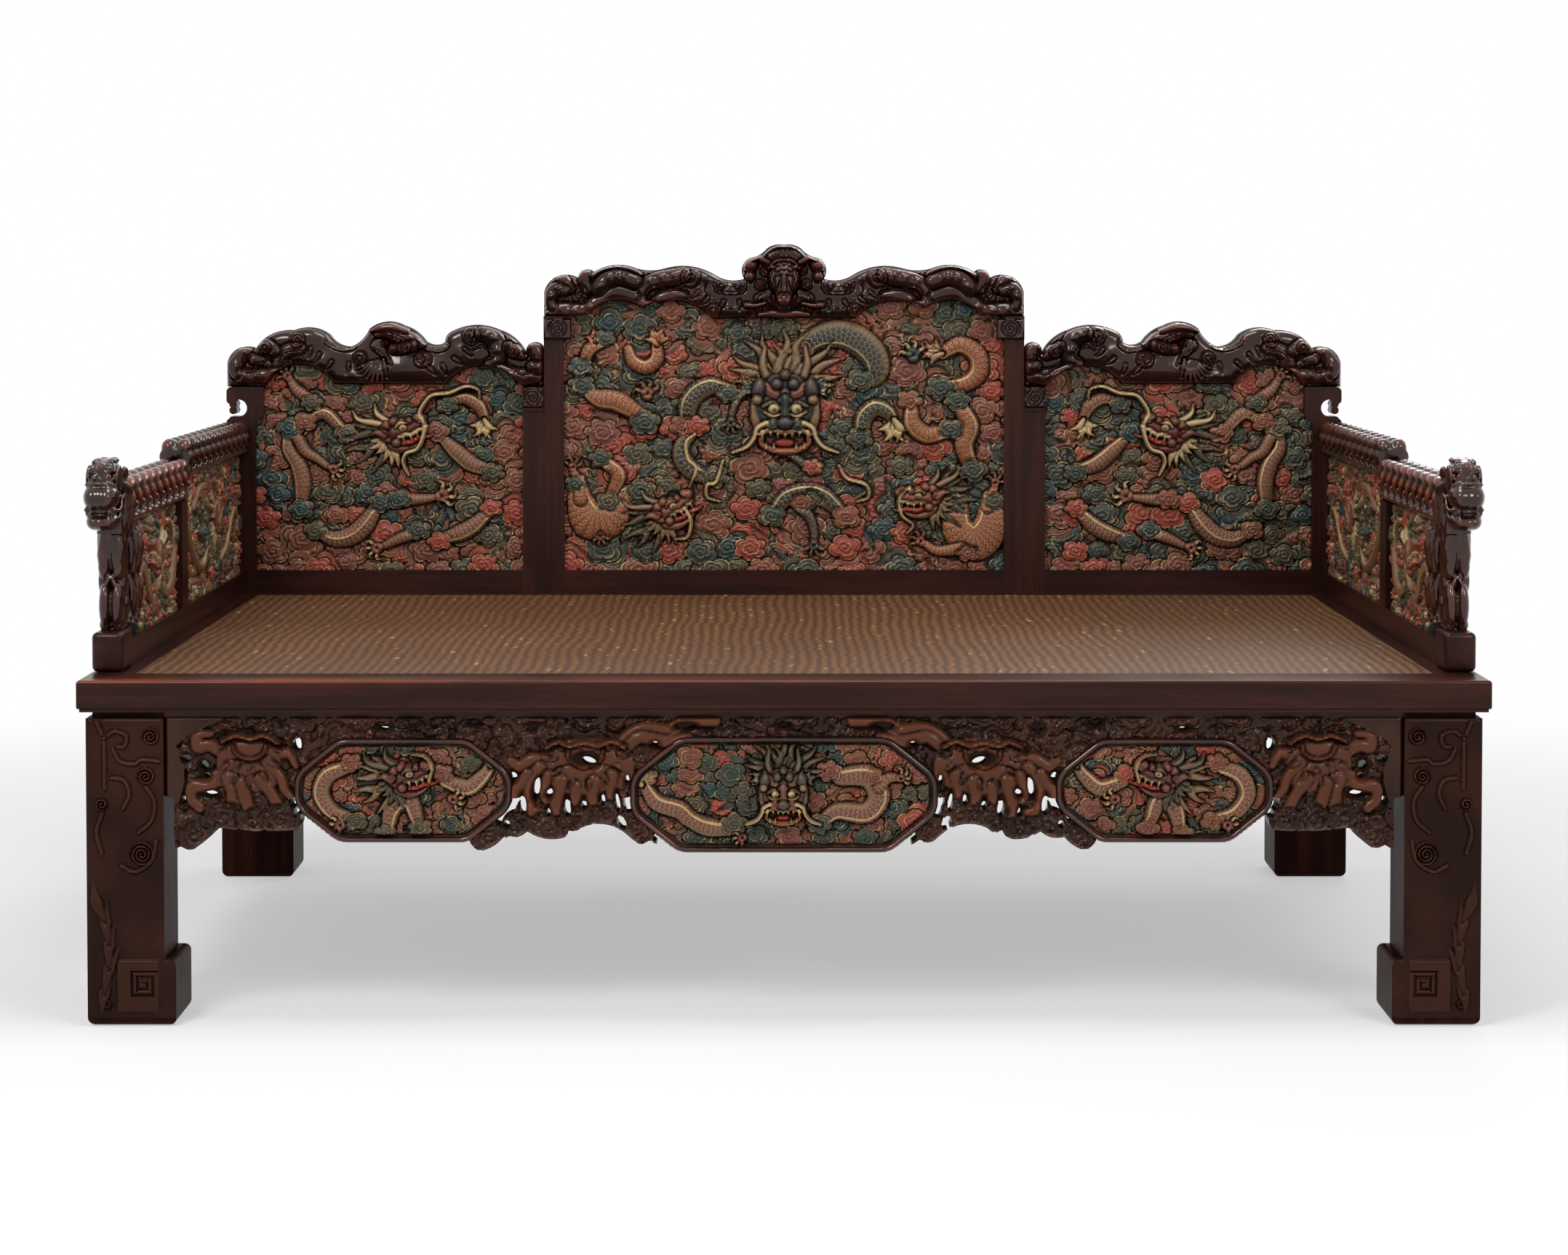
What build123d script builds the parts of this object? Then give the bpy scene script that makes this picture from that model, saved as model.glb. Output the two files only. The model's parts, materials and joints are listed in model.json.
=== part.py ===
from build123d import *
import os

# Luohan daybed. Millimetres, +Z up, origin on the floor under the middle of the
# seat, front towards -Y. Left and right are those of a viewer facing the front.

os.makedirs("parts", exist_ok=True)

# Seat frame
frame_length = 2022.0
frame_depth = 1212.0
seat_height = 500.0
frame_thickness = 46.0
long_rail_width = 78.0
short_rail_width = 68.0
frame_lip_height = 4.0
frame_lip_inset = 4.0
frame_round = 5.0
rail_tenon_thickness = 16.0
rail_tenon_width = 30.0
rail_tenon_stop = 10.0

# Seat mat and the stretchers under it
mat_thickness = 8.5
mat_sink = 0.5
mat_ledge = 14.0
mat_gap = 0.3
brace_width = 50.0
brace_thickness = 28.0
brace_bow = 10.0
brace_spacing = 470.0
brace_tenon_length = 20.0
brace_tenon_thickness = 14.0
brace_tenon_shoulder = 8.0

# Legs
leg_set_in = 11.0
leg_width = 111.0
leg_depth = 100.0
foot_width = 127.0
foot_depth = 116.0
foot_height = 97.0
foot_round = 13.0
foot_top_round = 11.0
waist_height = 10.0
waist_inset = 8.0
leg_tenon_size = 30.0
leg_tenon_height = 24.0

# Aprons
apron_recess = 6.0
apron_thickness = 35.0
apron_tenon_length = 15.0
apron_tenon_thickness = 12.0
apron_tenon_drop = 24.0
apron_tenon_height = 90.0
front_apron_depth = 211.0
side_apron_depth = 206.0

# Medallions
centre_medallion_drop = 110.0
centre_medallion_length = 442.0
centre_medallion_height = 168.0
side_medallion_length = 313.0
side_medallion_height = 151.0
side_medallion_share = 0.614
side_medallion_drop = 104.0
medallion_thickness = 22.0
medallion_sink = 3.0
medallion_round = 34.0
bead_width = 11.0
bead_proud = 8.0
bead_lap = 5.0
medallion_cut_across = 0.40
medallion_cut_up = 0.32

# Screens
screen_set_in = 15.0
screen_thickness = 36.0
screen_gap = 0.3
stile_width = 36.0
bottom_rail_height = 41.0
centre_half_width = 431.0
centre_stile_height = 498.0
wing_set_in = 10.0
wing_stile_width = 38.0
wing_outer_stile_width = 52.0
wing_stile_height = 371.0
panel_thickness = 24.0
tongue_depth = 6.0
tongue_thickness = 10.0
crest_thickness = 48.0
scroll_block_height = 43.0
scroll_block_proud = 5.0
stile_tenon_length = 18.0
stile_tenon_width = 16.0
stile_tenon_thickness = 12.0
bottom_tenon_rise = 9.0
bottom_tenon_height = 18.0
hook_step = 14.0
hook_step_height = 12.0
hook_base_drop = 53.0
hook_tip_drop = 31.0
hook_round = 9.0
hook_reach = 35.0
hook_lip = 8.0
hook_bead_radius = 7.0
hook_bead_spacing = 11.0
hook_bead_set_in = 12.0
end_tenon_set_in = 36.0

# Tenons that stand the screens on the seat frame
seat_tenon_length = 60.0
seat_tenon_thickness = 14.0
seat_tenon_depth = 22.0
seat_tenon_gap = 0.3

# Side screens
side_set_in = 6.0
side_thickness = 40.0
side_front_set_in = 86.0
block_length = 80.0
block_height = 58.0
block_round = 8.0
side_panel_set_back = 159.0
middle_stile_set_back = 469.0
middle_stile_depth = 49.0
rear_stile_depth = 30.0
front_panel_top_height = 212.0
front_crest_height = 68.0
rear_panel_top_height = 250.0
rear_crest_height = 60.0
crest_width = 52.0
knuckle_pitch = 51.0
knuckle_rise = 14.0
knuckle_slot_width = 9.0
knuckle_slot_height = 18.0
knuckle_slot_cover = 5.0
knuckle_base = 14.0
knuckle_shoulder = 17.0
post_set_back = 23.0
post_thickness = 36.0
post_neck_rise = 20.0
post_tenon_set_back = 120.0
mouth_rise = 30.0
head_width = 52.0
head_overhang = 55.0
head_length = 120.0

joint_gap = 0.1

round_share = 1 - 0.5**0.5  # how far a quarter round's middle lies from its corner
frame_half_length = frame_length / 2
frame_half_depth = frame_depth / 2
frame_bottom = seat_height - frame_thickness
leg_half_length = frame_half_length - leg_set_in
leg_half_depth = frame_half_depth - leg_set_in
waist_bottom = frame_bottom - waist_height
apron_tenon_top = waist_bottom - apron_tenon_drop
apron_tenon_bottom = apron_tenon_top - apron_tenon_height
screen_back = frame_half_depth - screen_set_in
screen_front = screen_back - screen_thickness
screen_middle = (screen_front + screen_back) / 2
side_outer = frame_half_length - side_set_in
side_inner = side_outer - side_thickness
side_middle = (side_outer + side_inner) / 2
side_front = -frame_half_depth + side_front_set_in
bottom_rail_top = seat_height + bottom_rail_height
centre_stile_top = seat_height + centre_stile_height
wing_stile_top = seat_height + wing_stile_height
front_crest_bottom = seat_height + front_panel_top_height
rear_crest_bottom = seat_height + rear_panel_top_height
wing_outer = frame_half_length - wing_set_in
wing_near = centre_half_width + screen_gap
wing_inner = wing_near + wing_stile_width
ledge_short = mat_ledge * short_rail_width / long_rail_width
mat_half_length = frame_half_length - short_rail_width
mat_half_depth = frame_half_depth - long_rail_width
mat_top = seat_height - mat_sink
mat_bottom = mat_top - mat_thickness


def keep(piece, name):
    """Label a finished piece and write it."""
    piece.part.label = name
    export_step(piece.part, f"parts/{name}.step")


def keep_twin(piece, name, about):
    """Write the mirror image of a finished piece."""
    with BuildPart() as twin:
        mirror(piece.part, about=about)
    keep(twin, name)


def block(x0, x1, y0, y1, z0, z1, mode=Mode.ADD):
    """A box between two corners, in the part that is being built."""
    with Locations(((x0 + x1) / 2, (y0 + y1) / 2, (z0 + z1) / 2)):
        Box(x1 - x0, y1 - y0, z1 - z0, mode=mode)


# ---------------------------------------------------------------- seat frame
leg_tenon_x = leg_half_length - leg_width + leg_tenon_size
leg_tenon_y = leg_half_depth - leg_depth / 2 + leg_tenon_size / 4
rail_tenon_y = frame_half_depth - long_rail_width / 2 - rail_tenon_width / 2
rail_tenon_z = frame_bottom + frame_thickness / 2
back_tenons = [
    0.5 * centre_half_width,
    centre_half_width + 0.28 * (wing_outer - centre_half_width),
    centre_half_width + 0.72 * (wing_outer - centre_half_width),
]
side_tenons = [side_front + 0.16 * (screen_front - side_front),
               side_front + 0.70 * (screen_front - side_front)]


def rail_profile(plane, half_depth, width, ledge):
    """Section of a seat rail, outer face at -half_depth, with the mat rebate."""
    outer = -half_depth
    inner = outer + width
    lip_top = frame_bottom + frame_lip_height
    with BuildSketch(plane) as profile:
        with BuildLine():
            Polyline(
                (outer + frame_lip_inset, frame_bottom),
                (outer + frame_lip_inset, lip_top),
                (outer, lip_top + frame_lip_inset / 2),
                (outer, seat_height - frame_round),
            )
            ThreePointArc(
                (outer, seat_height - frame_round),
                (outer + frame_round * round_share, seat_height - frame_round * round_share),
                (outer + frame_round, seat_height),
            )
            Polyline(
                (outer + frame_round, seat_height),
                (inner, seat_height),
                (inner, mat_bottom),
                (inner + ledge, mat_bottom),
                (inner + ledge, frame_bottom),
                (outer + frame_lip_inset, frame_bottom),
            )
        make_face()
    return profile.sketch


def mitre_footprint(corner_a, corner_b, inner_b, inner_a):
    """Plan of a seat rail between its two mitres."""
    with BuildSketch(Plane.XY.offset(frame_bottom)) as footprint:
        with BuildLine():
            Polyline(corner_a, corner_b, inner_b, inner_a, close=True)
        make_face()
    return footprint.sketch


def leg_mortises():
    """Mortises for the leg tenons in the front rail."""
    size = leg_tenon_size / 2 + joint_gap
    for side in (-1, 1):
        x = side * leg_tenon_x
        block(x - size, x + size, -leg_tenon_y - size, -leg_tenon_y + size,
              frame_bottom, frame_bottom + leg_tenon_height + joint_gap, Mode.SUBTRACT)


def brace_mortises():
    """Mortises for the stretcher tenons in the front rail."""
    face = -mat_half_depth + mat_ledge
    middle = mat_bottom - brace_thickness / 2
    half = brace_tenon_thickness / 2 + joint_gap
    width = brace_width / 2 - brace_tenon_shoulder + joint_gap
    for x in (-brace_spacing, 0, brace_spacing):
        block(x - width, x + width, face - brace_tenon_length - joint_gap, face,
              middle - half, middle + half, Mode.SUBTRACT)


def rail_tenons(gap, mode):
    """The tenon on each end of a long rail, or with a gap its mortise."""
    for side in (-1, 1):
        near = side * mat_half_length
        far = side * (frame_half_length - rail_tenon_stop + gap)
        half_y = rail_tenon_width / 2 + gap
        half_z = rail_tenon_thickness / 2 + gap
        block(min(near, far), max(near, far), -rail_tenon_y - half_y, -rail_tenon_y + half_y,
              rail_tenon_z - half_z, rail_tenon_z + half_z, mode)


def long_rail():
    """The front rail of the seat frame, with its tenons and mortises."""
    with BuildPart() as rail:
        start = Plane.YZ.offset(-frame_half_length)
        extrude(rail_profile(start, frame_half_depth, long_rail_width, mat_ledge), frame_length)
        footprint = mitre_footprint(
            (-frame_half_length, -frame_half_depth),
            (frame_half_length, -frame_half_depth),
            (mat_half_length - ledge_short, -mat_half_depth + mat_ledge),
            (-mat_half_length + ledge_short, -mat_half_depth + mat_ledge),
        )
        extrude(footprint, frame_thickness, mode=Mode.INTERSECT)
        rail_tenons(0.0, Mode.ADD)
        leg_mortises()
        brace_mortises()
    return rail


front_rail = long_rail()
keep(front_rail, "seat_front_rail")

with BuildPart() as back_rail:
    mirror(front_rail.part, about=Plane.XZ)
    tenon_length = seat_tenon_length / 2 + seat_tenon_gap
    tenon_half = seat_tenon_thickness / 2 + seat_tenon_gap
    for tenon_x in back_tenons:
        for side in (-1, 1):
            block(side * tenon_x - tenon_length, side * tenon_x + tenon_length,
                  screen_middle - tenon_half, screen_middle + tenon_half,
                  seat_height - seat_tenon_depth - seat_tenon_gap, seat_height, Mode.SUBTRACT)
keep(back_rail, "seat_back_rail")

with BuildPart() as right_rail:
    start = Plane((0, -frame_half_depth, 0), x_dir=(-1, 0, 0), z_dir=(0, 1, 0))
    extrude(rail_profile(start, frame_half_length, short_rail_width, ledge_short), frame_depth)
    right_footprint = mitre_footprint(
        (frame_half_length, -frame_half_depth),
        (frame_half_length, frame_half_depth),
        (mat_half_length - ledge_short, mat_half_depth - mat_ledge),
        (mat_half_length - ledge_short, -mat_half_depth + mat_ledge),
    )
    extrude(right_footprint, frame_thickness, mode=Mode.INTERSECT)
    for end in (-1, 1):
        centre_y = end * rail_tenon_y
        half_y = rail_tenon_width / 2 + joint_gap
        half_z = rail_tenon_thickness / 2 + joint_gap
        block(mat_half_length, frame_half_length - rail_tenon_stop + joint_gap,
              centre_y - half_y, centre_y + half_y,
              rail_tenon_z - half_z, rail_tenon_z + half_z, Mode.SUBTRACT)
    for tenon_y in side_tenons:
        tenon_length = seat_tenon_length / 2 + seat_tenon_gap
        tenon_half = seat_tenon_thickness / 2 + seat_tenon_gap
        block(side_middle - tenon_half, side_middle + tenon_half,
              tenon_y - tenon_length, tenon_y + tenon_length,
              seat_height - seat_tenon_depth - seat_tenon_gap, seat_height, Mode.SUBTRACT)
keep(right_rail, "seat_right_rail")
keep_twin(right_rail, "seat_left_rail", Plane.YZ)

# ------------------------------------------------------- seat mat and braces
with BuildPart() as mat:
    block(-mat_half_length + mat_gap, mat_half_length - mat_gap,
          -mat_half_depth + mat_gap, mat_half_depth - mat_gap, mat_bottom, mat_top)
keep(mat, "seat_mat")

for number, brace_x in enumerate((-brace_spacing, 0, brace_spacing), start=1):
    with BuildPart() as brace:
        brace_end = mat_half_depth - mat_ledge
        with BuildSketch(Plane.YZ.offset(brace_x - brace_width / 2)):
            with BuildLine():
                Polyline(
                    (-brace_end, mat_bottom - brace_thickness),
                    (-brace_end, mat_bottom),
                    (brace_end, mat_bottom),
                    (brace_end, mat_bottom - brace_thickness),
                )
                ThreePointArc(
                    (brace_end, mat_bottom - brace_thickness),
                    (0, mat_bottom - brace_thickness + brace_bow),
                    (-brace_end, mat_bottom - brace_thickness),
                )
            make_face()
        extrude(amount=brace_width)
        tenon_middle = mat_bottom - brace_thickness / 2
        tenon_half = brace_width / 2 - brace_tenon_shoulder
        block(brace_x - tenon_half, brace_x + tenon_half,
              -brace_end - brace_tenon_length, brace_end + brace_tenon_length,
              tenon_middle - brace_tenon_thickness / 2, tenon_middle + brace_tenon_thickness / 2)
    keep(brace, f"seat_brace_{number}")


# --------------------------------------------------------------------- legs
def leg_outline(plane, outer, inner, foot_inner):
    """Outline of a leg seen square on, outer face on the right, foot curled in."""
    with BuildSketch(plane) as outline:
        with BuildLine():
            Polyline(
                (inner, frame_bottom),
                (outer - waist_inset, frame_bottom),
                (outer - waist_inset, waist_bottom),
                (outer, waist_bottom),
                (outer, 0),
                (foot_inner, 0),
                (foot_inner, foot_height),
                (inner, foot_height),
                close=True,
            )
        make_face()
        low = outline.vertices().group_by(Axis.Y)[0]
        fillet(low, radius=foot_round)
        toe = outline.vertices().sort_by_distance((foot_inner, foot_height))[0]
        fillet(toe, radius=foot_top_round)
    return outline.sketch


def apron_mortise_in_leg():
    """Mortises in the right front leg for the ends of the two aprons."""
    half = apron_tenon_thickness / 2 + joint_gap
    front_y = -leg_half_depth + apron_recess + apron_thickness / 2
    side_x = leg_half_length - apron_recess - apron_thickness / 2
    inner_x = leg_half_length - leg_width
    inner_y = -leg_half_depth + leg_depth
    reach = apron_tenon_length + joint_gap
    block(inner_x, inner_x + reach, front_y - half, front_y + half,
          apron_tenon_bottom - joint_gap, apron_tenon_top + joint_gap, Mode.SUBTRACT)
    block(side_x - half, side_x + half, inner_y - reach, inner_y,
          apron_tenon_bottom - joint_gap, apron_tenon_top + joint_gap, Mode.SUBTRACT)


with BuildPart() as leg:
    front_view = leg_outline(
        Plane.XZ.offset(leg_half_depth - foot_depth),
        leg_half_length,
        leg_half_length - leg_width,
        leg_half_length - foot_width,
    )
    extrude(front_view, foot_depth)
    side_view = leg_outline(
        Plane((leg_half_length, 0, 0), x_dir=(0, -1, 0), z_dir=(-1, 0, 0)),
        leg_half_depth,
        leg_half_depth - leg_depth,
        leg_half_depth - foot_depth,
    )
    extrude(side_view, foot_width, mode=Mode.INTERSECT)
    apron_mortise_in_leg()
    block(leg_tenon_x - leg_tenon_size / 2, leg_tenon_x + leg_tenon_size / 2,
          -leg_tenon_y - leg_tenon_size / 2, -leg_tenon_y + leg_tenon_size / 2,
          frame_bottom, frame_bottom + leg_tenon_height)
keep(leg, "leg_front_right")
keep_twin(leg, "leg_front_left", Plane.YZ)
keep_twin(leg, "leg_back_right", Plane.XZ)
with BuildPart() as back_leg:
    mirror(leg.part, about=Plane.XZ)
keep_twin(back_leg, "leg_back_left", Plane.YZ)


# ------------------------------------------------------- aprons and medallions
# Lower edge of an apron from its middle to the leg. Each row is where two cloud
# lobes meet, as across and down from the waist, and how far the next lobe hangs.
front_lobes = [
    (62, 194, 13),
    (182, 198, 3),
    (229, 167, -9),
    (292, 160, 14),
    (369, 165, 5),
    (403, 173, 18),
    (485, 180, 11),
    (573, 187, 10),
    (655, 180, 8),
    (690, 162, 4),
    (812, 160, 6),
    (889, 212, 0),
]
side_lobes = [
    (62, 190, 17),
    (182, 194, 10),
    (242, 164, 10),
    (330, 162, 6),
    (420, 160, 6),
    (495, 212, 0),
]


def apron_outline(plane, half_length, lobes, depth):
    """Board between two legs with a lower edge of hanging cloud lobes."""
    stretch = half_length / lobes[-1][0]
    meets = [(across * stretch, waist_bottom - down, hang) for across, down, hang in lobes]
    first_x, first_z, _ = meets[0]
    end_x, end_z, _ = meets[-1]
    with BuildSketch(plane) as outline:
        with BuildLine():
            ThreePointArc((-first_x, first_z), (0, waist_bottom - depth), (first_x, first_z))
            for near, far in zip(meets, meets[1:]):
                middle_x = (near[0] + far[0]) / 2
                middle_z = (near[1] + far[1]) / 2 - near[2]
                for side in (-1, 1):
                    ThreePointArc((side * near[0], near[1]), (side * middle_x, middle_z),
                                  (side * far[0], far[1]))
            Polyline((end_x, end_z), (end_x, waist_bottom), (-end_x, waist_bottom), (-end_x, end_z))
        make_face()
    return outline.sketch


def medallion_outline(plane, x, z, length, height, grow=0.0):
    """Long octagon with rounded corners about (x, z), grown by a given amount."""
    half_length = length / 2 - bead_lap
    half_height = height / 2 - bead_lap
    cut_x = medallion_cut_across * height
    cut_z = medallion_cut_up * height
    with BuildSketch(plane) as outline:
        with BuildLine():
            Polyline(
                (x + half_length, z + cut_z - half_height),
                (x + half_length, z + half_height - cut_z),
                (x + half_length - cut_x, z + half_height),
                (x + cut_x - half_length, z + half_height),
                (x - half_length, z + half_height - cut_z),
                (x - half_length, z + cut_z - half_height),
                (x + cut_x - half_length, z - half_height),
                (x + half_length - cut_x, z - half_height),
                close=True,
            )
        make_face()
        fillet(outline.vertices(), radius=medallion_round)
        if grow:
            offset(amount=grow)
    return outline.sketch


front_apron_face = leg_half_depth - apron_recess
front_apron_half = leg_half_length - leg_width
side_apron_face = leg_half_length - apron_recess
side_apron_half = leg_half_depth - leg_depth
waist_depth = waist_inset - apron_recess

centre_medallion_z = waist_bottom - centre_medallion_drop
side_medallion_z = waist_bottom - side_medallion_drop
side_medallion_x = side_medallion_share * front_apron_half
front_medallions = {
    "centre": (0.0, centre_medallion_z, centre_medallion_length, centre_medallion_height),
    "right": (side_medallion_x, side_medallion_z, side_medallion_length, side_medallion_height),
    "left": (-side_medallion_x, side_medallion_z, side_medallion_length, side_medallion_height),
}
end_medallion = (0.0, side_medallion_z, side_medallion_length, side_medallion_height)


def apron(plane, half_length, lobes, depth, medallions):
    """An apron with its waist strip, end tenons and medallion openings."""
    inward = plane.offset(-apron_thickness)
    tenon_back = plane.offset(-(apron_thickness + apron_tenon_thickness) / 2)
    with BuildPart() as board:
        extrude(apron_outline(inward, half_length, lobes, depth), apron_thickness)
        with BuildSketch(inward):
            with Locations((0, (waist_bottom + frame_bottom) / 2)):
                Rectangle(2 * half_length, waist_height)
        extrude(amount=apron_thickness - waist_depth)
        with BuildSketch(tenon_back):
            with Locations((0, (apron_tenon_top + apron_tenon_bottom) / 2)):
                Rectangle(2 * (half_length + apron_tenon_length), apron_tenon_top - apron_tenon_bottom)
        extrude(amount=apron_tenon_thickness)
        for place in medallions:
            extrude(medallion_outline(inward, *place, joint_gap), apron_thickness, mode=Mode.SUBTRACT)
    return board


def medallion(plane, place):
    """Carved plaque set in an apron, with the round bead that frames it."""
    floor = plane.offset(-medallion_sink)
    with BuildPart() as plaque:
        back = plane.offset(-medallion_sink - medallion_thickness)
        extrude(medallion_outline(back, *place), medallion_thickness + medallion_sink)
        extrude(medallion_outline(plane, *place, bead_lap), bead_proud)
        well = medallion_outline(floor, *place, bead_lap - bead_width)
        extrude(well, medallion_sink + bead_proud, mode=Mode.SUBTRACT)
    return plaque


front_face = Plane.XZ.offset(front_apron_face)
right_face = Plane.YZ.offset(side_apron_face)
back_face = Plane.XZ.rotated((0, 0, 180)).offset(front_apron_face)
left_face = Plane.YZ.rotated((0, 0, 180)).offset(side_apron_face)

front_apron = apron(front_face, front_apron_half, front_lobes, front_apron_depth,
                    list(front_medallions.values()))
keep(front_apron, "apron_front")
for spot, place in front_medallions.items():
    keep(medallion(front_face, place), f"medallion_front_{spot}")
back_apron = apron(back_face, front_apron_half, front_lobes, front_apron_depth, [])
keep(back_apron, "apron_back")
right_apron = apron(right_face, side_apron_half, side_lobes, side_apron_depth, [end_medallion])
keep(right_apron, "apron_right")
keep(medallion(right_face, end_medallion), "medallion_right")
left_apron = apron(left_face, side_apron_half, side_lobes, side_apron_depth, [end_medallion])
keep(left_apron, "apron_left")
keep(medallion(left_face, end_medallion), "medallion_left")

# ------------------------------------------------------------- back screens
# Crest outlines are runs of (across, up) points: two make a line and three an arc.
# A top run is drawn over the whole crest and an under run over the opening below it.
# Up is measured from the top of the stiles. Both are given for the right-hand side.
centre_crest_top = [
    [(0, 69), (66, 69)],
    [(66, 69), (96, 64), (126, 75)],
    [(126, 75), (165, 89), (213, 86)],
    [(213, 86), (238, 82), (264, 85)],
    [(264, 85), (302, 92), (342, 79)],
    [(342, 79), (359, 83), (370, 68)],
    [(370, 68), (398, 74), (431, 42)],
]
centre_crest_under = [
    [(0, -4), (128, -4)],
    [(128, -4), (190, 26), (254, 14)],
    [(254, 14), (302, 27), (352, 2)],
    [(352, 2), (395, 0)],
]
wing_crest_top = [
    [(0, 64), (16, 80), (32, 59)],
    [(32, 59), (51, 85), (81, 102)],
    [(81, 102), (121, 111), (163, 101)],
    [(163, 101), (174, 93), (178, 80)],
    [(178, 80), (194, 75), (213, 81)],
    [(213, 81), (229, 98), (253, 110)],
    [(253, 110), (283, 117), (314, 104)],
    [(314, 104), (327, 85), (347, 72)],
    [(347, 72), (370, 77), (387, 93)],
    [(387, 93), (417, 106), (451, 101)],
    [(451, 101), (495, 92), (519, 68)],
    [(519, 68), (547, 70), (570, 34)],
]
wing_crest_under = [
    [(0, 0), (9, 8)],
    [(9, 8), (74, 37), (137, 4)],
    [(137, 4), (341, 5)],
    [(341, 5), (397, 39), (459, 5)],
    [(459, 5), (466, 0)],
    [(466, 0), (480, 0)],
]
mask_outline = [
    [(0, 2), (30, 4), (56, 26)],
    [(56, 26), (62, 42), (61, 58)],
    [(61, 58), (76, 82), (62, 104)],
    [(62, 104), (44, 110), (30, 122)],
    [(30, 122), (16, 128), (0, 128)],
]
wing_head_outline = [
    [(312, 102), (275, 110), (237, 95)],
    [(237, 95), (223, 78), (231, 59)],
    [(231, 59), (254, 52), (275, 63)],
    [(275, 63), (296, 76), (291, 89)],
    [(291, 89), (301, 96), (312, 102)],
]
centre_volutes = [(167, 64, 18), (365, 38, 16)]
wing_volutes = [(129, 85, 15), (329, 51, 11), (439, 77, 14)]
volute_proud = 5.0
head_proud = 9.0
mask_proud = 15.0
mask_rim = 5.0
snout_rise = 32.0
snout_width = 66.0
snout_depth = 46.0
snout_round = 14.0
snout_proud = 20.0
snout_dip = 4.0
snout_taper = 0.65

crest_back = screen_middle + crest_thickness / 2
crest_front = screen_middle - crest_thickness / 2
mask_front = crest_front - mask_proud
panel_back = screen_middle + panel_thickness / 2
tongue_back = screen_middle + tongue_thickness / 2


def fitted(runs, near, far, base):
    """Runs of points stretched across from near to far, standing on a base height."""
    stretch = (far - near) / runs[-1][-1][0]
    return [[(near + across * stretch, base + up) for across, up in run] for run in runs]


def draw(runs, rise=0.0):
    """Draw runs of points as lines or arcs, raised by a given amount."""
    for run in runs:
        points = [(x, z + rise) for x, z in run]
        if len(points) == 2:
            Line(*points)
        else:
            ThreePointArc(*points)


def upright(back):
    """Sketch plane facing the front, its back face at the given y."""
    return Plane.XZ.offset(-back)


def crest_sheet(back, top, under):
    """Face between a crest's upper and lower outlines."""
    low_start = (top[0][0][0], under[0][0][1])
    low_end = (top[-1][-1][0], under[-1][-1][1])
    with BuildSketch(upright(back)) as sheet:
        with BuildLine():
            draw(top)
            draw(under)
            Line(top[0][0], low_start)
            Line(top[-1][-1], low_end)
            Line(low_end, under[-1][-1])
            if low_start != under[0][0]:
                Line(low_start, under[0][0])
        make_face()
    return sheet.sketch


def crest_board(top, under):
    """Half or whole of a crest, cut from one thick board."""
    with BuildPart() as board:
        extrude(crest_sheet(crest_back, top, under), crest_thickness)
    return board


def mask_sheet(inset):
    """Face of the beast mask in the middle of the centre crest, drawn in by an amount."""
    with BuildSketch(upright(screen_middle)) as sheet:
        with BuildLine():
            draw(mask_outline, centre_stile_top)
            draw([[(-x, z) for x, z in run] for run in mask_outline], centre_stile_top)
        make_face()
        if inset:
            offset(amount=-inset)
    return sheet.sketch


def opening_sheet(back, under, near_widen, far_widen, low, rise):
    """Face of the opening under a crest, widened at its sides and raised at its top."""
    start_x, start_z = under[0][0]
    end_x, end_z = under[-1][-1]
    left = start_x - near_widen
    right = end_x + far_widen
    with BuildSketch(upright(back)) as sheet:
        with BuildLine():
            draw(under, rise)
            Polyline((right, end_z + rise), (right, low), (left, low), (left, start_z + rise))
            if far_widen:
                Line((end_x, end_z + rise), (right, end_z + rise))
            if near_widen:
                Line((left, start_z + rise), (start_x, start_z + rise))
        make_face()
    return sheet.sketch


def volutes(places, side, near, base):
    """Round scroll eyes standing proud of a crest's front, on one side of the middle."""
    for across, up, radius in places:
        with BuildPart(mode=Mode.PRIVATE) as eye:
            with BuildSketch(upright(crest_front)):
                with Locations((side * (near + across), base + up)):
                    Circle(radius)
            extrude(amount=volute_proud)
        add(eye.part)


def panel(under, near_tongue):
    """Carved panel with a tongue all round, floating in its frame."""
    with BuildPart() as board:
        field = opening_sheet(panel_back, under, 0, 0, bottom_rail_top, -joint_gap)
        extrude(field, panel_thickness)
        tongue = opening_sheet(tongue_back, under, near_tongue, tongue_depth,
                               bottom_rail_top - tongue_depth, tongue_depth)
        extrude(tongue, tongue_thickness)
    return board


def groove(under, near_tongue):
    """The space that a panel's tongue takes in its frame."""
    near_reach = near_tongue + joint_gap if near_tongue else 0
    with BuildPart() as space:
        sheet = opening_sheet(tongue_back + joint_gap, under, near_reach, tongue_depth + joint_gap,
                              bottom_rail_top - tongue_depth - joint_gap, tongue_depth + joint_gap)
        extrude(sheet, tongue_thickness + 2 * joint_gap)
    return space


def upright_tenon(x, z, mode, gap=0.0):
    """Tenon on the top of a stile, or its mortise in the crest."""
    half_width = stile_tenon_width / 2 + gap
    half_thick = stile_tenon_thickness / 2 + gap
    block(x - half_width, x + half_width, screen_middle - half_thick, screen_middle + half_thick,
          z, z + stile_tenon_length + gap, mode)


def rail_tenon(x, out, mode, gap=0.0):
    """Tenon on the end of a bottom rail at x, pointing out, or its mortise."""
    end = x + out * (stile_tenon_length + gap)
    half_thick = stile_tenon_thickness / 2 + gap
    block(min(x, end), max(x, end), screen_middle - half_thick, screen_middle + half_thick,
          seat_height + bottom_tenon_rise - gap,
          seat_height + bottom_tenon_rise + bottom_tenon_height + gap, mode)


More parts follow.
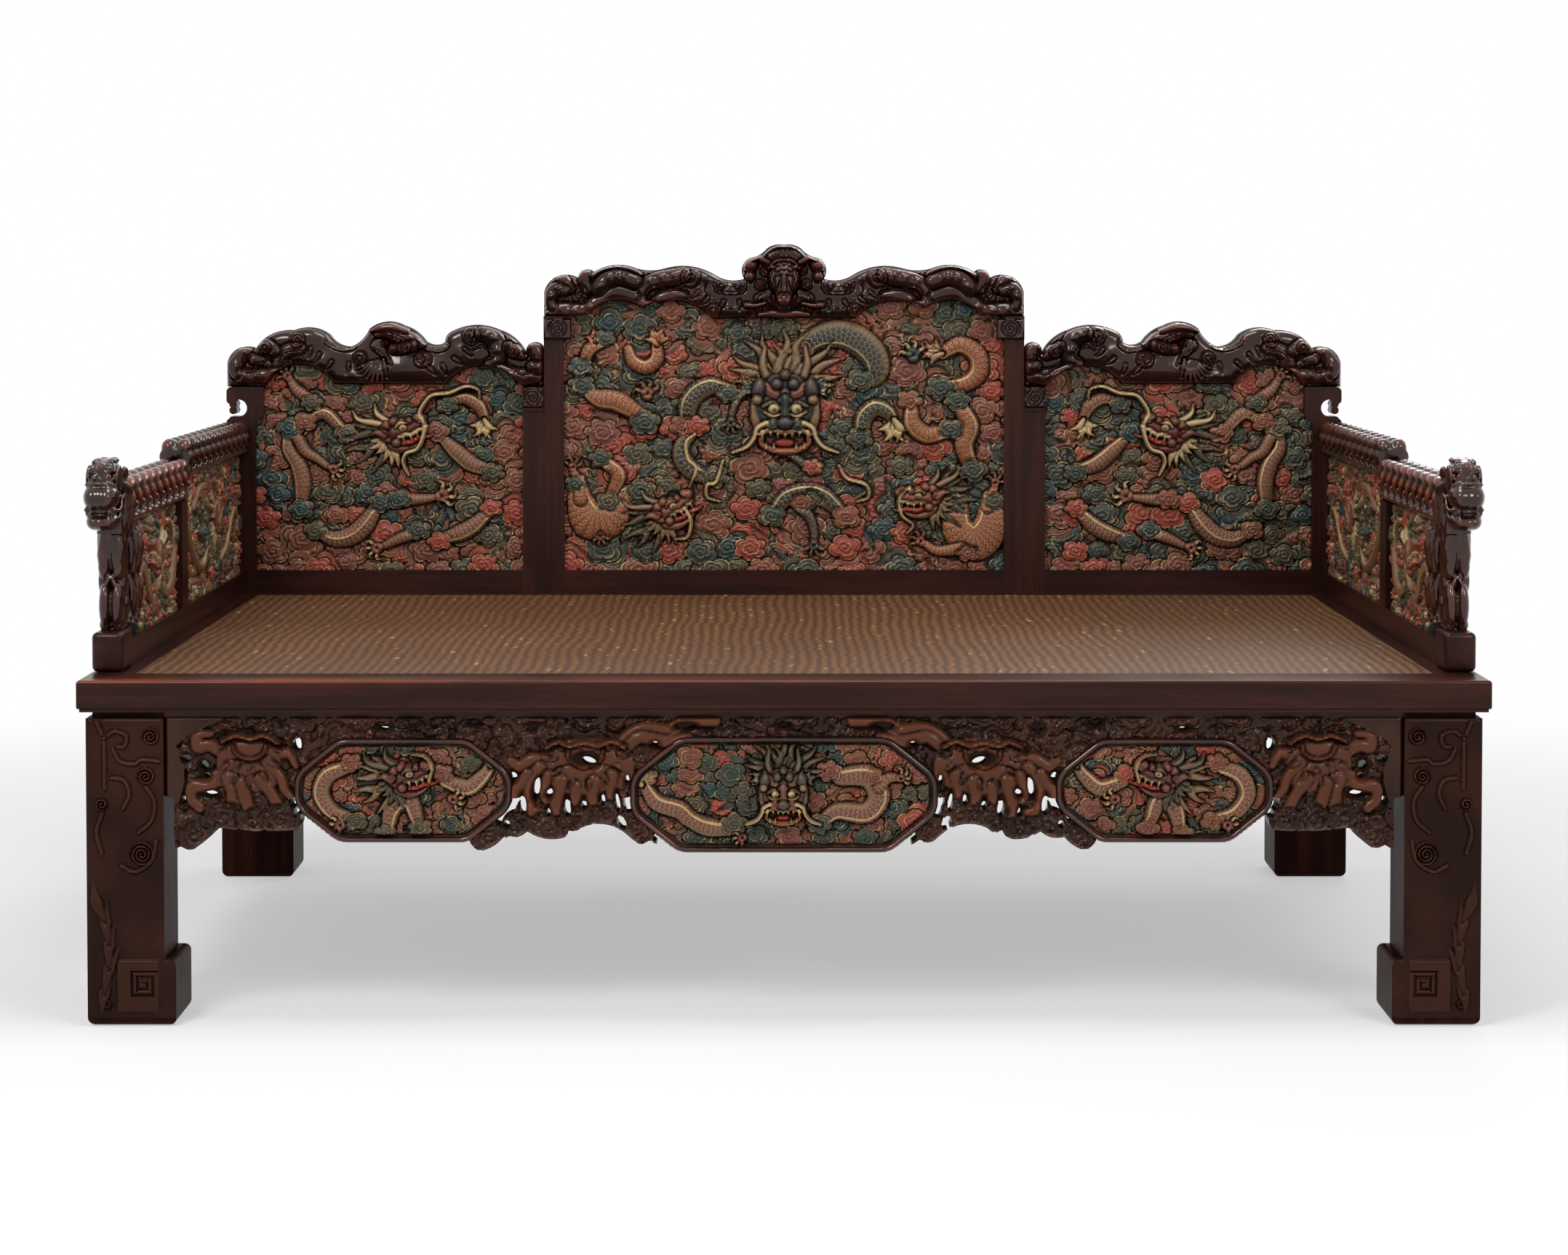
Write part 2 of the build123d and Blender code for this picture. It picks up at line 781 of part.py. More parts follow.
def seat_tenon(x):
    """Tenon under a screen that drops into the seat frame."""
    half = seat_tenon_length / 2
    thick = seat_tenon_thickness / 2
    block(x - half, x + half, screen_middle - thick, screen_middle + thick,
          seat_height - seat_tenon_depth, seat_height)


centre_inner = centre_half_width - stile_width
wing_far = wing_outer - wing_outer_stile_width
centre_stile_middle = centre_half_width - stile_width / 2
wing_stile_middle = wing_near + wing_stile_width / 2
wing_end_middle = wing_outer - end_tenon_set_in
hook_base = wing_stile_top - hook_base_drop
hook_tip = wing_stile_top - hook_tip_drop
centre_top = fitted(centre_crest_top, 0, centre_half_width, centre_stile_top)
centre_under = fitted(centre_crest_under, 0, centre_inner, centre_stile_top)
wing_top = fitted(wing_crest_top, wing_near, wing_outer, wing_stile_top)
wing_under = fitted(wing_crest_under, wing_inner, wing_far, wing_stile_top)

# Centre screen
centre_space = groove(centre_under, 0)
with BuildPart() as centre_panel:
    half_panel = panel(centre_under, 0)
    add(half_panel.part)
    mirror(half_panel.part, about=Plane.YZ)
keep(centre_panel, "back_centre_panel")

with BuildPart() as centre_rail:
    block(-centre_inner, centre_inner, screen_front, screen_back, seat_height, bottom_rail_top)
    add(centre_space.part, mode=Mode.SUBTRACT)
    mirror(centre_space.part, about=Plane.YZ, mode=Mode.SUBTRACT)
    for side in (-1, 1):
        rail_tenon(side * centre_inner, side, Mode.ADD)
        seat_tenon(side * back_tenons[0])
keep(centre_rail, "back_centre_bottom_rail")

with BuildPart() as centre_stile:
    block(centre_inner, centre_half_width, screen_front, screen_back, seat_height, centre_stile_top)
    block(centre_inner, centre_half_width, screen_front - scroll_block_proud, screen_front,
          centre_stile_top - scroll_block_height, centre_stile_top)
    add(centre_space.part, mode=Mode.SUBTRACT)
    rail_tenon(centre_inner, 1, Mode.SUBTRACT, joint_gap)
    upright_tenon(centre_stile_middle, centre_stile_top, Mode.ADD)
keep(centre_stile, "back_centre_stile_right")
keep_twin(centre_stile, "back_centre_stile_left", Plane.YZ)

with BuildPart() as centre_crest:
    half_crest = crest_board(centre_top, centre_under)
    add(half_crest.part)
    mirror(half_crest.part, about=Plane.YZ)
    extrude(mask_sheet(0.0), screen_middle - mask_front - mask_rim)
    extrude(mask_sheet(mask_rim), screen_middle - mask_front)
    with BuildSketch(upright(mask_front)):
        with Locations((0, centre_stile_top + snout_rise)):
            RectangleRounded(snout_width, snout_depth, snout_round)
    with BuildSketch(upright(mask_front - snout_proud)):
        with Locations((0, centre_stile_top + snout_rise - snout_dip)):
            RectangleRounded(snout_taper * snout_width, snout_taper * snout_depth,
                             snout_taper * snout_round)
    loft()
    volutes(centre_volutes, 1, 0.0, centre_stile_top)
    volutes(centre_volutes, -1, 0.0, centre_stile_top)
    add(centre_space.part, mode=Mode.SUBTRACT)
    mirror(centre_space.part, about=Plane.YZ, mode=Mode.SUBTRACT)
    for side in (-1, 1):
        upright_tenon(side * centre_stile_middle, centre_stile_top, Mode.SUBTRACT, joint_gap)
keep(centre_crest, "back_centre_crest")

# Wing screens, built on the right and mirrored
wing_space = groove(wing_under, tongue_depth)
wing_panel = panel(wing_under, tongue_depth)
with wing_panel:
    for front_y, back_y in ((panel_back - panel_thickness, screen_middle - tongue_thickness / 2),
                            (screen_middle + tongue_thickness / 2, panel_back)):
        block(wing_far - hook_step - joint_gap, wing_far, front_y, back_y,
              hook_base - hook_step_height - hook_step, wing_stile_top + stile_width, Mode.SUBTRACT)
keep(wing_panel, "back_right_panel")
keep_twin(wing_panel, "back_left_panel", Plane.YZ)

with BuildPart() as wing_rail:
    block(wing_inner, wing_far, screen_front, screen_back, seat_height, bottom_rail_top)
    add(wing_space.part, mode=Mode.SUBTRACT)
    rail_tenon(wing_inner, -1, Mode.ADD)
    rail_tenon(wing_far, 1, Mode.ADD)
    for tenon_x in back_tenons[1:]:
        seat_tenon(tenon_x)
keep(wing_rail, "back_right_bottom_rail")
keep_twin(wing_rail, "back_left_bottom_rail", Plane.YZ)

with BuildPart() as wing_stile:
    block(wing_near, wing_inner, screen_front, screen_back, seat_height, wing_stile_top)
    block(wing_near, wing_inner, screen_front - scroll_block_proud, screen_front,
          wing_stile_top - scroll_block_height, wing_stile_top)
    add(wing_space.part, mode=Mode.SUBTRACT)
    rail_tenon(wing_inner, -1, Mode.SUBTRACT, joint_gap)
    upright_tenon(wing_stile_middle, wing_stile_top, Mode.ADD)
keep(wing_stile, "back_right_inner_stile")
keep_twin(wing_stile, "back_left_inner_stile", Plane.YZ)

with BuildPart() as wing_end:
    with BuildSketch(upright(screen_back)):
        with BuildLine():
            Polyline(
                (wing_outer - hook_round, wing_stile_top),
                (wing_far - hook_step, wing_stile_top),
                (wing_far - hook_step, hook_base),
                (wing_far, hook_base - hook_step_height),
                (wing_far, seat_height),
                (wing_outer, seat_height),
                (wing_outer, hook_base - hook_lip),
                (wing_outer - hook_lip, hook_base),
                (wing_outer - 2 * hook_bead_set_in, hook_base),
            )
            ThreePointArc(
                (wing_outer - 2 * hook_bead_set_in, hook_base),
                (wing_outer - hook_reach, hook_tip),
                (wing_outer - hook_lip, hook_tip),
            )
            ThreePointArc(
                (wing_outer - hook_lip, hook_tip),
                (wing_outer - hook_lip * round_share, hook_tip + hook_lip * round_share),
                (wing_outer, hook_tip + hook_lip),
            )
            Line((wing_outer, hook_tip + hook_lip), (wing_outer, wing_stile_top - hook_round))
            ThreePointArc(
                (wing_outer, wing_stile_top - hook_round),
                (wing_outer - hook_round * round_share, wing_stile_top - hook_round * round_share),
                (wing_outer - hook_round, wing_stile_top),
            )
        make_face()
    extrude(amount=screen_thickness)
    for bead_z in (hook_tip, hook_tip - hook_bead_spacing):
        with Locations(Location((wing_outer - hook_bead_set_in, screen_middle, bead_z), (90, 0, 0))):
            Cylinder(hook_bead_radius, screen_thickness)
    add(wing_space.part, mode=Mode.SUBTRACT)
    rail_tenon(wing_far, 1, Mode.SUBTRACT, joint_gap)
    upright_tenon(wing_end_middle, wing_stile_top, Mode.ADD)
keep(wing_end, "back_right_outer_stile")
keep_twin(wing_end, "back_left_outer_stile", Plane.YZ)

with BuildPart() as wing_crest:
    add(crest_board(wing_top, wing_under).part)
    with BuildSketch(upright(screen_middle)):
        with BuildLine():
            draw([[(wing_near + across, up) for across, up in run] for run in wing_head_outline],
                 wing_stile_top)
        make_face()
    extrude(amount=crest_thickness / 2 + head_proud)
    volutes(wing_volutes, 1, wing_near, wing_stile_top)
    add(wing_space.part, mode=Mode.SUBTRACT)
    upright_tenon(wing_stile_middle, wing_stile_top, Mode.SUBTRACT, joint_gap)
    upright_tenon(wing_end_middle, wing_stile_top, Mode.SUBTRACT, joint_gap)
keep(wing_crest, "back_right_crest")
keep_twin(wing_crest, "back_left_crest", Plane.YZ)


# ------------------------------------------------------------- side screens
# Side view of the beast head, as back from its muzzle and up from its mouth.
head_outline = [
    [(120, -15), (86, -23)],
    [(86, -23), (50, -28), (14, -23)],
    [(14, -23), (3, -12), (14, -4)],
    [(14, -4), (40, -2)],
    [(40, -2), (40, 2)],
    [(40, 2), (12, 4)],
    [(12, 4), (0, 20), (8, 36)],
    [(8, 36), (18, 44), (28, 46)],
    [(28, 46), (36, 64), (54, 71)],
    [(54, 71), (74, 72), (91, 63)],
    [(91, 63), (108, 50), (120, 34)],
    [(120, 34), (120, -15)],
]
# Front of the post from its foot to its neck, as share of the height and forward.
post_front_line = [(0.0, 0), (0.18, 7), (0.39, -1), (0.56, 4), (0.76, -4), (1.0, -2)]


def side_plane(x):
    """Sketch plane facing right at the given x, drawn in (y, z)."""
    return Plane.YZ.offset(x)


side_rear = screen_front - screen_gap
rear_stile_front = side_rear - rear_stile_depth
side_panel_front = side_front + side_panel_set_back
middle_stile_front = side_front + middle_stile_set_back
post_front = side_front + post_set_back
post_tenon_y = side_front + post_tenon_set_back
head_front = side_front - head_overhang
middle_stile_back = middle_stile_front + middle_stile_depth
post_top = front_crest_bottom
crest_start = head_front + head_length
block_top = seat_height + block_height
block_back = side_front + block_length


def side_block(y0, y1, z0, z1, thickness, mode=Mode.ADD):
    """A box in the middle plane of the right side screen."""
    block(side_middle - thickness / 2, side_middle + thickness / 2, y0, y1, z0, z1, mode)


def side_panel(front, back, low, high):
    """Carved side panel with a tongue all round."""
    with BuildPart() as board:
        gap = joint_gap
        side_block(front + gap, back - gap, low + gap, high - gap, panel_thickness)
        side_block(front - tongue_depth, back + tongue_depth, low - tongue_depth,
                   high + tongue_depth, tongue_thickness)
    return board


def side_groove(front, back, low, high):
    """Cut the space of a side panel's tongue from the piece being built."""
    reach = tongue_depth + joint_gap
    side_block(front - reach, back + reach, low - reach, high + reach,
               tongue_thickness + 2 * joint_gap, Mode.SUBTRACT)


def side_grooves():
    """Cut both panels' tongues from the piece being built."""
    side_groove(side_panel_front, middle_stile_front, bottom_rail_top, front_crest_bottom)
    side_groove(middle_stile_back, rear_stile_front, bottom_rail_top, rear_crest_bottom)


def foot_tenon(y, z, mode, gap=0.0):
    """Tenon under an upright of the side screen, or its mortise."""
    half = stile_tenon_width / 2 + gap
    side_block(y - half, y + half, z - stile_tenon_length - gap, z,
               stile_tenon_thickness + 2 * gap, mode)


def knuckled_crest(front, back, bottom, height):
    """Crest of paired knuckles along a side screen, pierced between them."""
    top = bottom + height
    count = round((back - front) / knuckle_pitch)
    pitch = (back - front) / count
    valley = top - knuckle_rise
    shoulder = top - knuckle_shoulder
    half = crest_width / 2
    with BuildPart() as crest:
        with BuildSketch(side_plane(side_middle - half)):
            with BuildLine():
                for number in range(count):
                    start = front + number * pitch
                    Polyline((start, valley), (start + pitch / 4, top), (start + 3 * pitch / 4, top),
                             (start + pitch, valley))
                Polyline((back, valley), (back, bottom + knuckle_base),
                         (front, bottom + knuckle_base), (front, valley))
            make_face()
        extrude(amount=crest_width)
        with BuildSketch(Plane.XZ.offset(-back)):
            with BuildLine():
                Polyline((side_middle - half, shoulder), (side_middle - half, bottom),
                         (side_middle + half, bottom), (side_middle + half, shoulder))
                for side in (-1, 1):
                    Polyline((side_middle + side * half, shoulder),
                             (side_middle + side * half / 2, top),
                             (side_middle, shoulder))
            make_face()
        extrude(amount=back - front, mode=Mode.INTERSECT)
        side_block(front, back, bottom, bottom + knuckle_base, side_thickness)
        slot_z = valley - knuckle_slot_cover - knuckle_slot_height / 2
        with BuildSketch(side_plane(side_middle - half)):
            with Locations([(front + number * pitch, slot_z) for number in range(1, count)]):
                Rectangle(knuckle_slot_width, knuckle_slot_height)
        extrude(amount=crest_width, mode=Mode.SUBTRACT)
        side_grooves()
    return crest


with BuildPart() as base_rail:
    side_block(side_front, block_back, seat_height, block_top, side_thickness)
    front_edges = base_rail.edges().group_by(Axis.Y)[0]
    fillet(front_edges, radius=block_round)
    side_block(block_back, side_rear, seat_height, bottom_rail_top, side_thickness)
    for tenon_y in side_tenons:
        side_block(tenon_y - seat_tenon_length / 2, tenon_y + seat_tenon_length / 2,
                   seat_height - seat_tenon_depth, seat_height, seat_tenon_thickness)
    side_grooves()
    foot_tenon(post_tenon_y, bottom_rail_top, Mode.SUBTRACT, joint_gap)
    foot_tenon(middle_stile_front + middle_stile_depth / 2, bottom_rail_top, Mode.SUBTRACT, joint_gap)
    foot_tenon(side_rear - rear_stile_depth / 2, bottom_rail_top, Mode.SUBTRACT, joint_gap)
keep(base_rail, "side_right_base_rail")
keep_twin(base_rail, "side_left_base_rail", Plane.YZ)

neck_top = post_top + post_neck_rise

with BuildPart() as post:
    with BuildSketch(side_plane(side_middle - post_thickness / 2)) as post_view:
        with BuildLine():
            Polyline(*[(post_front - forward, block_top + share * (neck_top - block_top))
                       for share, forward in post_front_line])
            Polyline((post_front - post_front_line[-1][1], neck_top), (crest_start, neck_top),
                     (crest_start, post_top), (side_panel_front, post_top),
                     (side_panel_front, bottom_rail_top), (block_back, bottom_rail_top),
                     (block_back, block_top), (post_front, block_top))
        make_face()
    extrude(amount=post_thickness)
    with BuildSketch(side_plane(side_middle - head_width / 2)) as head_view:
        with BuildLine():
            draw(fitted(head_outline, head_front, crest_start, post_top + mouth_rise))
        make_face()
    extrude(amount=head_width)
    side_groove(side_panel_front, middle_stile_front, bottom_rail_top, front_crest_bottom)
    foot_tenon(post_tenon_y, bottom_rail_top, Mode.ADD)
keep(post, "side_right_beast_post")
keep_twin(post, "side_left_beast_post", Plane.YZ)

with BuildPart() as middle_stile:
    side_block(middle_stile_front, middle_stile_back, bottom_rail_top, front_crest_bottom, side_thickness)
    side_grooves()
    foot_tenon(middle_stile_front + middle_stile_depth / 2, bottom_rail_top, Mode.ADD)
keep(middle_stile, "side_right_middle_stile")
keep_twin(middle_stile, "side_left_middle_stile", Plane.YZ)

with BuildPart() as rear_stile:
    side_block(rear_stile_front, side_rear, bottom_rail_top, rear_crest_bottom, side_thickness)
    side_grooves()
    foot_tenon(side_rear - rear_stile_depth / 2, bottom_rail_top, Mode.ADD)
keep(rear_stile, "side_right_rear_stile")
keep_twin(rear_stile, "side_left_rear_stile", Plane.YZ)

front_panel = side_panel(side_panel_front, middle_stile_front, bottom_rail_top, front_crest_bottom)
keep(front_panel, "side_right_front_panel")
keep_twin(front_panel, "side_left_front_panel", Plane.YZ)
rear_panel = side_panel(middle_stile_back, rear_stile_front, bottom_rail_top, rear_crest_bottom)
keep(rear_panel, "side_right_rear_panel")
keep_twin(rear_panel, "side_left_rear_panel", Plane.YZ)

front_crest = knuckled_crest(crest_start, middle_stile_back, front_crest_bottom, front_crest_height)
keep(front_crest, "side_right_front_crest")
keep_twin(front_crest, "side_left_front_crest", Plane.YZ)
rear_crest = knuckled_crest(middle_stile_back, side_rear, rear_crest_bottom, rear_crest_height)
keep(rear_crest, "side_right_rear_crest")
keep_twin(rear_crest, "side_left_rear_crest", Plane.YZ)
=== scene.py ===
import json
import logging
import math
from dataclasses import dataclass, field
from enum import Enum
from typing import Any, Callable

import bmesh
import bpy
import numpy as np
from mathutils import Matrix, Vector

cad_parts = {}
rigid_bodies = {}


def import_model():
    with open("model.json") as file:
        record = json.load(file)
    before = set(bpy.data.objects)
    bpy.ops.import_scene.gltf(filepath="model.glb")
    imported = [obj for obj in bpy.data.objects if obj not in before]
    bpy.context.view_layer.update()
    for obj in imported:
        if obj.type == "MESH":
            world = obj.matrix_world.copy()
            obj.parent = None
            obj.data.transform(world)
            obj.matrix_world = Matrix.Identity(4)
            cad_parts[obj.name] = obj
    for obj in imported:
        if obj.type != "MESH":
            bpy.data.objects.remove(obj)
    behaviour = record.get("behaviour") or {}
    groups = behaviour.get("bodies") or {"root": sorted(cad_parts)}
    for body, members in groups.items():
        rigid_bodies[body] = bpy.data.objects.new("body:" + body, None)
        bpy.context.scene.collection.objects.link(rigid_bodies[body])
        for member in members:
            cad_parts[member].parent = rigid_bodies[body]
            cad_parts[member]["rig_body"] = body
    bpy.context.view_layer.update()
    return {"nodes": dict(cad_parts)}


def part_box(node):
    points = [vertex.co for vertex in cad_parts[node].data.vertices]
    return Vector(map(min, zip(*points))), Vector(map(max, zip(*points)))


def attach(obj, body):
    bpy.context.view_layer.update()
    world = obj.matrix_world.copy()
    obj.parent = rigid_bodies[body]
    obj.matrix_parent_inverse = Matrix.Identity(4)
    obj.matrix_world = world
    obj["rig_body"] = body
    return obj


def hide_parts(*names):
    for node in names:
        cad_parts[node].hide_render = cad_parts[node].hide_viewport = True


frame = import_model()
LOG = logging.getLogger("daybed")
MM = 0.001
FRONT_FACE = -589.0  # face of the front apron
SIDE_FACE = 994.0  # face of a side apron
WAIST = 444.0  # foot of the plain strip over the aprons
SCREEN_PLANE = 985.0  # middle plane of a side screen
SURROUNDINGS = 60.0  # reach over which a swelling is measured
BACK_SWELL = 0.42  # swell that a flat back is given
SHARP_CARVING, SHARP_CLAY, SHARP_RAIL = 62.0, 70.0, 40.0  # degrees from which an edge stays sharp

Grid = np.ndarray
Point = tuple[float, float]
Colour = tuple[float, float, float]


# ------------------------------------------------------------------ shader maths
class Socket:
    """An output socket that adds Math nodes when it is used in an expression."""

    def __init__(self, sheet: "NodeSheet", socket: Any) -> None:
        """Wrap an output socket of a node sheet."""
        self.sheet = sheet
        self.socket = socket

    def _math(self, operation: str, first: Any, second: Any) -> "Socket":
        """Add a Math node on two values or sockets."""
        return self.sheet.node("ShaderNodeMath", {"operation": operation}, {0: first, 1: second})

    def __add__(self, other: Any) -> "Socket":
        """Sum."""
        return self._math("ADD", self, other)

    __radd__ = __add__

    def __sub__(self, other: Any) -> "Socket":
        """Difference."""
        return self._math("SUBTRACT", self, other)

    def __rsub__(self, other: Any) -> "Socket":
        """Difference, with the socket second."""
        return self._math("SUBTRACT", other, self)

    def __mul__(self, other: Any) -> "Socket":
        """Product."""
        return self._math("MULTIPLY", self, other)

    __rmul__ = __mul__

    def clamp(self) -> "Socket":
        """The value kept between 0 and 1."""
        return self._math("MINIMUM", self._math("MAXIMUM", self, 0.0), 1.0)


class NodeSheet:
    """A node tree and the nodes that are added to it."""

    def __init__(self, name: str) -> None:
        """Start an empty material with a Principled shader.

        Args:
            name: name of the material.
        """
        self.material = bpy.data.materials.new(name)
        self.material.use_nodes = True
        self.tree = self.material.node_tree
        self.shader = self.tree.nodes["Principled BSDF"]

    def node(self, kind: str, settings: dict[str, Any], inputs: dict[Any, Any], out: Any = 0) -> Socket:
        """Add a node.

        Args:
            kind: type of the node.
            settings: its properties.
            inputs: values or sockets for its inputs, by name or number.
            out: name or number of the output that is returned.

        Returns:
            The wrapped output socket.
        """
        node = self.tree.nodes.new(kind)
        for key, value in settings.items():
            setattr(node, key, value)
        for key, value in inputs.items():
            if isinstance(value, Socket):
                self.tree.links.new(value.socket, node.inputs[key])
            else:
                node.inputs[key].default_value = value
        return Socket(self, node.outputs[out])

    def mix(self, factor: Any, first: Any, second: Any) -> Socket:
        """Blend two colours.

        Args:
            factor: share of the second colour.
            first: first colour, a triple or a socket.
            second: second colour, a triple or a socket.

        Returns:
            The blended colour.
        """
        colours = [c if isinstance(c, Socket) else (*c, 1.0) for c in (first, second)]
        values = {0: factor, 6: colours[0], 7: colours[1]}
        return self.node("ShaderNodeMix", {"data_type": "RGBA"}, values, 2)

    def noise(self, scale: float, detail: float = 3.0, stretch: tuple = (1, 1, 1)) -> Socket:
        """Noise on Object coordinates, stretched along the axes."""
        place = self.node("ShaderNodeTexCoord", {}, {}, "Object")
        place = self.node("ShaderNodeMapping", {}, {"Vector": place, "Scale": stretch})
        values = {"Vector": place, "Scale": scale, "Detail": detail}
        return self.node("ShaderNodeTexNoise", {}, values, "Fac")

    def spread(self, value: Socket, low: float, high: float) -> Socket:
        """Stretch the range from low to high over 0 to 1, smoothly."""
        settings = {"interpolation_type": "SMOOTHSTEP"}
        return self.node("ShaderNodeMapRange", settings, {0: value, 1: low, 2: high})

    def attribute(self, name: str, out: str = "Fac") -> Socket:
        """Read an attribute of the mesh."""
        return self.node("ShaderNodeAttribute", {"attribute_name": name}, {}, out)

    def place(self, axis: str) -> Socket:
        """One Object coordinate in metres."""
        place = self.node("ShaderNodeTexCoord", {}, {}, "Object")
        return self.node("ShaderNodeSeparateXYZ", {}, {0: place}, axis)

    def bump(self, height: Socket, strength: float, distance: float) -> None:
        """Feed a height to the shader's normal."""
        values = {"Height": height, "Strength": strength, "Distance": distance}
        self.feed("Normal", self.node("ShaderNodeBump", {}, values, "Normal"))

    def feed(self, name: str, value: Any) -> None:
        """Set or link an input of the shader."""
        if isinstance(value, Socket):
            self.tree.links.new(value.socket, self.shader.inputs[name])
        else:
            self.shader.inputs[name].default_value = value


# ---------------------------------------------------------------------- finishes
@dataclass(frozen=True)
class PolishedWood:
    """Dark oiled hardwood, with grain along one axis and light wear."""

    name: str
    deep: Colour = (0.011, 0.0032, 0.0025)
    warm: Colour = (0.036, 0.0090, 0.0062)
    worn: Colour = (0.24, 0.048, 0.014)
    grain: tuple = (1.0, 14.0, 14.0)
    edge_height: float | None = None
    edge_depth: float | None = None
    rough: float = 0.24
    coat: float = 0.06
    specular: float = 0.20

    def build(self) -> bpy.types.Material:
        """Make the material.

        Returns:
            The finished material.
        """
        sheet = NodeSheet(self.name)
        cloud = sheet.spread(sheet.noise(3.1, 4.0, self.grain), 0.33, 0.72)
        fibre = sheet.noise(26.0, 5.0, self.grain)
        colour = sheet.mix(cloud, self.deep, self.warm)
        colour = sheet.mix(sheet.spread(fibre, 0.40, 0.66) * 0.55, colour, self.deep)
        if self.edge_height is not None:
            high = sheet.spread(sheet.place("Z"), self.edge_height - 0.004, self.edge_height)
            front = 1.0 - sheet.spread(sheet.place("Y"), self.edge_depth, self.edge_depth + 0.055)
            patch = sheet.spread(sheet.noise(2.2, 5.0, (1.0, 5.0, 9.0)), 0.42, 0.68)
            colour = sheet.mix(high * front * (0.15 + patch * 0.80), colour, self.worn)
        sheet.feed("Base Color", colour)
        sheet.feed("Roughness", self.rough + sheet.noise(9.0, 4.0) * 0.16)
        sheet.feed("Coat Weight", self.coat)
        sheet.feed("Coat Roughness", 0.14)
        sheet.feed("Specular IOR Level", self.specular)
        sheet.feed("Specular Tint", (1.0, 0.70, 0.60, 1.0))
        sheet.bump(fibre, 0.10, 0.0006)
        return sheet.material


@dataclass(frozen=True)
class CarvedWood:
    """Glossy carved hardwood: red on its ridges from wear and as a painted highlight, dark and dull in its
    hollows from dust and painted shade.
    """

    name: str
    deep: Colour = (0.006, 0.0022, 0.0017)
    warm: Colour = (0.025, 0.0062, 0.0044)
    # Colour of the wear and painted highlight on the ridges.
    worn: Colour = (0.15, 0.028, 0.013)
    # Colour of the dust and painted shade in the hollows.
    dust: Colour = (0.010, 0.006, 0.005)
    polish: Colour = (0.080, 0.029, 0.015)
    wear: float = 0.50
    rough: float = 0.15
    coat: float = 0.38
    specular: float = 0.25

    def build(self) -> bpy.types.Material:
        """Make the material.

        Returns:
            The finished material.
        """
        sheet = NodeSheet(self.name)
        swell = sheet.attribute("swell")
        cloud = sheet.spread(sheet.noise(7.0, 4.0), 0.35, 0.68)
        colour = sheet.mix(cloud * 0.8 + 0.1, self.deep, self.warm)
        # The gilding share takes the polish colour; on the front legs it lightens the raised lines as a
        # painted highlight.
        colour = sheet.mix(sheet.attribute("gilding") * 0.85, colour, self.polish)
        # Ridges turn red: wear, and a painted highlight on the forms that stand out.
        high = sheet.spread(swell + sheet.noise(16.0, 4.0) * 0.40, 0.88, 1.28)
        colour = sheet.mix((high * self.wear).clamp(), colour, self.worn)
        # Hollows turn dark: dust, and painted shade where the carving is sunk.
        low = 1.0 - sheet.spread(swell, 0.08, 0.40)
        colour = sheet.mix((low * 0.85).clamp(), colour, self.dust)
        sheet.feed("Base Color", colour)
        sheet.feed("Roughness", (self.rough + low * 0.45 + sheet.noise(21.0, 3.0) * 0.10).clamp())
        sheet.feed("Coat Weight", ((1.0 - low) * self.coat).clamp())
        sheet.feed("Coat Roughness", 0.06)
        sheet.feed("Specular IOR Level", self.specular)
        sheet.feed("Specular Tint", (1.0, 0.70, 0.60, 1.0))
        sheet.bump(sheet.noise(120.0, 4.0), 0.08, 0.0006)
        return sheet.material


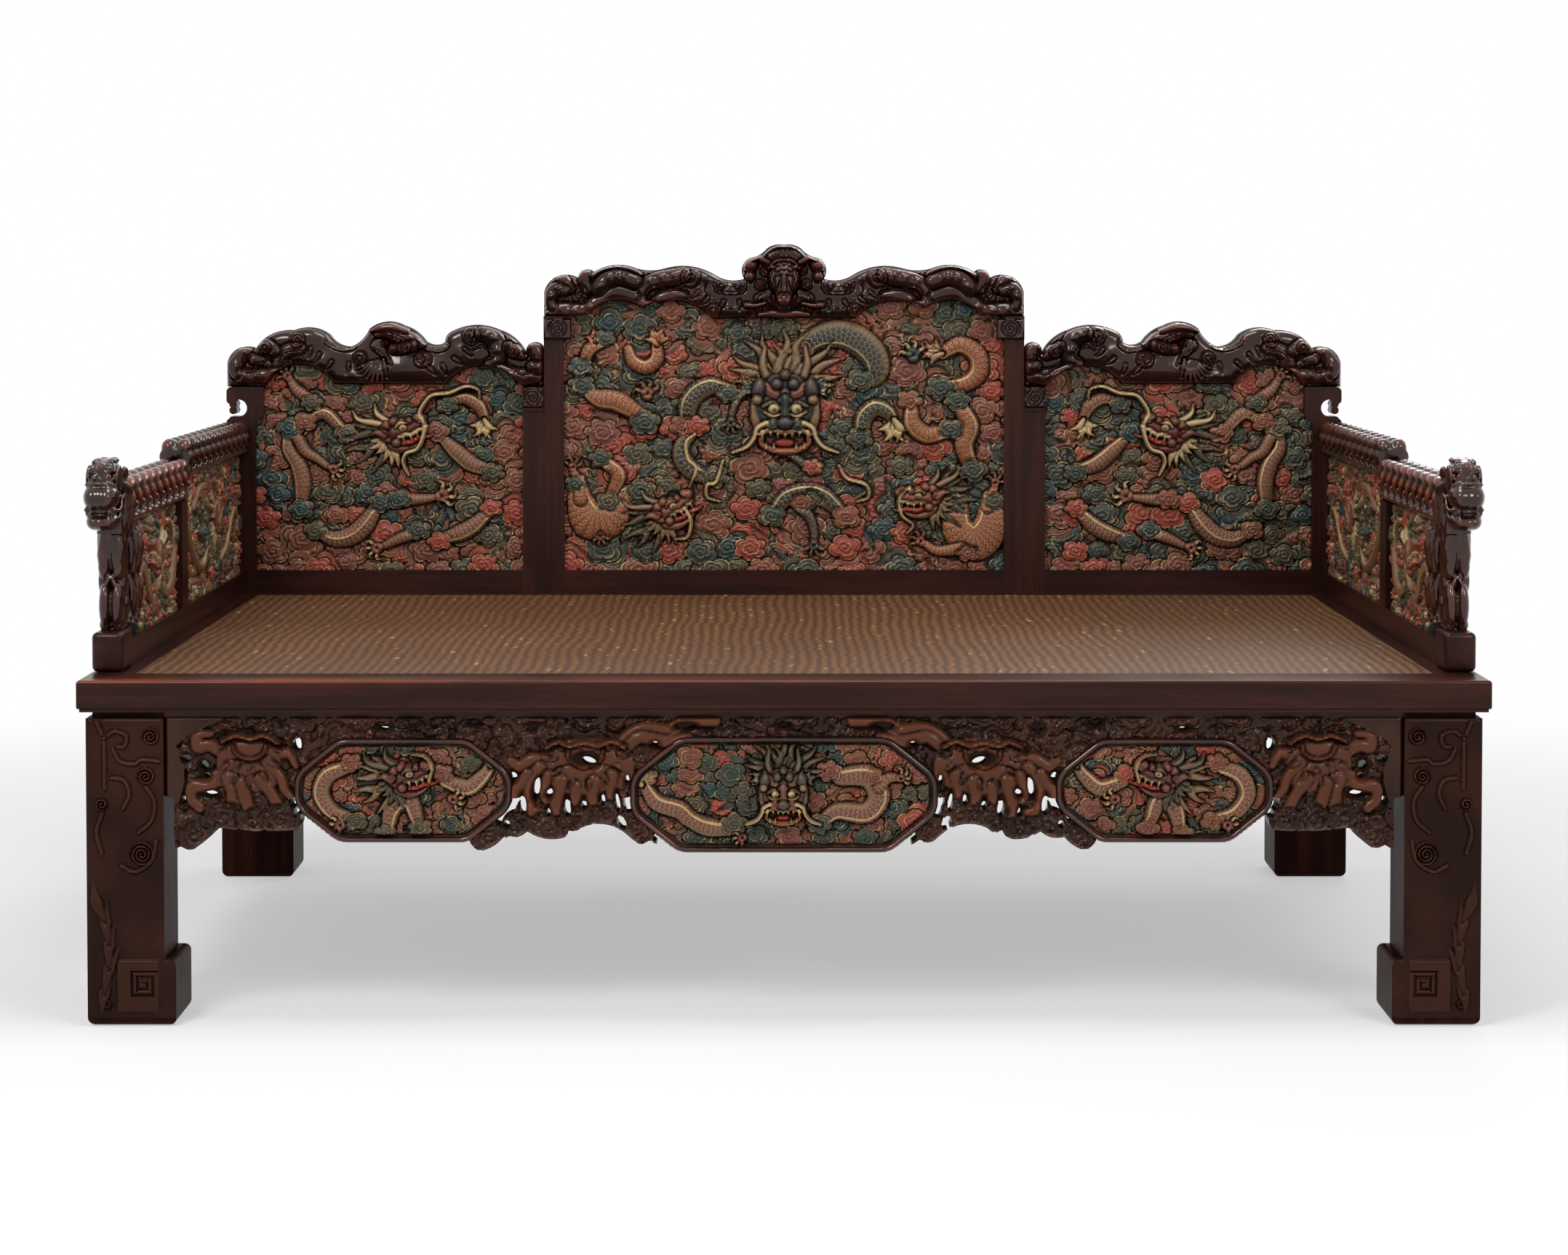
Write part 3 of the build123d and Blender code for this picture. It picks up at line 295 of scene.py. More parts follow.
@dataclass(frozen=True)
class Lacquer:
    """Old matt polychrome lacquer on carving: rubbed on its ridges and lightened there as a painted
    highlight, darkened with grime and painted shade in its hollows and in the cuts between scales, and gilt
    on its lines.
    """

    name: str
    gilt: Colour = (0.46, 0.33, 0.15)
    # Colour of the grime and painted shade in hollows and cuts.
    grime_and_shade: Colour = (0.014, 0.009, 0.007)

    def build(self) -> bpy.types.Material:
        """Make the material.

        Returns:
            The finished material.
        """
        sheet = NodeSheet(self.name)
        paint = sheet.attribute("paint", "Color")
        swell = sheet.attribute("swell")
        gilding = sheet.attribute("gilding")
        mottle = sheet.noise(55.0, 5.0)
        scaly, cut, tip = self.skin(sheet)
        colour = sheet.mix(sheet.spread(mottle, 0.35, 0.75) * 0.22, paint, (0.055, 0.030, 0.018))
        # Gilt tips of the scales, lightened as a painted highlight as well.
        colour = sheet.mix(tip * scaly * 0.42, colour, self.gilt)
        # Cuts between scales painted dark: grime and painted shade.
        colour = sheet.mix(cut * scaly * 0.85, colour, self.grime_and_shade)
        flaked = sheet.spread(mottle + gilding, 0.80, 1.22)
        colour = sheet.mix(flaked * 0.70, colour, self.gilt)
        # Hollows painted dark: grime and painted shade.
        low = 1.0 - sheet.spread(swell, 0.14, 0.50)
        colour = sheet.mix((low * 0.9).clamp(), colour, self.grime_and_shade)
        # Ridges lightened: rubbed lacquer and a painted highlight.
        high = sheet.spread(swell + mottle * 0.25, 0.72, 1.05)
        colour = sheet.mix((high * 0.15).clamp(), colour, (0.34, 0.19, 0.10))
        sheet.feed("Base Color", colour)
        sheet.feed("Roughness", (0.50 - high * 0.14 + low * 0.25).clamp())
        sheet.feed("Specular IOR Level", 0.34)
        sheet.feed("Metallic", (flaked * 0.35).clamp())
        sheet.bump(sheet.noise(230.0, 4.0) * 0.2 - cut * scaly, 0.55, 0.0013)
        return sheet.material

    def skin(self, sheet: "NodeSheet") -> tuple:
        """Overlapping scales along a body.

        Args:
            sheet: the sheet that the nodes are added to.

        Returns:
            The scaly share, the cut between scales, which is painted dark as shade, and the gilt tip of each
            scale, which is lightened as a painted highlight.
        """
        along, across = sheet.attribute("scale_along"), sheet.attribute("scale_across")
        row = sheet.node("ShaderNodeMath", {"operation": "FLOOR"}, {0: along})
        up = along - row
        odd = sheet.node("ShaderNodeMath", {"operation": "MODULO"}, {0: row, 1: 2.0})
        side = sheet.node("ShaderNodeMath", {"operation": "FRACT"}, {0: across + odd * 0.5 + 0.5}) - 0.5
        arc = up - (0.85 - side * side * 2.2)
        size = sheet.node("ShaderNodeMath", {"operation": "ABSOLUTE"}, {0: arc})
        cut = 1.0 - sheet.spread(size, 0.04, 0.17)
        tip = sheet.spread(arc + 0.50, 0.0, 0.34) * (1.0 - sheet.spread(arc, -0.10, 0.02))
        return sheet.attribute("scaly"), cut, tip


@dataclass(frozen=True)
class Matting:
    """Brown woven seat matting: fine wavy cords from front to back, with pale specks."""

    name: str
    dark: Colour = (0.052, 0.021, 0.009)
    light: Colour = (0.185, 0.082, 0.031)
    speck: Colour = (0.36, 0.24, 0.11)
    cord_width: float = 0.0062

    def build(self) -> bpy.types.Material:
        """Make the material.

        Returns:
            The finished material.
        """
        sheet = NodeSheet(self.name)
        drift = sheet.noise(4.5, 3.0, (1.0, 0.55, 1.0))
        along = sheet.place("Y")
        sway = drift * 0.055 + sheet.node("ShaderNodeMath", {"operation": "SINE"}, {0: along * 95.0}) * 0.0011
        across = (sheet.place("X") + sway) * (math.tau / self.cord_width / 2.6)
        cord = sheet.node("ShaderNodeMath", {"operation": "SINE"}, {0: across}) * 0.5 + 0.5
        weft = sheet.node("ShaderNodeMath", {"operation": "SINE"}, {0: along * 620.0}) * 0.5 + 0.5
        wear = sheet.spread(sheet.noise(2.0, 4.0), 0.3, 0.75)
        colour = sheet.mix((cord * 0.75 + weft * 0.25) * (0.55 + wear * 0.45), self.dark, self.light)
        spots = sheet.spread(sheet.noise(75.0, 2.0, (1.0, 0.35, 1.0)), 0.665, 0.71)
        colour = sheet.mix(spots * cord * 0.8, colour, self.speck)
        sheet.feed("Base Color", colour)
        sheet.feed("Roughness", 0.50 + weft * 0.12)
        sheet.feed("Specular IOR Level", 0.24)
        sheet.bump(cord * 0.8 + weft * 0.3, 0.55, 0.0016)
        return sheet.material


@dataclass(frozen=True)
class StudioFloor:
    """Pale floor that stays white to the camera but keeps the shadow."""

    name: str
    colour: Colour = (0.86, 0.86, 0.86)
    lift: float = 0.45
    fade: tuple = (1.6, 3.2)

    def build(self) -> bpy.types.Material:
        """Make the material.

        Returns:
            The finished material.
        """
        sheet = NodeSheet(self.name)
        sheet.feed("Base Color", (*self.colour, 1.0))
        sheet.feed("Roughness", 0.9)
        sheet.feed("Specular IOR Level", 0.1)
        far = sheet.node("ShaderNodeVectorMath", {"operation": "LENGTH"},
                         {0: sheet.node("ShaderNodeTexCoord", {}, {}, "Object")}, "Value")
        seen = seen_by_eye(sheet)
        white = sheet.node("ShaderNodeEmission", {}, {"Color": (1.0, 1.0, 1.0, 1.0), "Strength": 1.0})
        share = seen * (self.lift + sheet.spread(far, self.fade[0], self.fade[1]) * (1.0 - self.lift))
        shader = Socket(sheet, sheet.shader.outputs[0])
        mixed = sheet.node("ShaderNodeMixShader", {}, {0: share, 1: shader, 2: white})
        sheet.tree.links.new(mixed.socket, sheet.tree.nodes["Material Output"].inputs[0])
        return sheet.material


def seen_by_eye(sheet: "NodeSheet") -> Socket:
    """One for rays that the eye or a reflection sees, nought for those that light things.

    Args:
        sheet: the sheet that the nodes are added to.

    Returns:
        The wrapped socket.
    """
    rays = [sheet.node("ShaderNodeLightPath", {}, {}, name)
            for name in ("Is Camera Ray", "Is Glossy Ray", "Is Transmission Ray")]
    return (rays[0] + rays[1] + rays[2]).clamp()


# --------------------------------------------------------------- carving: shapes
def smooth(value: Grid) -> Grid:
    """Ease a value from 0 to 1."""
    value = np.clip(value, 0.0, 1.0)
    return value * value * (3.0 - 2.0 * value)


def blur(values: Grid, reach: int) -> Grid:
    """Average each value with its neighbours, several times over.

    Args:
        values: the grid.
        reach: number of passes.

    Returns:
        The smoothed grid.
    """
    out = values.copy()
    for _ in range(reach):
        pad = np.pad(out, 1, mode="edge")
        out = (pad[1:-1, 1:-1] * 2 + pad[:-2, 1:-1] + pad[2:, 1:-1] + pad[1:-1, :-2] + pad[1:-1, 2:]) / 6
    return out


def curve(points: list[Point], step: float = 1.5) -> Grid:
    """Sample a smooth curve through points.

    Args:
        points: points in millimetres.
        step: distance between samples.

    Returns:
        An array of points.
    """
    p = np.array(points, float)
    p = np.vstack([2 * p[0] - p[1], p, 2 * p[-1] - p[-2]])
    out = []
    for a, b, c, d in zip(p, p[1:], p[2:], p[3:]):
        count = max(2, int(np.linalg.norm(c - b) / step))
        t = np.linspace(0, 1, count, endpoint=False)[:, None]
        out.append(0.5 * (2 * b + (c - a) * t + (2 * a - 5 * b + 4 * c - d) * t**2
                          + (3 * b - a - 3 * c + d) * t**3))
    return np.vstack([*out, p[-2][None]])


class Silhouette:
    """The outline of the flat face of a CAD node, seen along one axis."""

    def __init__(self, node: str, axis: int, high: bool, place: float | None = None) -> None:
        """Read the boundary of a node's flat face.

        Args:
            node: name of the CAD node.
            axis: axis that the face looks along, 0 for X and 1 for Y.
            high: whether it is the face with the highest coordinate.
            place: its coordinate in millimetres, where it is neither the highest nor the lowest.
        """
        mesh = frame["nodes"][node].data
        points = np.array([v.co for v in mesh.vertices]) / MM
        faces = np.array([tuple(p.vertices) for p in mesh.polygons])
        flat = points[:, axis].max() if high else points[:, axis].min()
        flat = flat if place is None else place
        on_face = np.all(abs(points[faces][:, :, axis] - flat) < 0.05, axis=1)
        across = 1 if axis == 0 else 0
        keys, index = np.unique(np.round(points[:, [across, 2]], 2), axis=0, return_inverse=True)
        index = index.reshape(-1)
        faces = index[faces[on_face]]
        edges = np.vstack([faces[:, [0, 1]], faces[:, [1, 2]], faces[:, [2, 0]]])
        edges.sort(axis=1)
        pairs, counts = np.unique(edges, axis=0, return_counts=True)
        self.segments = keys[pairs[counts == 1]]
        self.low = self.segments.min((0, 1))
        self.high = self.segments.max((0, 1))
        self.flat = flat

    def depth(self, x: Grid, z: Grid) -> Grid:
        """Distance inside the outline.

        Args:
            x: places across.
            z: places up.

        Returns:
            Millimetres inside the outline, negative outside it.
        """
        nearest = np.full(x.shape, 1e9)
        inside = np.zeros(x.shape, bool)
        for (ax, az), (bx, bz) in self.segments:
            dx, dz = bx - ax, bz - az
            t = np.clip(((x - ax) * dx + (z - az) * dz) / (dx * dx + dz * dz + 1e-9), 0, 1)
            nearest = np.minimum(nearest, (x - ax - t * dx) ** 2 + (z - az - t * dz) ** 2)
            if dz:
                crosses = (az > z) != (bz > z)
                inside ^= crosses & (x < ax + (z - az) * dx / dz)
        return np.where(inside, 1.0, -1.0) * np.sqrt(nearest)


# --------------------------------------------------------------- carving: relief
class Relief:
    """A carved face: its height, paint and gilding over a grid in millimetres."""

    def __init__(self, low: Point, high: Point, step: float, ground: float = 0.0,
                 paint: Colour = (0.08, 0.04, 0.03)) -> None:
        """Lay out a flat ground.

        Args:
            low: lowest corner of the face.
            high: highest corner of the face.
            step: distance between grid points.
            ground: height of the ground.
            paint: colour of the ground.
        """
        self.step = step
        across = np.linspace(low[0], high[0], int(round((high[0] - low[0]) / step)) + 1)
        up = np.linspace(low[1], high[1], int(round((high[1] - low[1]) / step)) + 1)
        self.x, self.z = np.meshgrid(across, up)
        self.low, self.high = low, high
        self.level = np.full(self.x.shape, float(ground))
        self.paint = np.empty((*self.x.shape, 3))
        self.paint[:] = paint
        self.gilding = np.zeros(self.x.shape)
        self.hole = np.full(self.x.shape, 1e3)
        self.coat = np.zeros((*self.x.shape, 3))

    def window(self, x: float, z: float, reach: float) -> tuple[slice, slice]:
        """Part of the grid around a point."""
        rows = (z - reach - self.low[1]) / self.step, (z + reach - self.low[1]) / self.step
        cols = (x - reach - self.low[0]) / self.step, (x + reach - self.low[0]) / self.step
        tall, wide = self.x.shape
        return (slice(min(tall, max(0, int(rows[0]))), max(0, min(tall, int(rows[1]) + 2))),
                slice(min(wide, max(0, int(cols[0]))), max(0, min(wide, int(cols[1]) + 2))))

    def lay(self, part: tuple, inside: Grid, top: Grid, paint: Any = None,
            gilding: Grid | float = 0.0, crease: float = 3.0, coat: tuple | None = None) -> None:
        """Lay a carved form over what is there, with a crease cut round it.

        Args:
            part: the window that the other arguments cover.
            inside: millimetres inside the form.
            top: height of the form.
            paint: its colour, or None to keep the colour below.
            gilding: its gilt share.
            crease: depth of the crease.
            coat: places along and across in scales, where it is scaly.
        """
        level = self.level[part]
        ring = smooth(1.0 - abs(inside + 1.2) / 2.4) * crease
        level = np.where(inside < 0.6, level - ring, level)
        cover = np.clip(inside / self.step + 0.5, 0.0, 1.0)
        self.level[part] = level * (1 - cover) + top * cover
        if paint is not None:
            colours = np.broadcast_to(np.asarray(paint, float), (*cover.shape, 3))
            self.paint[part] = self.paint[part] * (1 - cover[..., None]) + colours * cover[..., None]
        self.gilding[part] = self.gilding[part] * (1 - cover) + gilding * cover
        skin = self.coat[part]
        skin[..., 2] *= 1 - cover
        if coat is not None:
            near = inside > -self.step
            skin[..., 0] = np.where(near, coat[0], skin[..., 0])
            skin[..., 1] = np.where(near, coat[1], skin[..., 1])
            skin[..., 2] += cover * coat[2]

    def blob(self, x: float, z: float, wide: float, tall: float, base: float, rise: float,
             paint: Any = None, turn: float = 0.0, square: float = 2.0, gilding: float = 0.0,
             crease: float = 3.0) -> None:
        """Lay a dome with an oval outline.

        Args:
            x: middle across.
            z: middle up.
            wide: half its width.
            tall: half its height.
            base: height of its foot.
            rise: height of the dome over its foot.
            paint: colour.
            turn: degrees that it is turned anticlockwise.
            square: 2 for an oval, more for a boxier outline.
            gilding: gilt share.
            crease: depth of the crease round it.
        """
        part = self.window(x, z, max(wide, tall) * 1.3 + 4)
        if not self.x[part].size:
            return
        turn = math.radians(turn)
        dx, dz = self.x[part] - x, self.z[part] - z
        u = (dx * math.cos(turn) + dz * math.sin(turn)) / wide
        v = (dz * math.cos(turn) - dx * math.sin(turn)) / tall
        r = (abs(u) ** square + abs(v) ** square) ** (1 / square)
        dome = np.sqrt(np.clip(1 - r * r, 0, 1))
        self.lay(part, (1 - r) * min(wide, tall), base + rise * dome, paint, gilding, crease)

    def scroll(self, x: float, z: float, radius: float, base: float, rise: float,
               paint: Any = None, hand: int = 1, angle: float = 0.0, lobes: int = 5,
               groove: float = 2.2, gilt: float = 0.8, wobble: float = 0.17) -> None:
        """Lay a cloud scroll: a spiral eye inside lobed rings.

        Args:
            x: middle across.
            z: middle up.
            radius: radius of the cloud.
            base: height of its rim.
            rise: height of its eye over the rim.
            paint: colour.
            hand: 1 or -1, the way that the spiral turns.
            angle: direction of the first lobe in radians.
            lobes: number of lobes.
            groove: depth of the lines cut in it.
            gilt: gilt share on the ridges.
            wobble: how far the lobes stand out.
        """
        part = self.window(x, z, radius * 1.3 + 4)
        if not self.x[part].size:
            return
        dx, dz = (self.x[part] - x) * 0.88, (self.z[part] - z) * 1.12
        r, a = np.hypot(dx, dz), np.arctan2(dz, dx) - angle
        lobe = abs(np.cos(a * lobes / 2))
        rim = radius * (1 - wobble + 2 * wobble * lobe**0.7)
        pitch = max(radius / 3.0, 3.2 * self.step)
        share = np.clip(r / rim, 0, 1.5)
        phase = share * radius / pitch - hand * a / math.tau * (1 - smooth((share - 0.62) / 0.25))
        wave = np.cos(math.tau * (phase - radius / pitch + 0.10))
        dome = np.sqrt(np.clip(1 - share**2, 0, 1))
        ridge = smooth(wave * 0.5 + 0.5) ** 2
        bead = smooth((0.12 - share) / 0.05)
        top = base + rise * dome - groove * (1 - ridge) * (share < 1.05) + 1.6 * bead
        self.lay(part, rim - r, top, paint, gilt * np.maximum(ridge**3 * (0.35 + 0.65 * share), 0.35 * bead))

    def stroke(self, points: list[Point], widths: list[float], base: float, rise: float,
               paint: Any = None, dress: Callable | None = None, gilding: float = 0.0,
               crease: float = 3.0) -> None:
        """Lay a tapered rounded body along a curve.

        Args:
            points: points that the curve passes through.
            widths: half widths, spread evenly along the curve.
            base: height of its edges.
            rise: height of its middle over the edges where it is widest.
            paint: colour.
            dress: function of (along, across share, half width) that gives a height and
                gilding to add and optionally a colour.
            gilding: gilt share.
            crease: depth of the crease round it.
        """
        path = curve(points, max(1.0, self.step * 0.7))
        run = np.concatenate([[0], np.cumsum(np.hypot(*np.diff(path, axis=0).T))])
        share = run / run[-1]
        half = np.interp(share, np.linspace(0, 1, len(widths)), widths)
        slope = np.gradient(path, axis=0)
        slope /= np.hypot(*slope.T)[:, None] + 1e-9
        reach = max(widths) + 4
        middle, span = (path.min(0) + path.max(0)) / 2, (path.max(0) - path.min(0)).max() / 2
        part = self.window(middle[0], middle[1], span + reach)
        gx, gz = self.x[part], self.z[part]
        if not gx.size:
            return
        best = np.full(gx.shape, 1e9)
        along, side, wide = (np.zeros(gx.shape) for _ in range(3))
        tall, across = gx.shape
        for (px, pz), (tx, tz), u, w in zip(path, slope, run, half):
            r0 = int((pz - reach - gz[0, 0]) / self.step)
            c0 = int((px - reach - gx[0, 0]) / self.step)
            size = int(2 * reach / self.step) + 2
            cut = (slice(max(0, r0), max(0, min(tall, r0 + size))),
                   slice(max(0, c0), max(0, min(across, c0 + size))))
            dx, dz = gx[cut] - px, gz[cut] - pz
            d = dx * dx + dz * dz
            near = d < best[cut]
            best[cut] = np.where(near, d, best[cut])
            along[cut] = np.where(near, u + dx * tx + dz * tz, along[cut])
            side[cut] = np.where(near, dz * tx - dx * tz, side[cut])
            wide[cut] = np.where(near, w, wide[cut])
        wide = np.maximum(wide, 0.01)
        t = np.sqrt(best) / wide
        dome = np.sqrt(np.clip(1 - t * t, 0, 1))
        top = base + rise * dome * wide / max(widths)
        colours, coat = paint, None
        gilt = np.full(t.shape, gilding)
        if dress is not None:
            extra, more, tint, coat = dress(along, side / wide, wide)
            top = top + extra
            gilt = np.clip(gilt + more, 0, 1)
            if tint is not None and paint is not None:
                shade, other = tint
                colours = np.asarray(paint) * (1 - shade[..., None]) + np.asarray(other) * shade[..., None]
        inside = np.where(best < 1e8, wide - np.sqrt(best), -50.0)
        self.lay(part, inside, top, colours, gilt, crease, coat)

    def swell(self) -> Grid:
        """How far each point stands out of its surroundings, about 0.5 on a flat."""
        near = self.level - blur(self.level, 6)
        far = self.level - blur(self.level, max(8, int(SURROUNDINGS / self.step)))
        return np.clip(0.5 + np.where(near > 0, 0.09, 0.16) * near + far * 0.05, 0, 1)


class Look(Enum):
    """The way that a carved face looks: its axis and direction."""

    FRONT = (1, -1)
    RIGHT = (0, 1)
    LEFT = (0, -1)


@dataclass(frozen=True)
class Board:
    """Where a carved board stands: its face and its flat back, in millimetres."""

    look: Look
    face: float
    back: float

    def place(self, x: Grid, z: Grid, level: Grid) -> Grid:
        """Points in metres for places across, up and out of the face."""
        axis, way = self.look.value
        out = np.empty((x.size, 3))
        out[:, 1 - axis] = x.ravel()
        out[:, 2] = z.ravel()
        out[:, axis] = (self.face + way * level).ravel()
        return out * MM


def give_attributes(mesh: bpy.types.Mesh, swell: Grid, gilding: Grid, paint: Grid, coat: Grid) -> None:
    """Store what the finishes read on the points of a mesh.

    Args:
        mesh: the mesh.
        swell: how far each point stands out.
        gilding: its gilt share.
        paint: its colour.
        coat: places in scales along and across, and the scaly share.
    """
    named = (("swell", swell), ("gilding", gilding), ("scale_along", coat[:, 0]),
             ("scale_across", coat[:, 1]), ("scaly", coat[:, 2]))
    for name, values in named:
        mesh.attributes.new(name, "FLOAT", "POINT").data.foreach_set("value", values.astype(np.float32))
    colours = np.hstack([paint, np.ones((len(paint), 1))]).astype(np.float32)
    mesh.attributes.new("paint", "FLOAT_COLOR", "POINT").data.foreach_set("color", colours.ravel())


def close_back(mesh: bpy.types.Mesh, axis: int, way: int) -> None:
    """Close the flat back of a pierced board.

    Args:
        mesh: the open mesh.
        axis: axis that the back looks along.
        way: 1 or -1, the way that it looks.
    """
    shape = bmesh.new()
    shape.from_mesh(mesh)
    edges = [edge for edge in shape.edges if len(edge.link_faces) == 1]
    made = bmesh.ops.triangle_fill(shape, use_beauty=True, use_dissolve=False, edges=edges)["geom"]
    faces = [face for face in made if isinstance(face, bmesh.types.BMFace)]
    for face in faces:
        face.normal_update()
        if face.normal[axis] * way < 0:
            face.normal_flip()
    shape.to_mesh(mesh)
    shape.free()


def carve(name: str, relief: Relief, board: Board, finish: bpy.types.Material,
          depth: Grid | None = None) -> bpy.types.Object:
    """Turn a relief into a closed carved board.

    Args:
        name: name of the piece.
        relief: the carved face.
        board: where it stands.
        finish: its material.
        depth: millimetres inside its outline; None keeps the whole rectangle.

    Returns:
        The finished object.
    """
    tall, wide = relief.x.shape
    x, z = relief.x.copy(), relief.z.copy()
    keep = np.ones((tall - 1, wide - 1), bool)
    inside = relief.hole if depth is None else np.minimum(depth, relief.hole)
    if depth is not None or relief.hole.min() < 0:
        keep = (inside[:-1, :-1] + inside[1:, :-1] + inside[:-1, 1:] + inside[1:, 1:]) > 0
        slope_z, slope_x = np.gradient(inside, relief.step)
        size = np.maximum(np.hypot(slope_x, slope_z), 0.5)
    number = np.arange(tall * wide).reshape(tall, wide)
    quads = np.stack([number[:-1, :-1], number[:-1, 1:], number[1:, 1:], number[1:, :-1]], -1)[keep]
    axis, way = board.look.value
    if (axis == 1) == (way == 1):
        quads = quads[:, ::-1]
    edges = np.vstack([quads[:, [0, 1]], quads[:, [1, 2]], quads[:, [2, 3]], quads[:, [3, 0]]])
    key = np.sort(edges, axis=1)
    key = key[:, 0] * tall * wide + key[:, 1]
    _, first, counts = np.unique(key, return_index=True, return_counts=True)
    border = edges[first[counts == 1]]
    rim = np.unique(border)
    if depth is not None or relief.hole.min() < 0:
        move, reach = np.zeros(tall * wide), 1.2 * relief.step
        move[rim] = np.clip(-inside.ravel()[rim], -reach, reach)
        x = x + (move * (slope_x / size**2).ravel()).reshape(x.shape)
        z = z + (move * (slope_z / size**2).ravel()).reshape(z.shape)
    front = board.place(x, z, relief.level)
    behind = board.place(x, z, np.full(x.shape, board.back))
    follows = dict(zip(border[:, 0].tolist(), border[:, 1].tolist()))
    loops, left = [], set(follows)
    simple = len(follows) == len(border)
    while left and simple:
        start = point = left.pop()
        loop = [start]
        while follows[point] != start:
            point = follows[point]
            left.discard(point)
            loop.append(point)
        loops.append(loop)
    shift = tall * wide
    walls = np.stack([border[:, 1], border[:, 0], border[:, 0] + shift, border[:, 1] + shift], -1)
    faces = quads.tolist() + walls.tolist()
    if simple and len(loops) == 1:
        faces.append([p + shift for p in reversed(loops[0])])
    points = np.vstack([front, behind])
    used = np.zeros(2 * shift, bool)
    for face in (quads, walls):
        used[face.ravel()] = True
    renumber = np.cumsum(used) - 1
    mesh = bpy.data.meshes.new(name)
    mesh.from_pydata(points[used].tolist(), [], [[int(renumber[p]) for p in face] for face in faces])
    if not (simple and len(loops) == 1):
        close_back(mesh, axis, -way)
    swell = np.concatenate([relief.swell().ravel(), np.full(shift, BACK_SWELL)])[used]
    gilding = np.concatenate([relief.gilding.ravel(), np.zeros(shift)])[used]
    paint = np.vstack([relief.paint.reshape(-1, 3), np.tile(Paint.BARE, (shift, 1))])[used]
    coat = np.vstack([relief.coat.reshape(-1, 3), np.zeros((shift, 3))])[used]
    give_attributes(mesh, swell, gilding, paint, coat)
    mesh.materials.append(finish)
    piece = bpy.data.objects.new(name, mesh)
    bpy.context.scene.collection.objects.link(piece)
    smooth_shade(piece, SHARP_CARVING)
    return piece


def settle(piece: bpy.types.Object, node: str) -> bpy.types.Object:
    """Put a piece in the place of its CAD node.

    Args:
        piece: the finished piece.
        node: the CAD node that it stands for.

    Returns:
        The same piece.
    """
    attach(piece, frame["nodes"][node]["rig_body"])
    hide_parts(node)
    return piece


def smooth_shade(piece: bpy.types.Object, degrees: float) -> None:
    """Shade a piece smooth, apart from edges sharper than an angle."""
    bpy.ops.object.select_all(action="DESELECT")
    piece.select_set(True)
    bpy.context.view_layer.objects.active = piece
    bpy.ops.object.shade_smooth_by_angle(angle=math.radians(degrees))


# --------------------------------------------------------------- carving: motifs
class Paint:
    """Colours of the old lacquer."""

    CORAL: Colour = (0.25, 0.043, 0.025)
    RED: Colour = (0.27, 0.021, 0.015)
    TERRACOTTA: Colour = (0.165, 0.050, 0.027)
    ROSE: Colour = (0.150, 0.045, 0.030)
    GREEN: Colour = (0.026, 0.036, 0.025)
    MOSS: Colour = (0.050, 0.043, 0.022)
    TEAL: Colour = (0.012, 0.036, 0.036)
    TAN: Colour = (0.17, 0.105, 0.050)
    CREAM: Colour = (0.42, 0.30, 0.15)
    ORANGE: Colour = (0.25, 0.070, 0.027)
    INK: Colour = (0.010, 0.016, 0.019)
    SLATE: Colour = (0.018, 0.025, 0.023)
    BROWN: Colour = (0.165, 0.056, 0.033)
    MAROON: Colour = (0.085, 0.016, 0.012)
    BEAD: Colour = (0.060, 0.020, 0.012)
    BARE: Colour = (0.024, 0.0075, 0.0055)


CLOUD_PAINTS = [Paint.CORAL, Paint.TERRACOTTA, Paint.GREEN, Paint.TERRACOTTA, Paint.MOSS, Paint.CORAL,
                Paint.GREEN, Paint.ROSE, Paint.MOSS, Paint.ROSE, Paint.TEAL, Paint.TERRACOTTA, Paint.GREEN]


def scales(pitch: float, ridge: float = 9.0, belly: Colour | None = None) -> Callable:
    """Dress a body in overlapping scales, with a beaded gilt ridge.

    Args:
        pitch: length of a scale.
        ridge: where the ridge runs, as a share of the half width; 9 leaves it out.
        belly: colour of the banded belly on the other side, or None.

    Returns:
        A dress function for Relief.stroke.
    """
    def dress(along: Grid, side: Grid, half: Grid) -> tuple:
        """Heights, gilding and tint of the scales."""
        line = np.exp(-(((side - ridge) * half / 1.9) ** 2))
        beading = 0.75 + 0.25 * np.cos(math.tau * along / 4.2)
        extra = 2.2 * line * beading
        shown, tint = 1 - line, None
        if belly is not None:
            under = smooth((-side * np.sign(ridge) - 0.45) / 0.15)
            bands = 0.5 + 0.5 * np.cos(math.tau * along / 7.0)
            extra = extra * (1 - under) - 1.2 * under * bands**3
            tint = (under * 0.8, belly)
            shown = shown * (1 - under)
        return extra, line * 1.1, tint, (along / pitch + 50, side * half / pitch + 50, shown)
    return dress


def strands(count: float = 3.0, depth: float = 1.4, gilt: float = 0.25) -> Callable:
    """Dress a body in lengthwise strands, as of hair.

    Args:
        count: number of strands across half the width.
        depth: depth of the lines between them.
        gilt: gilt share on the strands.

    Returns:
        A dress function for Relief.stroke.
    """
    def dress(along: Grid, side: Grid, half: Grid) -> tuple:
        """Heights, gilding and tint of the strands."""
        wave = 0.5 + 0.5 * np.cos(math.tau * side * count)
        return -depth * (1 - wave) * (half > 1.5), gilt * wave, None, None
    return dress


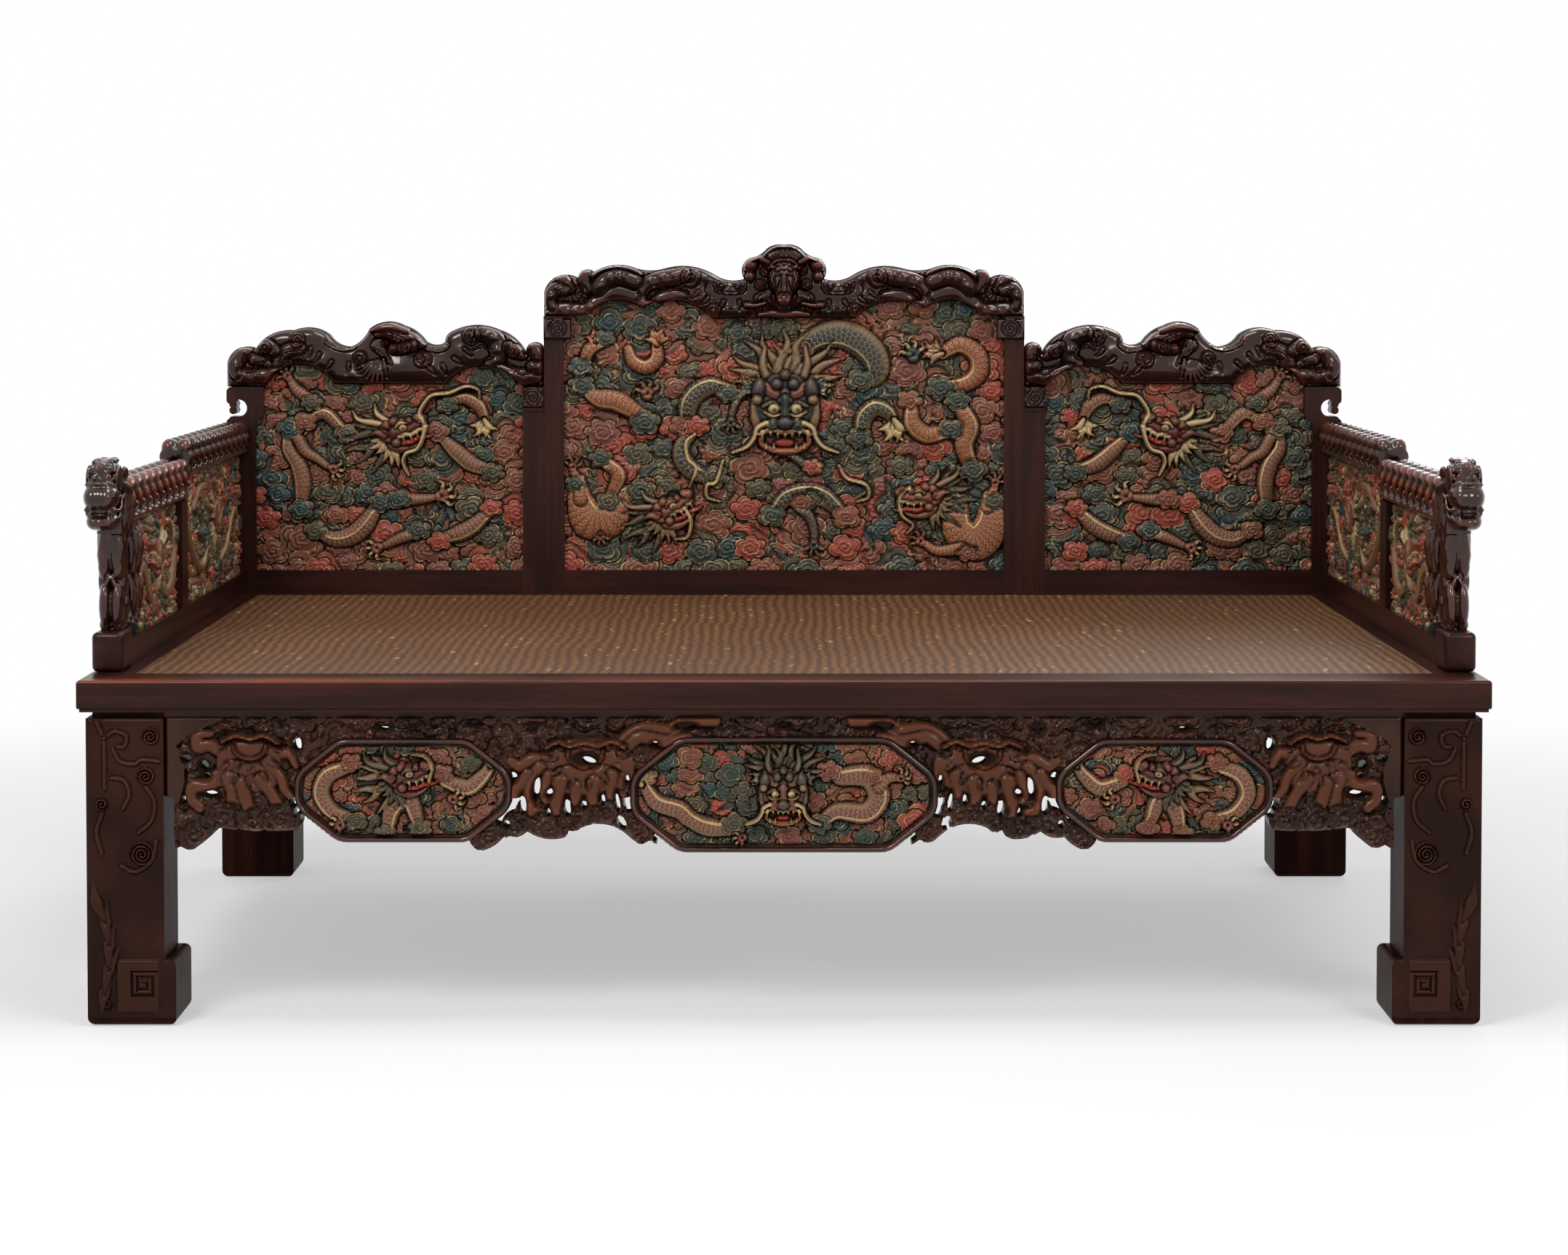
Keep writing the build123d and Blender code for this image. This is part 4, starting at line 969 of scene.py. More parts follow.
def cloud_field(relief: Relief, rng: np.random.Generator, spacing: float, radius: float,
                paints: list, base: float, rise: float, gilt: float = 0.8, groove: float = 2.2) -> None:
    """Fill a face with jostling cloud scrolls and their trailing wisps.

    Args:
        relief: the face.
        rng: source of the random draws.
        spacing: distance between clouds.
        radius: mean radius of a cloud.
        paints: colours to draw from, or [None].
        base: height of the lowest clouds.
        rise: height of a cloud's eye over its rim.
        gilt: gilt share on the ridges.
        groove: depth of the lines.
    """
    spots = []
    rows = int((relief.high[1] - relief.low[1]) / (spacing * 0.82)) + 2
    cols = int((relief.high[0] - relief.low[0]) / spacing) + 2
    for row in range(rows):
        for col in range(cols):
            x = relief.low[0] + (col + 0.5 * (row % 2)) * spacing + rng.normal(0, spacing * 0.13)
            z = relief.low[1] + row * spacing * 0.82 + rng.normal(0, spacing * 0.11)
            spots.append((x, z))
    order = rng.permutation(len(spots))
    paint_of = {i: paints[int(rng.integers(len(paints)))] for i in order}
    for i in order:
        x, z = spots[i]
        size, hand = radius * rng.uniform(0.75, 1.2), int(rng.choice([-1, 1]))
        turn, level = rng.uniform(0, math.tau), base + rng.uniform(0, rise * 0.6)
        lobes = int(rng.integers(4, 7))
        bend = turn + hand * 1.1
        tail = [(x, z), (x + size * 1.1 * math.cos(turn), z + size * 1.1 * math.sin(turn)),
                (x + size * 1.9 * math.cos(bend), z + size * 1.9 * math.sin(bend))]
        relief.stroke(tail, [size * 0.75, size * 0.5, 1.0], level - 2.5, rise * 0.55, paint_of[i],
                      strands(2.5, 1.5, gilt * 0.7), crease=2.0)
        relief.scroll(x, z, size, level, rise, paint_of[i], hand, turn, lobes, groove, gilt)


@dataclass
class Figure:
    """A figure drawn in its own frame on a relief."""

    relief: Relief
    x: float
    z: float
    size: float = 1.0
    flip: int = 1
    turn: float = 0.0
    base: float = 8.0

    def at(self, x: float, z: float) -> Point:
        """Place of a point of the figure on the relief."""
        turn = math.radians(self.turn)
        x, z = x * self.size, z * self.size
        u = x * math.cos(turn) - z * math.sin(turn)
        v = x * math.sin(turn) + z * math.cos(turn)
        return self.x + self.flip * u, self.z + v

    def stroke(self, points: list[Point], widths: list[float], rise: float, paint: Any = None,
               dress: Callable | None = None, gilding: float = 0.0, over: float = 0.0,
               crease: float = 3.0) -> None:
        """Lay a body along points of the figure."""
        self.relief.stroke([self.at(*p) for p in points], [w * self.size for w in widths],
                           self.base + over, rise * self.size, paint, dress, gilding, crease)

    def blob(self, x: float, z: float, wide: float, tall: float, rise: float, paint: Any = None,
             turn: float = 0.0, over: float = 0.0, square: float = 2.0, gilding: float = 0.0,
             crease: float = 3.0) -> None:
        """Lay a dome at a point of the figure."""
        px, pz = self.at(x, z)
        self.relief.blob(px, pz, wide * self.size, tall * self.size, self.base + over,
                         rise * self.size, paint, self.flip * (turn + self.turn), square, gilding, crease)

    def scroll(self, x: float, z: float, radius: float, rise: float, paint: Any = None, hand: int = 1,
               over: float = 0.0, gilt: float = 0.4) -> None:
        """Lay a plain spiral at a point of the figure."""
        px, pz = self.at(x, z)
        self.relief.scroll(px, pz, radius * self.size, self.base + over, rise * self.size, paint,
                           hand * self.flip, 0.6, 4, 2.0, gilt, 0.0)

    def eye(self, x: float, z: float, radius: float, over: float = 9.0) -> None:
        """Lay a bulging pale eye with a dark pupil and a lid."""
        self.blob(x, z, radius, radius, radius * 0.8, Paint.CREAM, over=over, gilding=0.3)
        self.blob(x + radius * 0.2, z - radius * 0.1, radius * 0.42, radius * 0.42, 1.5, Paint.INK,
                  over=over + radius * 0.6, crease=0.5)


def veil(figure: Figure, seed: int, places: list[tuple], base: float = 13.0) -> None:
    """Lay clouds over the ends of bodies.

    Args:
        figure: the frame that they are drawn in.
        seed: seed of the random draws.
        places: (across, up, radius) of each cloud.
        base: height of the clouds' rims.
    """
    rng = np.random.default_rng(seed)
    for x, z, radius in places:
        paint = CLOUD_PAINTS[int(rng.integers(len(CLOUD_PAINTS)))]
        hand, turn = int(rng.choice([-1, 1])), rng.uniform(0, 6)
        lobes = int(rng.integers(4, 7))
        figure.relief.scroll(*figure.at(x, z), radius, base, 5.0, paint, hand, turn, lobes, 2.4)


def claw(figure: Figure, x: float, z: float, size: float, turn: float, skin: Colour,
         nail: Colour = Paint.CREAM) -> None:
    """Lay a spread paw with four clawed toes.

    Args:
        figure: the frame that it is drawn in.
        x: middle across.
        z: middle up.
        size: radius of the paw.
        turn: direction that the toes point in, in degrees.
        skin: colour of the paw.
        nail: colour of the nails.
    """
    figure.blob(x, z, size * 0.75, size * 0.62, size * 0.35, skin, turn=turn, over=3.0)
    for spread in (-62, -20, 22, 66):
        way = math.radians(turn + spread)
        c, s = math.cos(way), math.sin(way)
        figure.stroke([(x + c * size * 0.4, z + s * size * 0.4), (x + c * size * 1.05, z + s * size * 1.05)],
                      [size * 0.30, size * 0.24], size * 0.28, skin, strands(0.9, 0.8, 0.1), over=4.0)
        figure.stroke([(x + c * size, z + s * size), (x + c * size * 1.35, z + s * size * 1.35),
                       (x + math.cos(way + 0.35) * size * 1.6, z + math.sin(way + 0.35) * size * 1.6)],
                      [size * 0.19, size * 0.13, 0.6], size * 0.22, nail, gilding=0.2, over=6.0)


def fan(figure: Figure, x: float, z: float, size: float, turn: float, paint: Colour,
        spread: float = 95.0, count: int = 6) -> None:
    """Lay a fan of tapering flames or tail feathers.

    Args:
        figure: the frame that it is drawn in.
        x: root across.
        z: root up.
        size: length of the flames.
        turn: direction of the middle flame in degrees.
        paint: colour.
        spread: angle of the whole fan.
        count: number of flames.
    """
    for number in range(count):
        share = number / (count - 1) - 0.5
        way = math.radians(turn + spread * share)
        far = size * (1.0 - 0.9 * share * share)
        bend = way + 0.30 * (1 if number % 2 else -1)
        figure.stroke([(x, z), (x + far * 0.55 * math.cos(way), z + far * 0.55 * math.sin(way)),
                       (x + far * math.cos(bend), z + far * math.sin(bend))],
                      [size * 0.10, size * 0.15, 0.6], size * 0.10, paint, strands(1.5, 1.2, 0.4),
                      gilding=0.25, over=2.0)


def side_head(figure: Figure, skin: Colour, mane: Colour, beard: Colour) -> None:
    """Lay a dragon's head in profile, about 110 mm long and facing right.

    Args:
        figure: the frame that it is drawn in, its origin at the cheek.
        skin: colour of the face.
        mane: colour of the mane.
        beard: colour of the beard and the frill.
    """
    for number, (x, z) in enumerate([(-86, 12), (-92, -14), (-76, -38), (-52, -62), (-74, 34), (-50, 48)]):
        figure.stroke([(-8, 6), (x * 0.45, z * 0.4 + 8 * (-1) ** number), (x * 0.75, z * 0.8), (x, z)],
                      [11, 9, 6, 1], 7, mane, strands(2.0, 1.8, 0.25))
    figure.stroke([(-14, 24), (-34, 30), (-58, 40), (-66, 58)], [6, 5.5, 4, 1], 6, beard, over=3)
    figure.stroke([(-6, 28), (-22, 44), (-24, 62)], [5, 4.5, 1], 6, beard, over=3)
    for x, z in ((-44, -2), (-46, -16), (-38, -28), (-26, -44), (-14, -56), (0, -62)):
        figure.stroke([(-4, -8), (x * 0.6, z * 0.6 - 4), (x, z)], [8, 7, 0.8], 5, beard,
                      strands(1.5, 1.4, 0.3), over=4)
    figure.stroke([(-2, -16), (14, -26), (36, -24), (50, -17)], [11, 10, 8, 5], 7, skin, over=4)
    figure.stroke([(8, -12), (30, -16), (48, -12)], [8, 8, 4], 1, Paint.INK, over=1)
    figure.stroke([(6, -14), (28, -17), (46, -12), (66, -13), (74, -9)], [4, 5, 5, 4, 0.8], 5,
                  Paint.RED, strands(0.9, 1.2, 0.1), over=5)
    figure.blob(2, 6, 27, 21, 12, skin, over=5)
    figure.stroke([(6, 6), (28, 8), (44, 12), (54, 18)], [16, 14, 11, 9], 10, skin, over=6)
    figure.stroke([(10, -5), (22, -2), (34, -4), (46, 1), (58, 6)], [3.5, 4, 4, 4, 3], 4, beard,
                  gilding=0.3, over=9)
    for x, z, tall in ((18, -8, 8), (32, -9, 6), (44, -5, 6), (54, 0, 10)):
        figure.stroke([(x, z + 3), (x + 1, z - tall)], [2.6, 0.6], 3, Paint.CREAM, over=10)
    figure.blob(56, 22, 10, 8, 8, skin, over=10)
    figure.scroll(50, 26, 7, 4, skin, over=14, gilt=0.1)
    for x, z, r in ((-8, 20, 8), (6, 25, 8), (20, 22, 7), (34, 22, 6), (-14, 6, 8), (4, -14, 8)):
        figure.blob(x, z, r, r, r * 0.8, skin, over=11)
    figure.eye(21, 12, 7, 13)
    figure.stroke([(8, 14), (18, 21), (30, 18)], [2, 3, 1], 3, beard, over=16, gilding=0.3)
    figure.stroke([(-16, 2), (-28, 10), (-40, 8)], [6, 6, 1], 5, skin, strands(1.2, 1.2, 0.2), over=9)


def front_head(figure: Figure, skin: Colour, mane: Colour) -> None:
    """Lay a dragon's head seen from the front, about 210 mm across its mane.

    Args:
        figure: the frame that it is drawn in, its origin between the eyes.
        skin: colour of the face.
        mane: colour of the mane.
    """
    tips = [(-6, 147), (-41, 136), (-74, 124), (-93, 95), (-99, 72), (-88, 50), (18, 128), (40, 139),
            (85, 122), (107, 92), (102, 60), (90, 44), (-22, 118)]
    for number, (x, z) in enumerate(tips):
        sway = 9 * (-1) ** number
        figure.stroke([(x * 0.16, 40), (x * 0.42 - sway * 0.4, 48 + (z - 48) * 0.35),
                       (x * 0.72 + sway, 48 + (z - 48) * 0.72), (x, z)],
                      [10, 10, 6.5, 0.9], 8, mane, strands(2.0, 2.0, 0.3), over=1 + (number % 3))
    for side in (-1, 1):
        fan(figure, side * 52, 34, 34, 90 - side * 62, Paint.TEAL, 80, 5)
        figure.stroke([(side * 34, 60), (side * 40, 82), (side * 36, 112)], [7, 6, 3], 8, mane, over=9,
                      gilding=0.25)
        figure.stroke([(side * 54, 16), (side * 53, -16), (side * 44, -46)], [7, 9, 6], 7, mane,
                      strands(1.5, 1.5, 0.3), over=6)
    figure.blob(0, 12, 50, 52, 10, skin, over=5, square=2.6)
    figure.blob(0, -34, 40, 20, 8, skin, over=9, square=2.6)
    figure.blob(-1, -54, 36, 17, 0, Paint.MAROON, over=2, square=2.8)
    figure.blob(-1, -60, 17, 8, 4, Paint.RED, over=4)
    figure.stroke([(-44, -44), (-42, -62), (-22, -73), (0, -75), (22, -73), (41, -62), (43, -44)],
                  [4, 5, 5.5, 6, 5.5, 5, 4], 6, Paint.ORANGE, strands(1.0, 1.6, 0.4), over=7)
    figure.stroke([(-46, -44), (-24, -36), (0, -41), (24, -36), (45, -44)], [4, 5.5, 5, 5.5, 4], 6,
                  Paint.TAN, gilding=0.35, over=13)
    for x, z, tall, wide in ((-41, -40, 17, 4.5), (41, -40, 17, 4.5), (-26, -42, 7, 3.4), (-13, -44, 7, 3.2),
                             (0, -45, 6, 3.2), (13, -44, 7, 3.2), (26, -42, 7, 3.4)):
        figure.stroke([(x, z), (x * 0.97, z - tall)], [wide, 0.8], 4, Paint.CREAM, over=13)
    for x in (-34, -20, 20, 34):
        figure.stroke([(x, -69), (x, -60)], [2.8, 0.8], 3, Paint.CREAM, over=12)
    for side in (-1, 1):
        figure.stroke([(side * 8, 26), (side * 22, 30), (side * 40, 44), (side * 48, 60)],
                      [8, 10, 9, 2], 8, Paint.BROWN, strands(1.5, 1.6, 0.3), over=10)
        figure.blob(side * 47, 36, 12, 20, 13, Paint.INK, turn=side * 8, over=11)
        figure.blob(side * 50, 18, 9, 9, 8, Paint.TAN, over=13, gilding=0.3)
        figure.stroke([(side * 6, -2), (side * 22, 12), (side * 40, 6)], [3, 5, 3], 6, Paint.MOSS, over=14,
                      gilding=0.3)
        figure.eye(side * 21, 1, 9.5, 13)
        figure.stroke([(side * 8, -8), (side * 22, -12), (side * 38, -4)], [2.5, 4, 2.5], 5, Paint.TAN,
                      over=14, gilding=0.4)
        figure.scroll(side * 21, -26, 12, 8, skin, side, over=14, gilt=0.5)
    for x, z, r in ((0, 62, 9), (-15, 46, 10), (15, 46, 10), (0, 30, 9), (-8, 16, 6), (8, 16, 6)):
        figure.blob(x, z, r, r, r * 0.9, Paint.INK, over=14)
    figure.stroke([(0, 20), (0, 0), (0, -16)], [9, 7, 9], 8, skin, strands(0.9, 1.4, 0.2), over=14)
    figure.blob(0, -24, 14, 11, 9, Paint.INK, over=18)
    for side in (-1, 1):
        figure.stroke([(side * 34, -24), (side * 50, -34), (side * 56, -52), (side * 70, -68),
                       (side * 96, -78)], [5, 4.5, 4, 3.4, 2], 6, Paint.CREAM, gilding=0.5, over=11)


@dataclass
class CentrePanel:
    """The middle dragon panel: one frontal dark dragon between two orange ones."""

    node: str = "back_centre_panel"
    face: float = 574.0
    step: float = 2.05

    def compose(self, relief: Relief) -> None:
        """Carve the figures over the clouds."""
        rng = np.random.default_rng(11)
        cloud_field(relief, rng, 44.0, 24.0, CLOUD_PAINTS, 3.0, 5.0)
        base = Figure(relief, 0.0, 0.0, base=9.0)
        dark = scales(9.0, 0.62, belly=Paint.TAN)
        dark_left = scales(9.0, -0.62, belly=Paint.TAN)
        for points, widths, dress in (
                ([(30, 930), (60, 958), (101, 965), (138, 950), (163, 922), (165, 893), (140, 878)],
                 [13, 20, 25, 27, 26, 22, 12], dark_left),
                ([(-176, 812), (-171, 841), (-156, 861), (-133, 872), (-108, 868)], [14, 18, 18, 17, 12],
                 dark),
                ([(-130, 704), (-166, 720), (-184, 745), (-180, 771), (-160, 790)], [10, 16, 17, 14, 8],
                 dark_left),
                ([(140, 786), (144, 816), (164, 833), (188, 824), (202, 800)], [14, 16, 16, 13, 7], dark),
                ([(-16, 646), (2, 669), (34, 679), (70, 673), (106, 641)], [11, 17, 19, 17, 11], dark)):
            base.stroke(points, widths, 12, Paint.SLATE, dress)
        for points, widths in (([(28, 655), (46, 636), (54, 610), (54, 592)], [11, 9, 7, 6]),
                               ([(-62, 872), (-82, 853), (-92, 828), (-95, 812)], [9, 8, 6, 5]),
                               ([(42, 727), (22, 742), (2, 752)], [8, 7, 5])):
            base.stroke(points, widths, 8, Paint.SLATE, scales(7.2), over=3)
        claw(base, 54, 585, 13, 268, Paint.SLATE, Paint.TAN)
        claw(base, -95, 806, 13, 262, Paint.SLATE, Paint.TAN)
        claw(base, -2, 753, 12, 150, Paint.SLATE, Paint.TAN)
        claw(base, 232, 927, 17, 98, Paint.TEAL)
        fan(base, 198, 812, 46, 270, Paint.CREAM, 80, 6)
        orange = scales(9.0, 0.7)
        orange_left = scales(9.0, -0.7)
        for points, widths, dress in (
                ([(-262, 672), (-292, 668), (-316, 634), (-348, 632), (-366, 662), (-371, 700)],
                 [16, 26, 34, 36, 24, 14], orange_left),
                ([(-280, 938), (-271, 916), (-248, 906), (-229, 921), (-229, 950)], [8, 12, 13, 12, 8],
                 orange),
                ([(-357, 866), (-334, 850), (-300, 844), (-258, 820)], [10, 18, 18, 13], orange_left),
                ([(-322, 735), (-298, 712), (-312, 674)], [11, 14, 9], orange),
                ([(-360, 912), (-350, 937), (-328, 950)], [9, 12, 9], orange_left),
                ([(284, 930), (316, 946), (346, 929), (350, 898), (328, 877), (290, 872)],
                 [10, 15, 17, 17, 14, 8], orange_left),
                ([(317, 836), (334, 800), (324, 766), (336, 728)], [13, 17, 17, 13], orange),
                ([(229, 838), (232, 804), (257, 784), (292, 790)], [11, 16, 16, 12], orange_left),
                ([(374, 668), (372, 620), (344, 592), (314, 615), (312, 652)], [18, 32, 36, 30, 20],
                 orange_left)):
            base.stroke(points, widths, 13, Paint.ORANGE, dress)
        for points in ([(-366, 668), (-369, 698), (-381, 722)], [(367, 655), (374, 676), (381, 694)],
                       [(320, 580), (277, 575), (251, 590)]):
            base.stroke(points, [12, 9, 6], 8, Paint.ORANGE, scales(7.2), over=4)
        for x, z, size, turn in ((-380, 726, 12, 80), (380, 698, 12, 70), (246, 592, 13, 130),
                                 (-246, 858, 16, 92), (-330, 602, 12, 275)):
            claw(base, x, z, size, turn, Paint.TERRACOTTA, Paint.TAN)
        fan(base, -228, 946, 34, 92, Paint.ORANGE, 100, 6)
        fan(base, 285, 930, 40, 168, Paint.TERRACOTTA, 80, 6)
        fan(base, -336, 952, 26, 120, Paint.CORAL, 100, 5)
        veil(base, 4, [(28, 934, 20), (136, 882, 20), (-182, 800, 19), (-100, 858, 17), (-124, 708, 20),
                       (-156, 800, 18), (136, 778, 19), (-22, 638, 20), (112, 636, 21), (48, 668, 18),
                       (-258, 682, 22), (-376, 696, 15), (-364, 874, 19), (-250, 806, 22), (-330, 742, 17),
                       (-316, 664, 18), (-366, 906, 18), (-322, 958, 15), (282, 868, 22), (312, 846, 19),
                       (340, 720, 21), (226, 846, 18), (300, 794, 19), (380, 664, 17), (306, 664, 20),
                       (330, 572, 16), (-62, 886, 15), (52, 726, 15), (30, 664, 15)])
        side_head(Figure(relief, -214, 640, 0.92, 1, 22, 12.0), Paint.TERRACOTTA, Paint.MOSS, Paint.TAN)
        side_head(Figure(relief, 262, 668, 0.92, -1, -8, 12.0), Paint.TERRACOTTA, Paint.MOSS, Paint.TAN)
        for points in ([(-110, 737), (-122, 700), (-138, 694), (-138, 672), (-116, 664)],
                       [(99, 728), (113, 706), (147, 694), (152, 672), (130, 663)],
                       [(-160, 786), (-176, 770), (-172, 740), (-158, 724), (-170, 690)],
                       [(-180, 655), (-168, 630), (-174, 600), (-196, 596)],
                       [(226, 690), (208, 672), (212, 640), (232, 622), (222, 606)]):
            base.stroke(points, [2.5, 3.4, 3.4, 2.8, 1.4], 5, Paint.CREAM, gilding=0.7, over=7)
        front_head(Figure(relief, 2, 830, 1.0, 1, 0, 10.0), Paint.SLATE, Paint.TAN)

    def build(self, finish: bpy.types.Material) -> bpy.types.Object:
        """Carve the panel and set it in the place of its CAD node."""
        return carve_panel(self.node, self.face, self.step, self.compose, finish)


@dataclass
class WingPanel:
    """A side panel of the back, with one dragon that faces the middle."""

    node: str
    side: int
    face: float = 574.0
    step: float = 1.85
    seed: int = 3
    middle: float = 709.0
    behind_stile: tuple = (927.0, 952.0, 770.0, 826.0)

    def compose(self, relief: Relief) -> None:
        """Carve the dragon over the clouds."""
        rng = np.random.default_rng(self.seed)
        cloud_field(relief, rng, 41.0, 22.0, CLOUD_PAINTS, 3.0, 5.0)
        base = Figure(relief, self.side * self.middle, 0.0, 1.0, -self.side, 0.0, 8.0)
        for points, widths, ridge in (
                ([(-184, 780), (-182, 758), (-166, 732), (-158, 700), (-160, 664)],
                 [9, 13, 15, 15, 11], -0.7),
                ([(-124, 606), (-100, 596), (-70, 602), (-46, 622), (-28, 648)], [10, 15, 17, 17, 12], 0.1),
                ([(98, 598), (126, 607), (150, 620), (172, 640)], [10, 15, 15, 11], -0.6),
                ([(96, 776), (122, 751), (146, 732), (172, 722)], [9, 14, 15, 11], -0.75),
                ([(116, 846), (138, 849), (160, 836), (170, 814)], [8, 11, 12, 8], 0.7),
                ([(-142, 814), (-116, 822), (-88, 796)], [8, 12, 10], 0.6)):
            base.stroke(points, widths, 11, Paint.BROWN, scales(8.0, ridge))
        for points in ([(-166, 778), (-152, 754), (-132, 742), (-114, 728)],
                       [(26, 667), (52, 668), (78, 671)], [(40, 606), (14, 596), (-12, 584)],
                       [(-150, 852), (-168, 866), (-180, 884)]):
            base.stroke(points, [10, 10, 8, 6], 8, Paint.BROWN, scales(7.0), over=3)
        veil(base, self.seed, [(-180, 796, 19), (-160, 650, 18), (-134, 612, 17), (-18, 662, 18),
                               (88, 592, 17), (182, 652, 16), (84, 790, 18), (184, 716, 17),
                               (104, 838, 16), (-152, 808, 17), (-78, 786, 17), (16, 668, 18),
                               (52, 612, 17), (-140, 842, 15)])
        for x, z, size, turn in ((92, 674, 17, 15), (-24, 580, 14, 200), (-184, 890, 13, 120),
                                 (-102, 722, 13, 330)):
            claw(base, x, z, size, turn, Paint.BROWN)
        fan(base, 170, 812, 38, 262, Paint.CREAM, 84, 6)
        side_head(Figure(relief, base.at(6, 783)[0], 783, 0.98, -self.side, 10, 10.0), Paint.MAROON,
                  Paint.MOSS, Paint.CREAM)
        for points in ([(58, 776), (62, 804), (54, 823), (64, 843), (78, 856), (108, 860), (136, 871),
                        (158, 866), (162, 850)],
                       [(66, 800), (58, 774), (48, 758), (30, 751), (24, 735), (34, 711)]):
            base.stroke(points, [3.0, 3.6, 3.6, 3.2, 1.6], 5, Paint.CREAM, gilding=0.6, over=12)

    def build(self, finish: bpy.types.Material) -> bpy.types.Object:
        """Carve the panel and set it in the place of its CAD node."""
        near, far, bottom, top = self.behind_stile
        ends = (near, far) if self.side > 0 else (-far, -near)
        return carve_panel(self.node, self.face, self.step, self.compose, finish, (*ends, bottom, top))


def carve_panel(node: str, face: float, step: float, compose: Callable,
                finish: bpy.types.Material, patch: tuple = ()) -> bpy.types.Object:
    """Carve a back panel inside the outline of its CAD node.

    Args:
        node: the CAD node that it stands for.
        face: where its ground lies, in millimetres.
        step: distance between grid points.
        compose: function that carves the relief.
        finish: its material.
        patch: (left, right, bottom, top) of a part that runs on behind a stile.

    Returns:
        The finished panel.
    """
    outline = Silhouette(node, 1, True)
    low, high = np.minimum(outline.low, patch[::2] or 1e9), np.maximum(outline.high, patch[1::2] or -1e9)
    relief = Relief(tuple(low), tuple(high), step, 0.0, Paint.BROWN)
    compose(relief)
    deepest = -5.0
    relief.level = np.maximum(relief.level, deepest)
    depth = outline.depth(relief.x, relief.z)
    if patch:
        left, right, bottom, top = patch
        inside = np.minimum(np.minimum(relief.x - left, right - relief.x),
                            np.minimum(relief.z - bottom, top - relief.z))
        depth = np.maximum(depth, inside)
    piece = carve(node + "_carved", relief, Board(Look.FRONT, face, face - outline.flat), finish, depth)
    return settle(piece, node)


# ------------------------------------------------------------------ crests
def pillow(relief: Relief, depth: Grid, reach: float, rise: float) -> None:
    """Round a board over towards its outline.

    Args:
        relief: the face that is rounded.
        depth: millimetres inside the outline.
        reach: width of the rounding.
        rise: height of the middle over the edge.
    """
    share = np.clip(depth / reach, 0, 1)
    relief.level += rise * np.sqrt(np.clip(1 - (1 - share) ** 2, 0, 1)) - rise


@dataclass
class Turnery:
    """Smooth rounded forms, curls and lines that a crest is carved with."""

    relief: Relief
    flip: int = 1

    def lumps(self, places: list[tuple]) -> None:
        """Raise soft swellings, each (across, up, half width, half height, rise)."""
        for x, z, wide, tall, rise in places:
            part = self.relief.window(self.flip * x, z, max(wide, tall) * 1.6)
            u = (self.relief.x[part] - self.flip * x) / wide
            v = (self.relief.z[part] - z) / tall
            self.relief.level[part] += rise * np.exp(-1.4 * (u * u + v * v))

    def curl(self, x: float, z: float, radius: float, hand: int = 1, base: float = 2.0,
             rise: float = 5.0) -> None:
        """Lay a spiral eye with a rounded ridge."""
        part = self.relief.window(self.flip * x, z, radius * 1.3 + 3)
        dx, dz = self.relief.x[part] - self.flip * x, self.relief.z[part] - z
        r, a = np.hypot(dx, dz), np.arctan2(dz, dx * self.flip)
        turns = 2.1
        phase = r / radius * turns - hand * a / math.tau
        ridge = smooth(np.cos(math.tau * (phase - turns + 0.2)) * 0.5 + 0.5)
        ground = self.relief.level[part]
        share = np.clip(1 - r / radius, 0, 1)
        top = ground + base + rise * share - 4.0 * (1 - ridge) * smooth(share * 6)
        self.relief.lay(part, radius - r, np.where(r < radius * 0.2, top + 2.5, top), crease=2.2)

    def drop(self, x: float, z: float, length: float = 18.0, turn: float = -60.0) -> None:
        """Lay a teardrop with a bead at its wide end."""
        turn = math.radians(turn)
        x0, z0 = self.flip * x, z
        x1, z1 = self.flip * (x + length * math.cos(turn)), z + length * math.sin(turn)
        ground = self.relief.level[self.relief.window(x0, z0, 1.0)].mean()
        self.relief.stroke([(x0, z0), ((x0 + x1) / 2 + 1, (z0 + z1) / 2), (x1, z1)], [3.4, 3.0, 0.7],
                           ground - 1.0, 4.0, crease=2.6)

    def line(self, points: list[Point], wide: float = 2.0, rise: float = 3.0) -> None:
        """Lay a thin raised line that follows the surface below it."""
        path = curve([(self.flip * x, z) for x, z in points], 1.2)
        for px, pz in path:
            part = self.relief.window(px, pz, wide * 3)
            r = np.hypot(self.relief.x[part] - px, self.relief.z[part] - pz)
            bump = np.clip(1 - (r / wide) ** 2, 0, 1)
            self.mark[part] = np.maximum(self.mark[part], bump)
            self.cut[part] = np.maximum(self.cut[part], np.clip(1 - (r / (wide * 2.2)) ** 2, 0, 1))
        self.relief.level += self.mark * rise - self.cut * (1 - np.minimum(self.mark * 3, 1)) * rise * 0.8
        self.mark[:] = 0
        self.cut[:] = 0

    def __post_init__(self) -> None:
        """Prepare the marks of thin lines."""
        self.mark = np.zeros(self.relief.x.shape)
        self.cut = np.zeros(self.relief.x.shape)

    def limb(self, points: list[Point], widths: list[float], base: float, rise: float) -> None:
        """Lay a thick rounded body."""
        self.relief.stroke([(self.flip * x, z) for x, z in points], widths, base, rise, crease=5.0)

    def plume(self, root: Point, tip: Point, width: float, base: float, sway: float = 3.0) -> None:
        """Lay one feather of a tuft."""
        middle = ((root[0] + tip[0]) / 2 + sway, (root[1] + tip[1]) / 2 - sway)
        points = [(self.flip * x, z) for x, z in (root, middle, tip)]
        self.relief.stroke(points, [width * 0.5, width, width * 0.35], base, 4.0, crease=2.4)


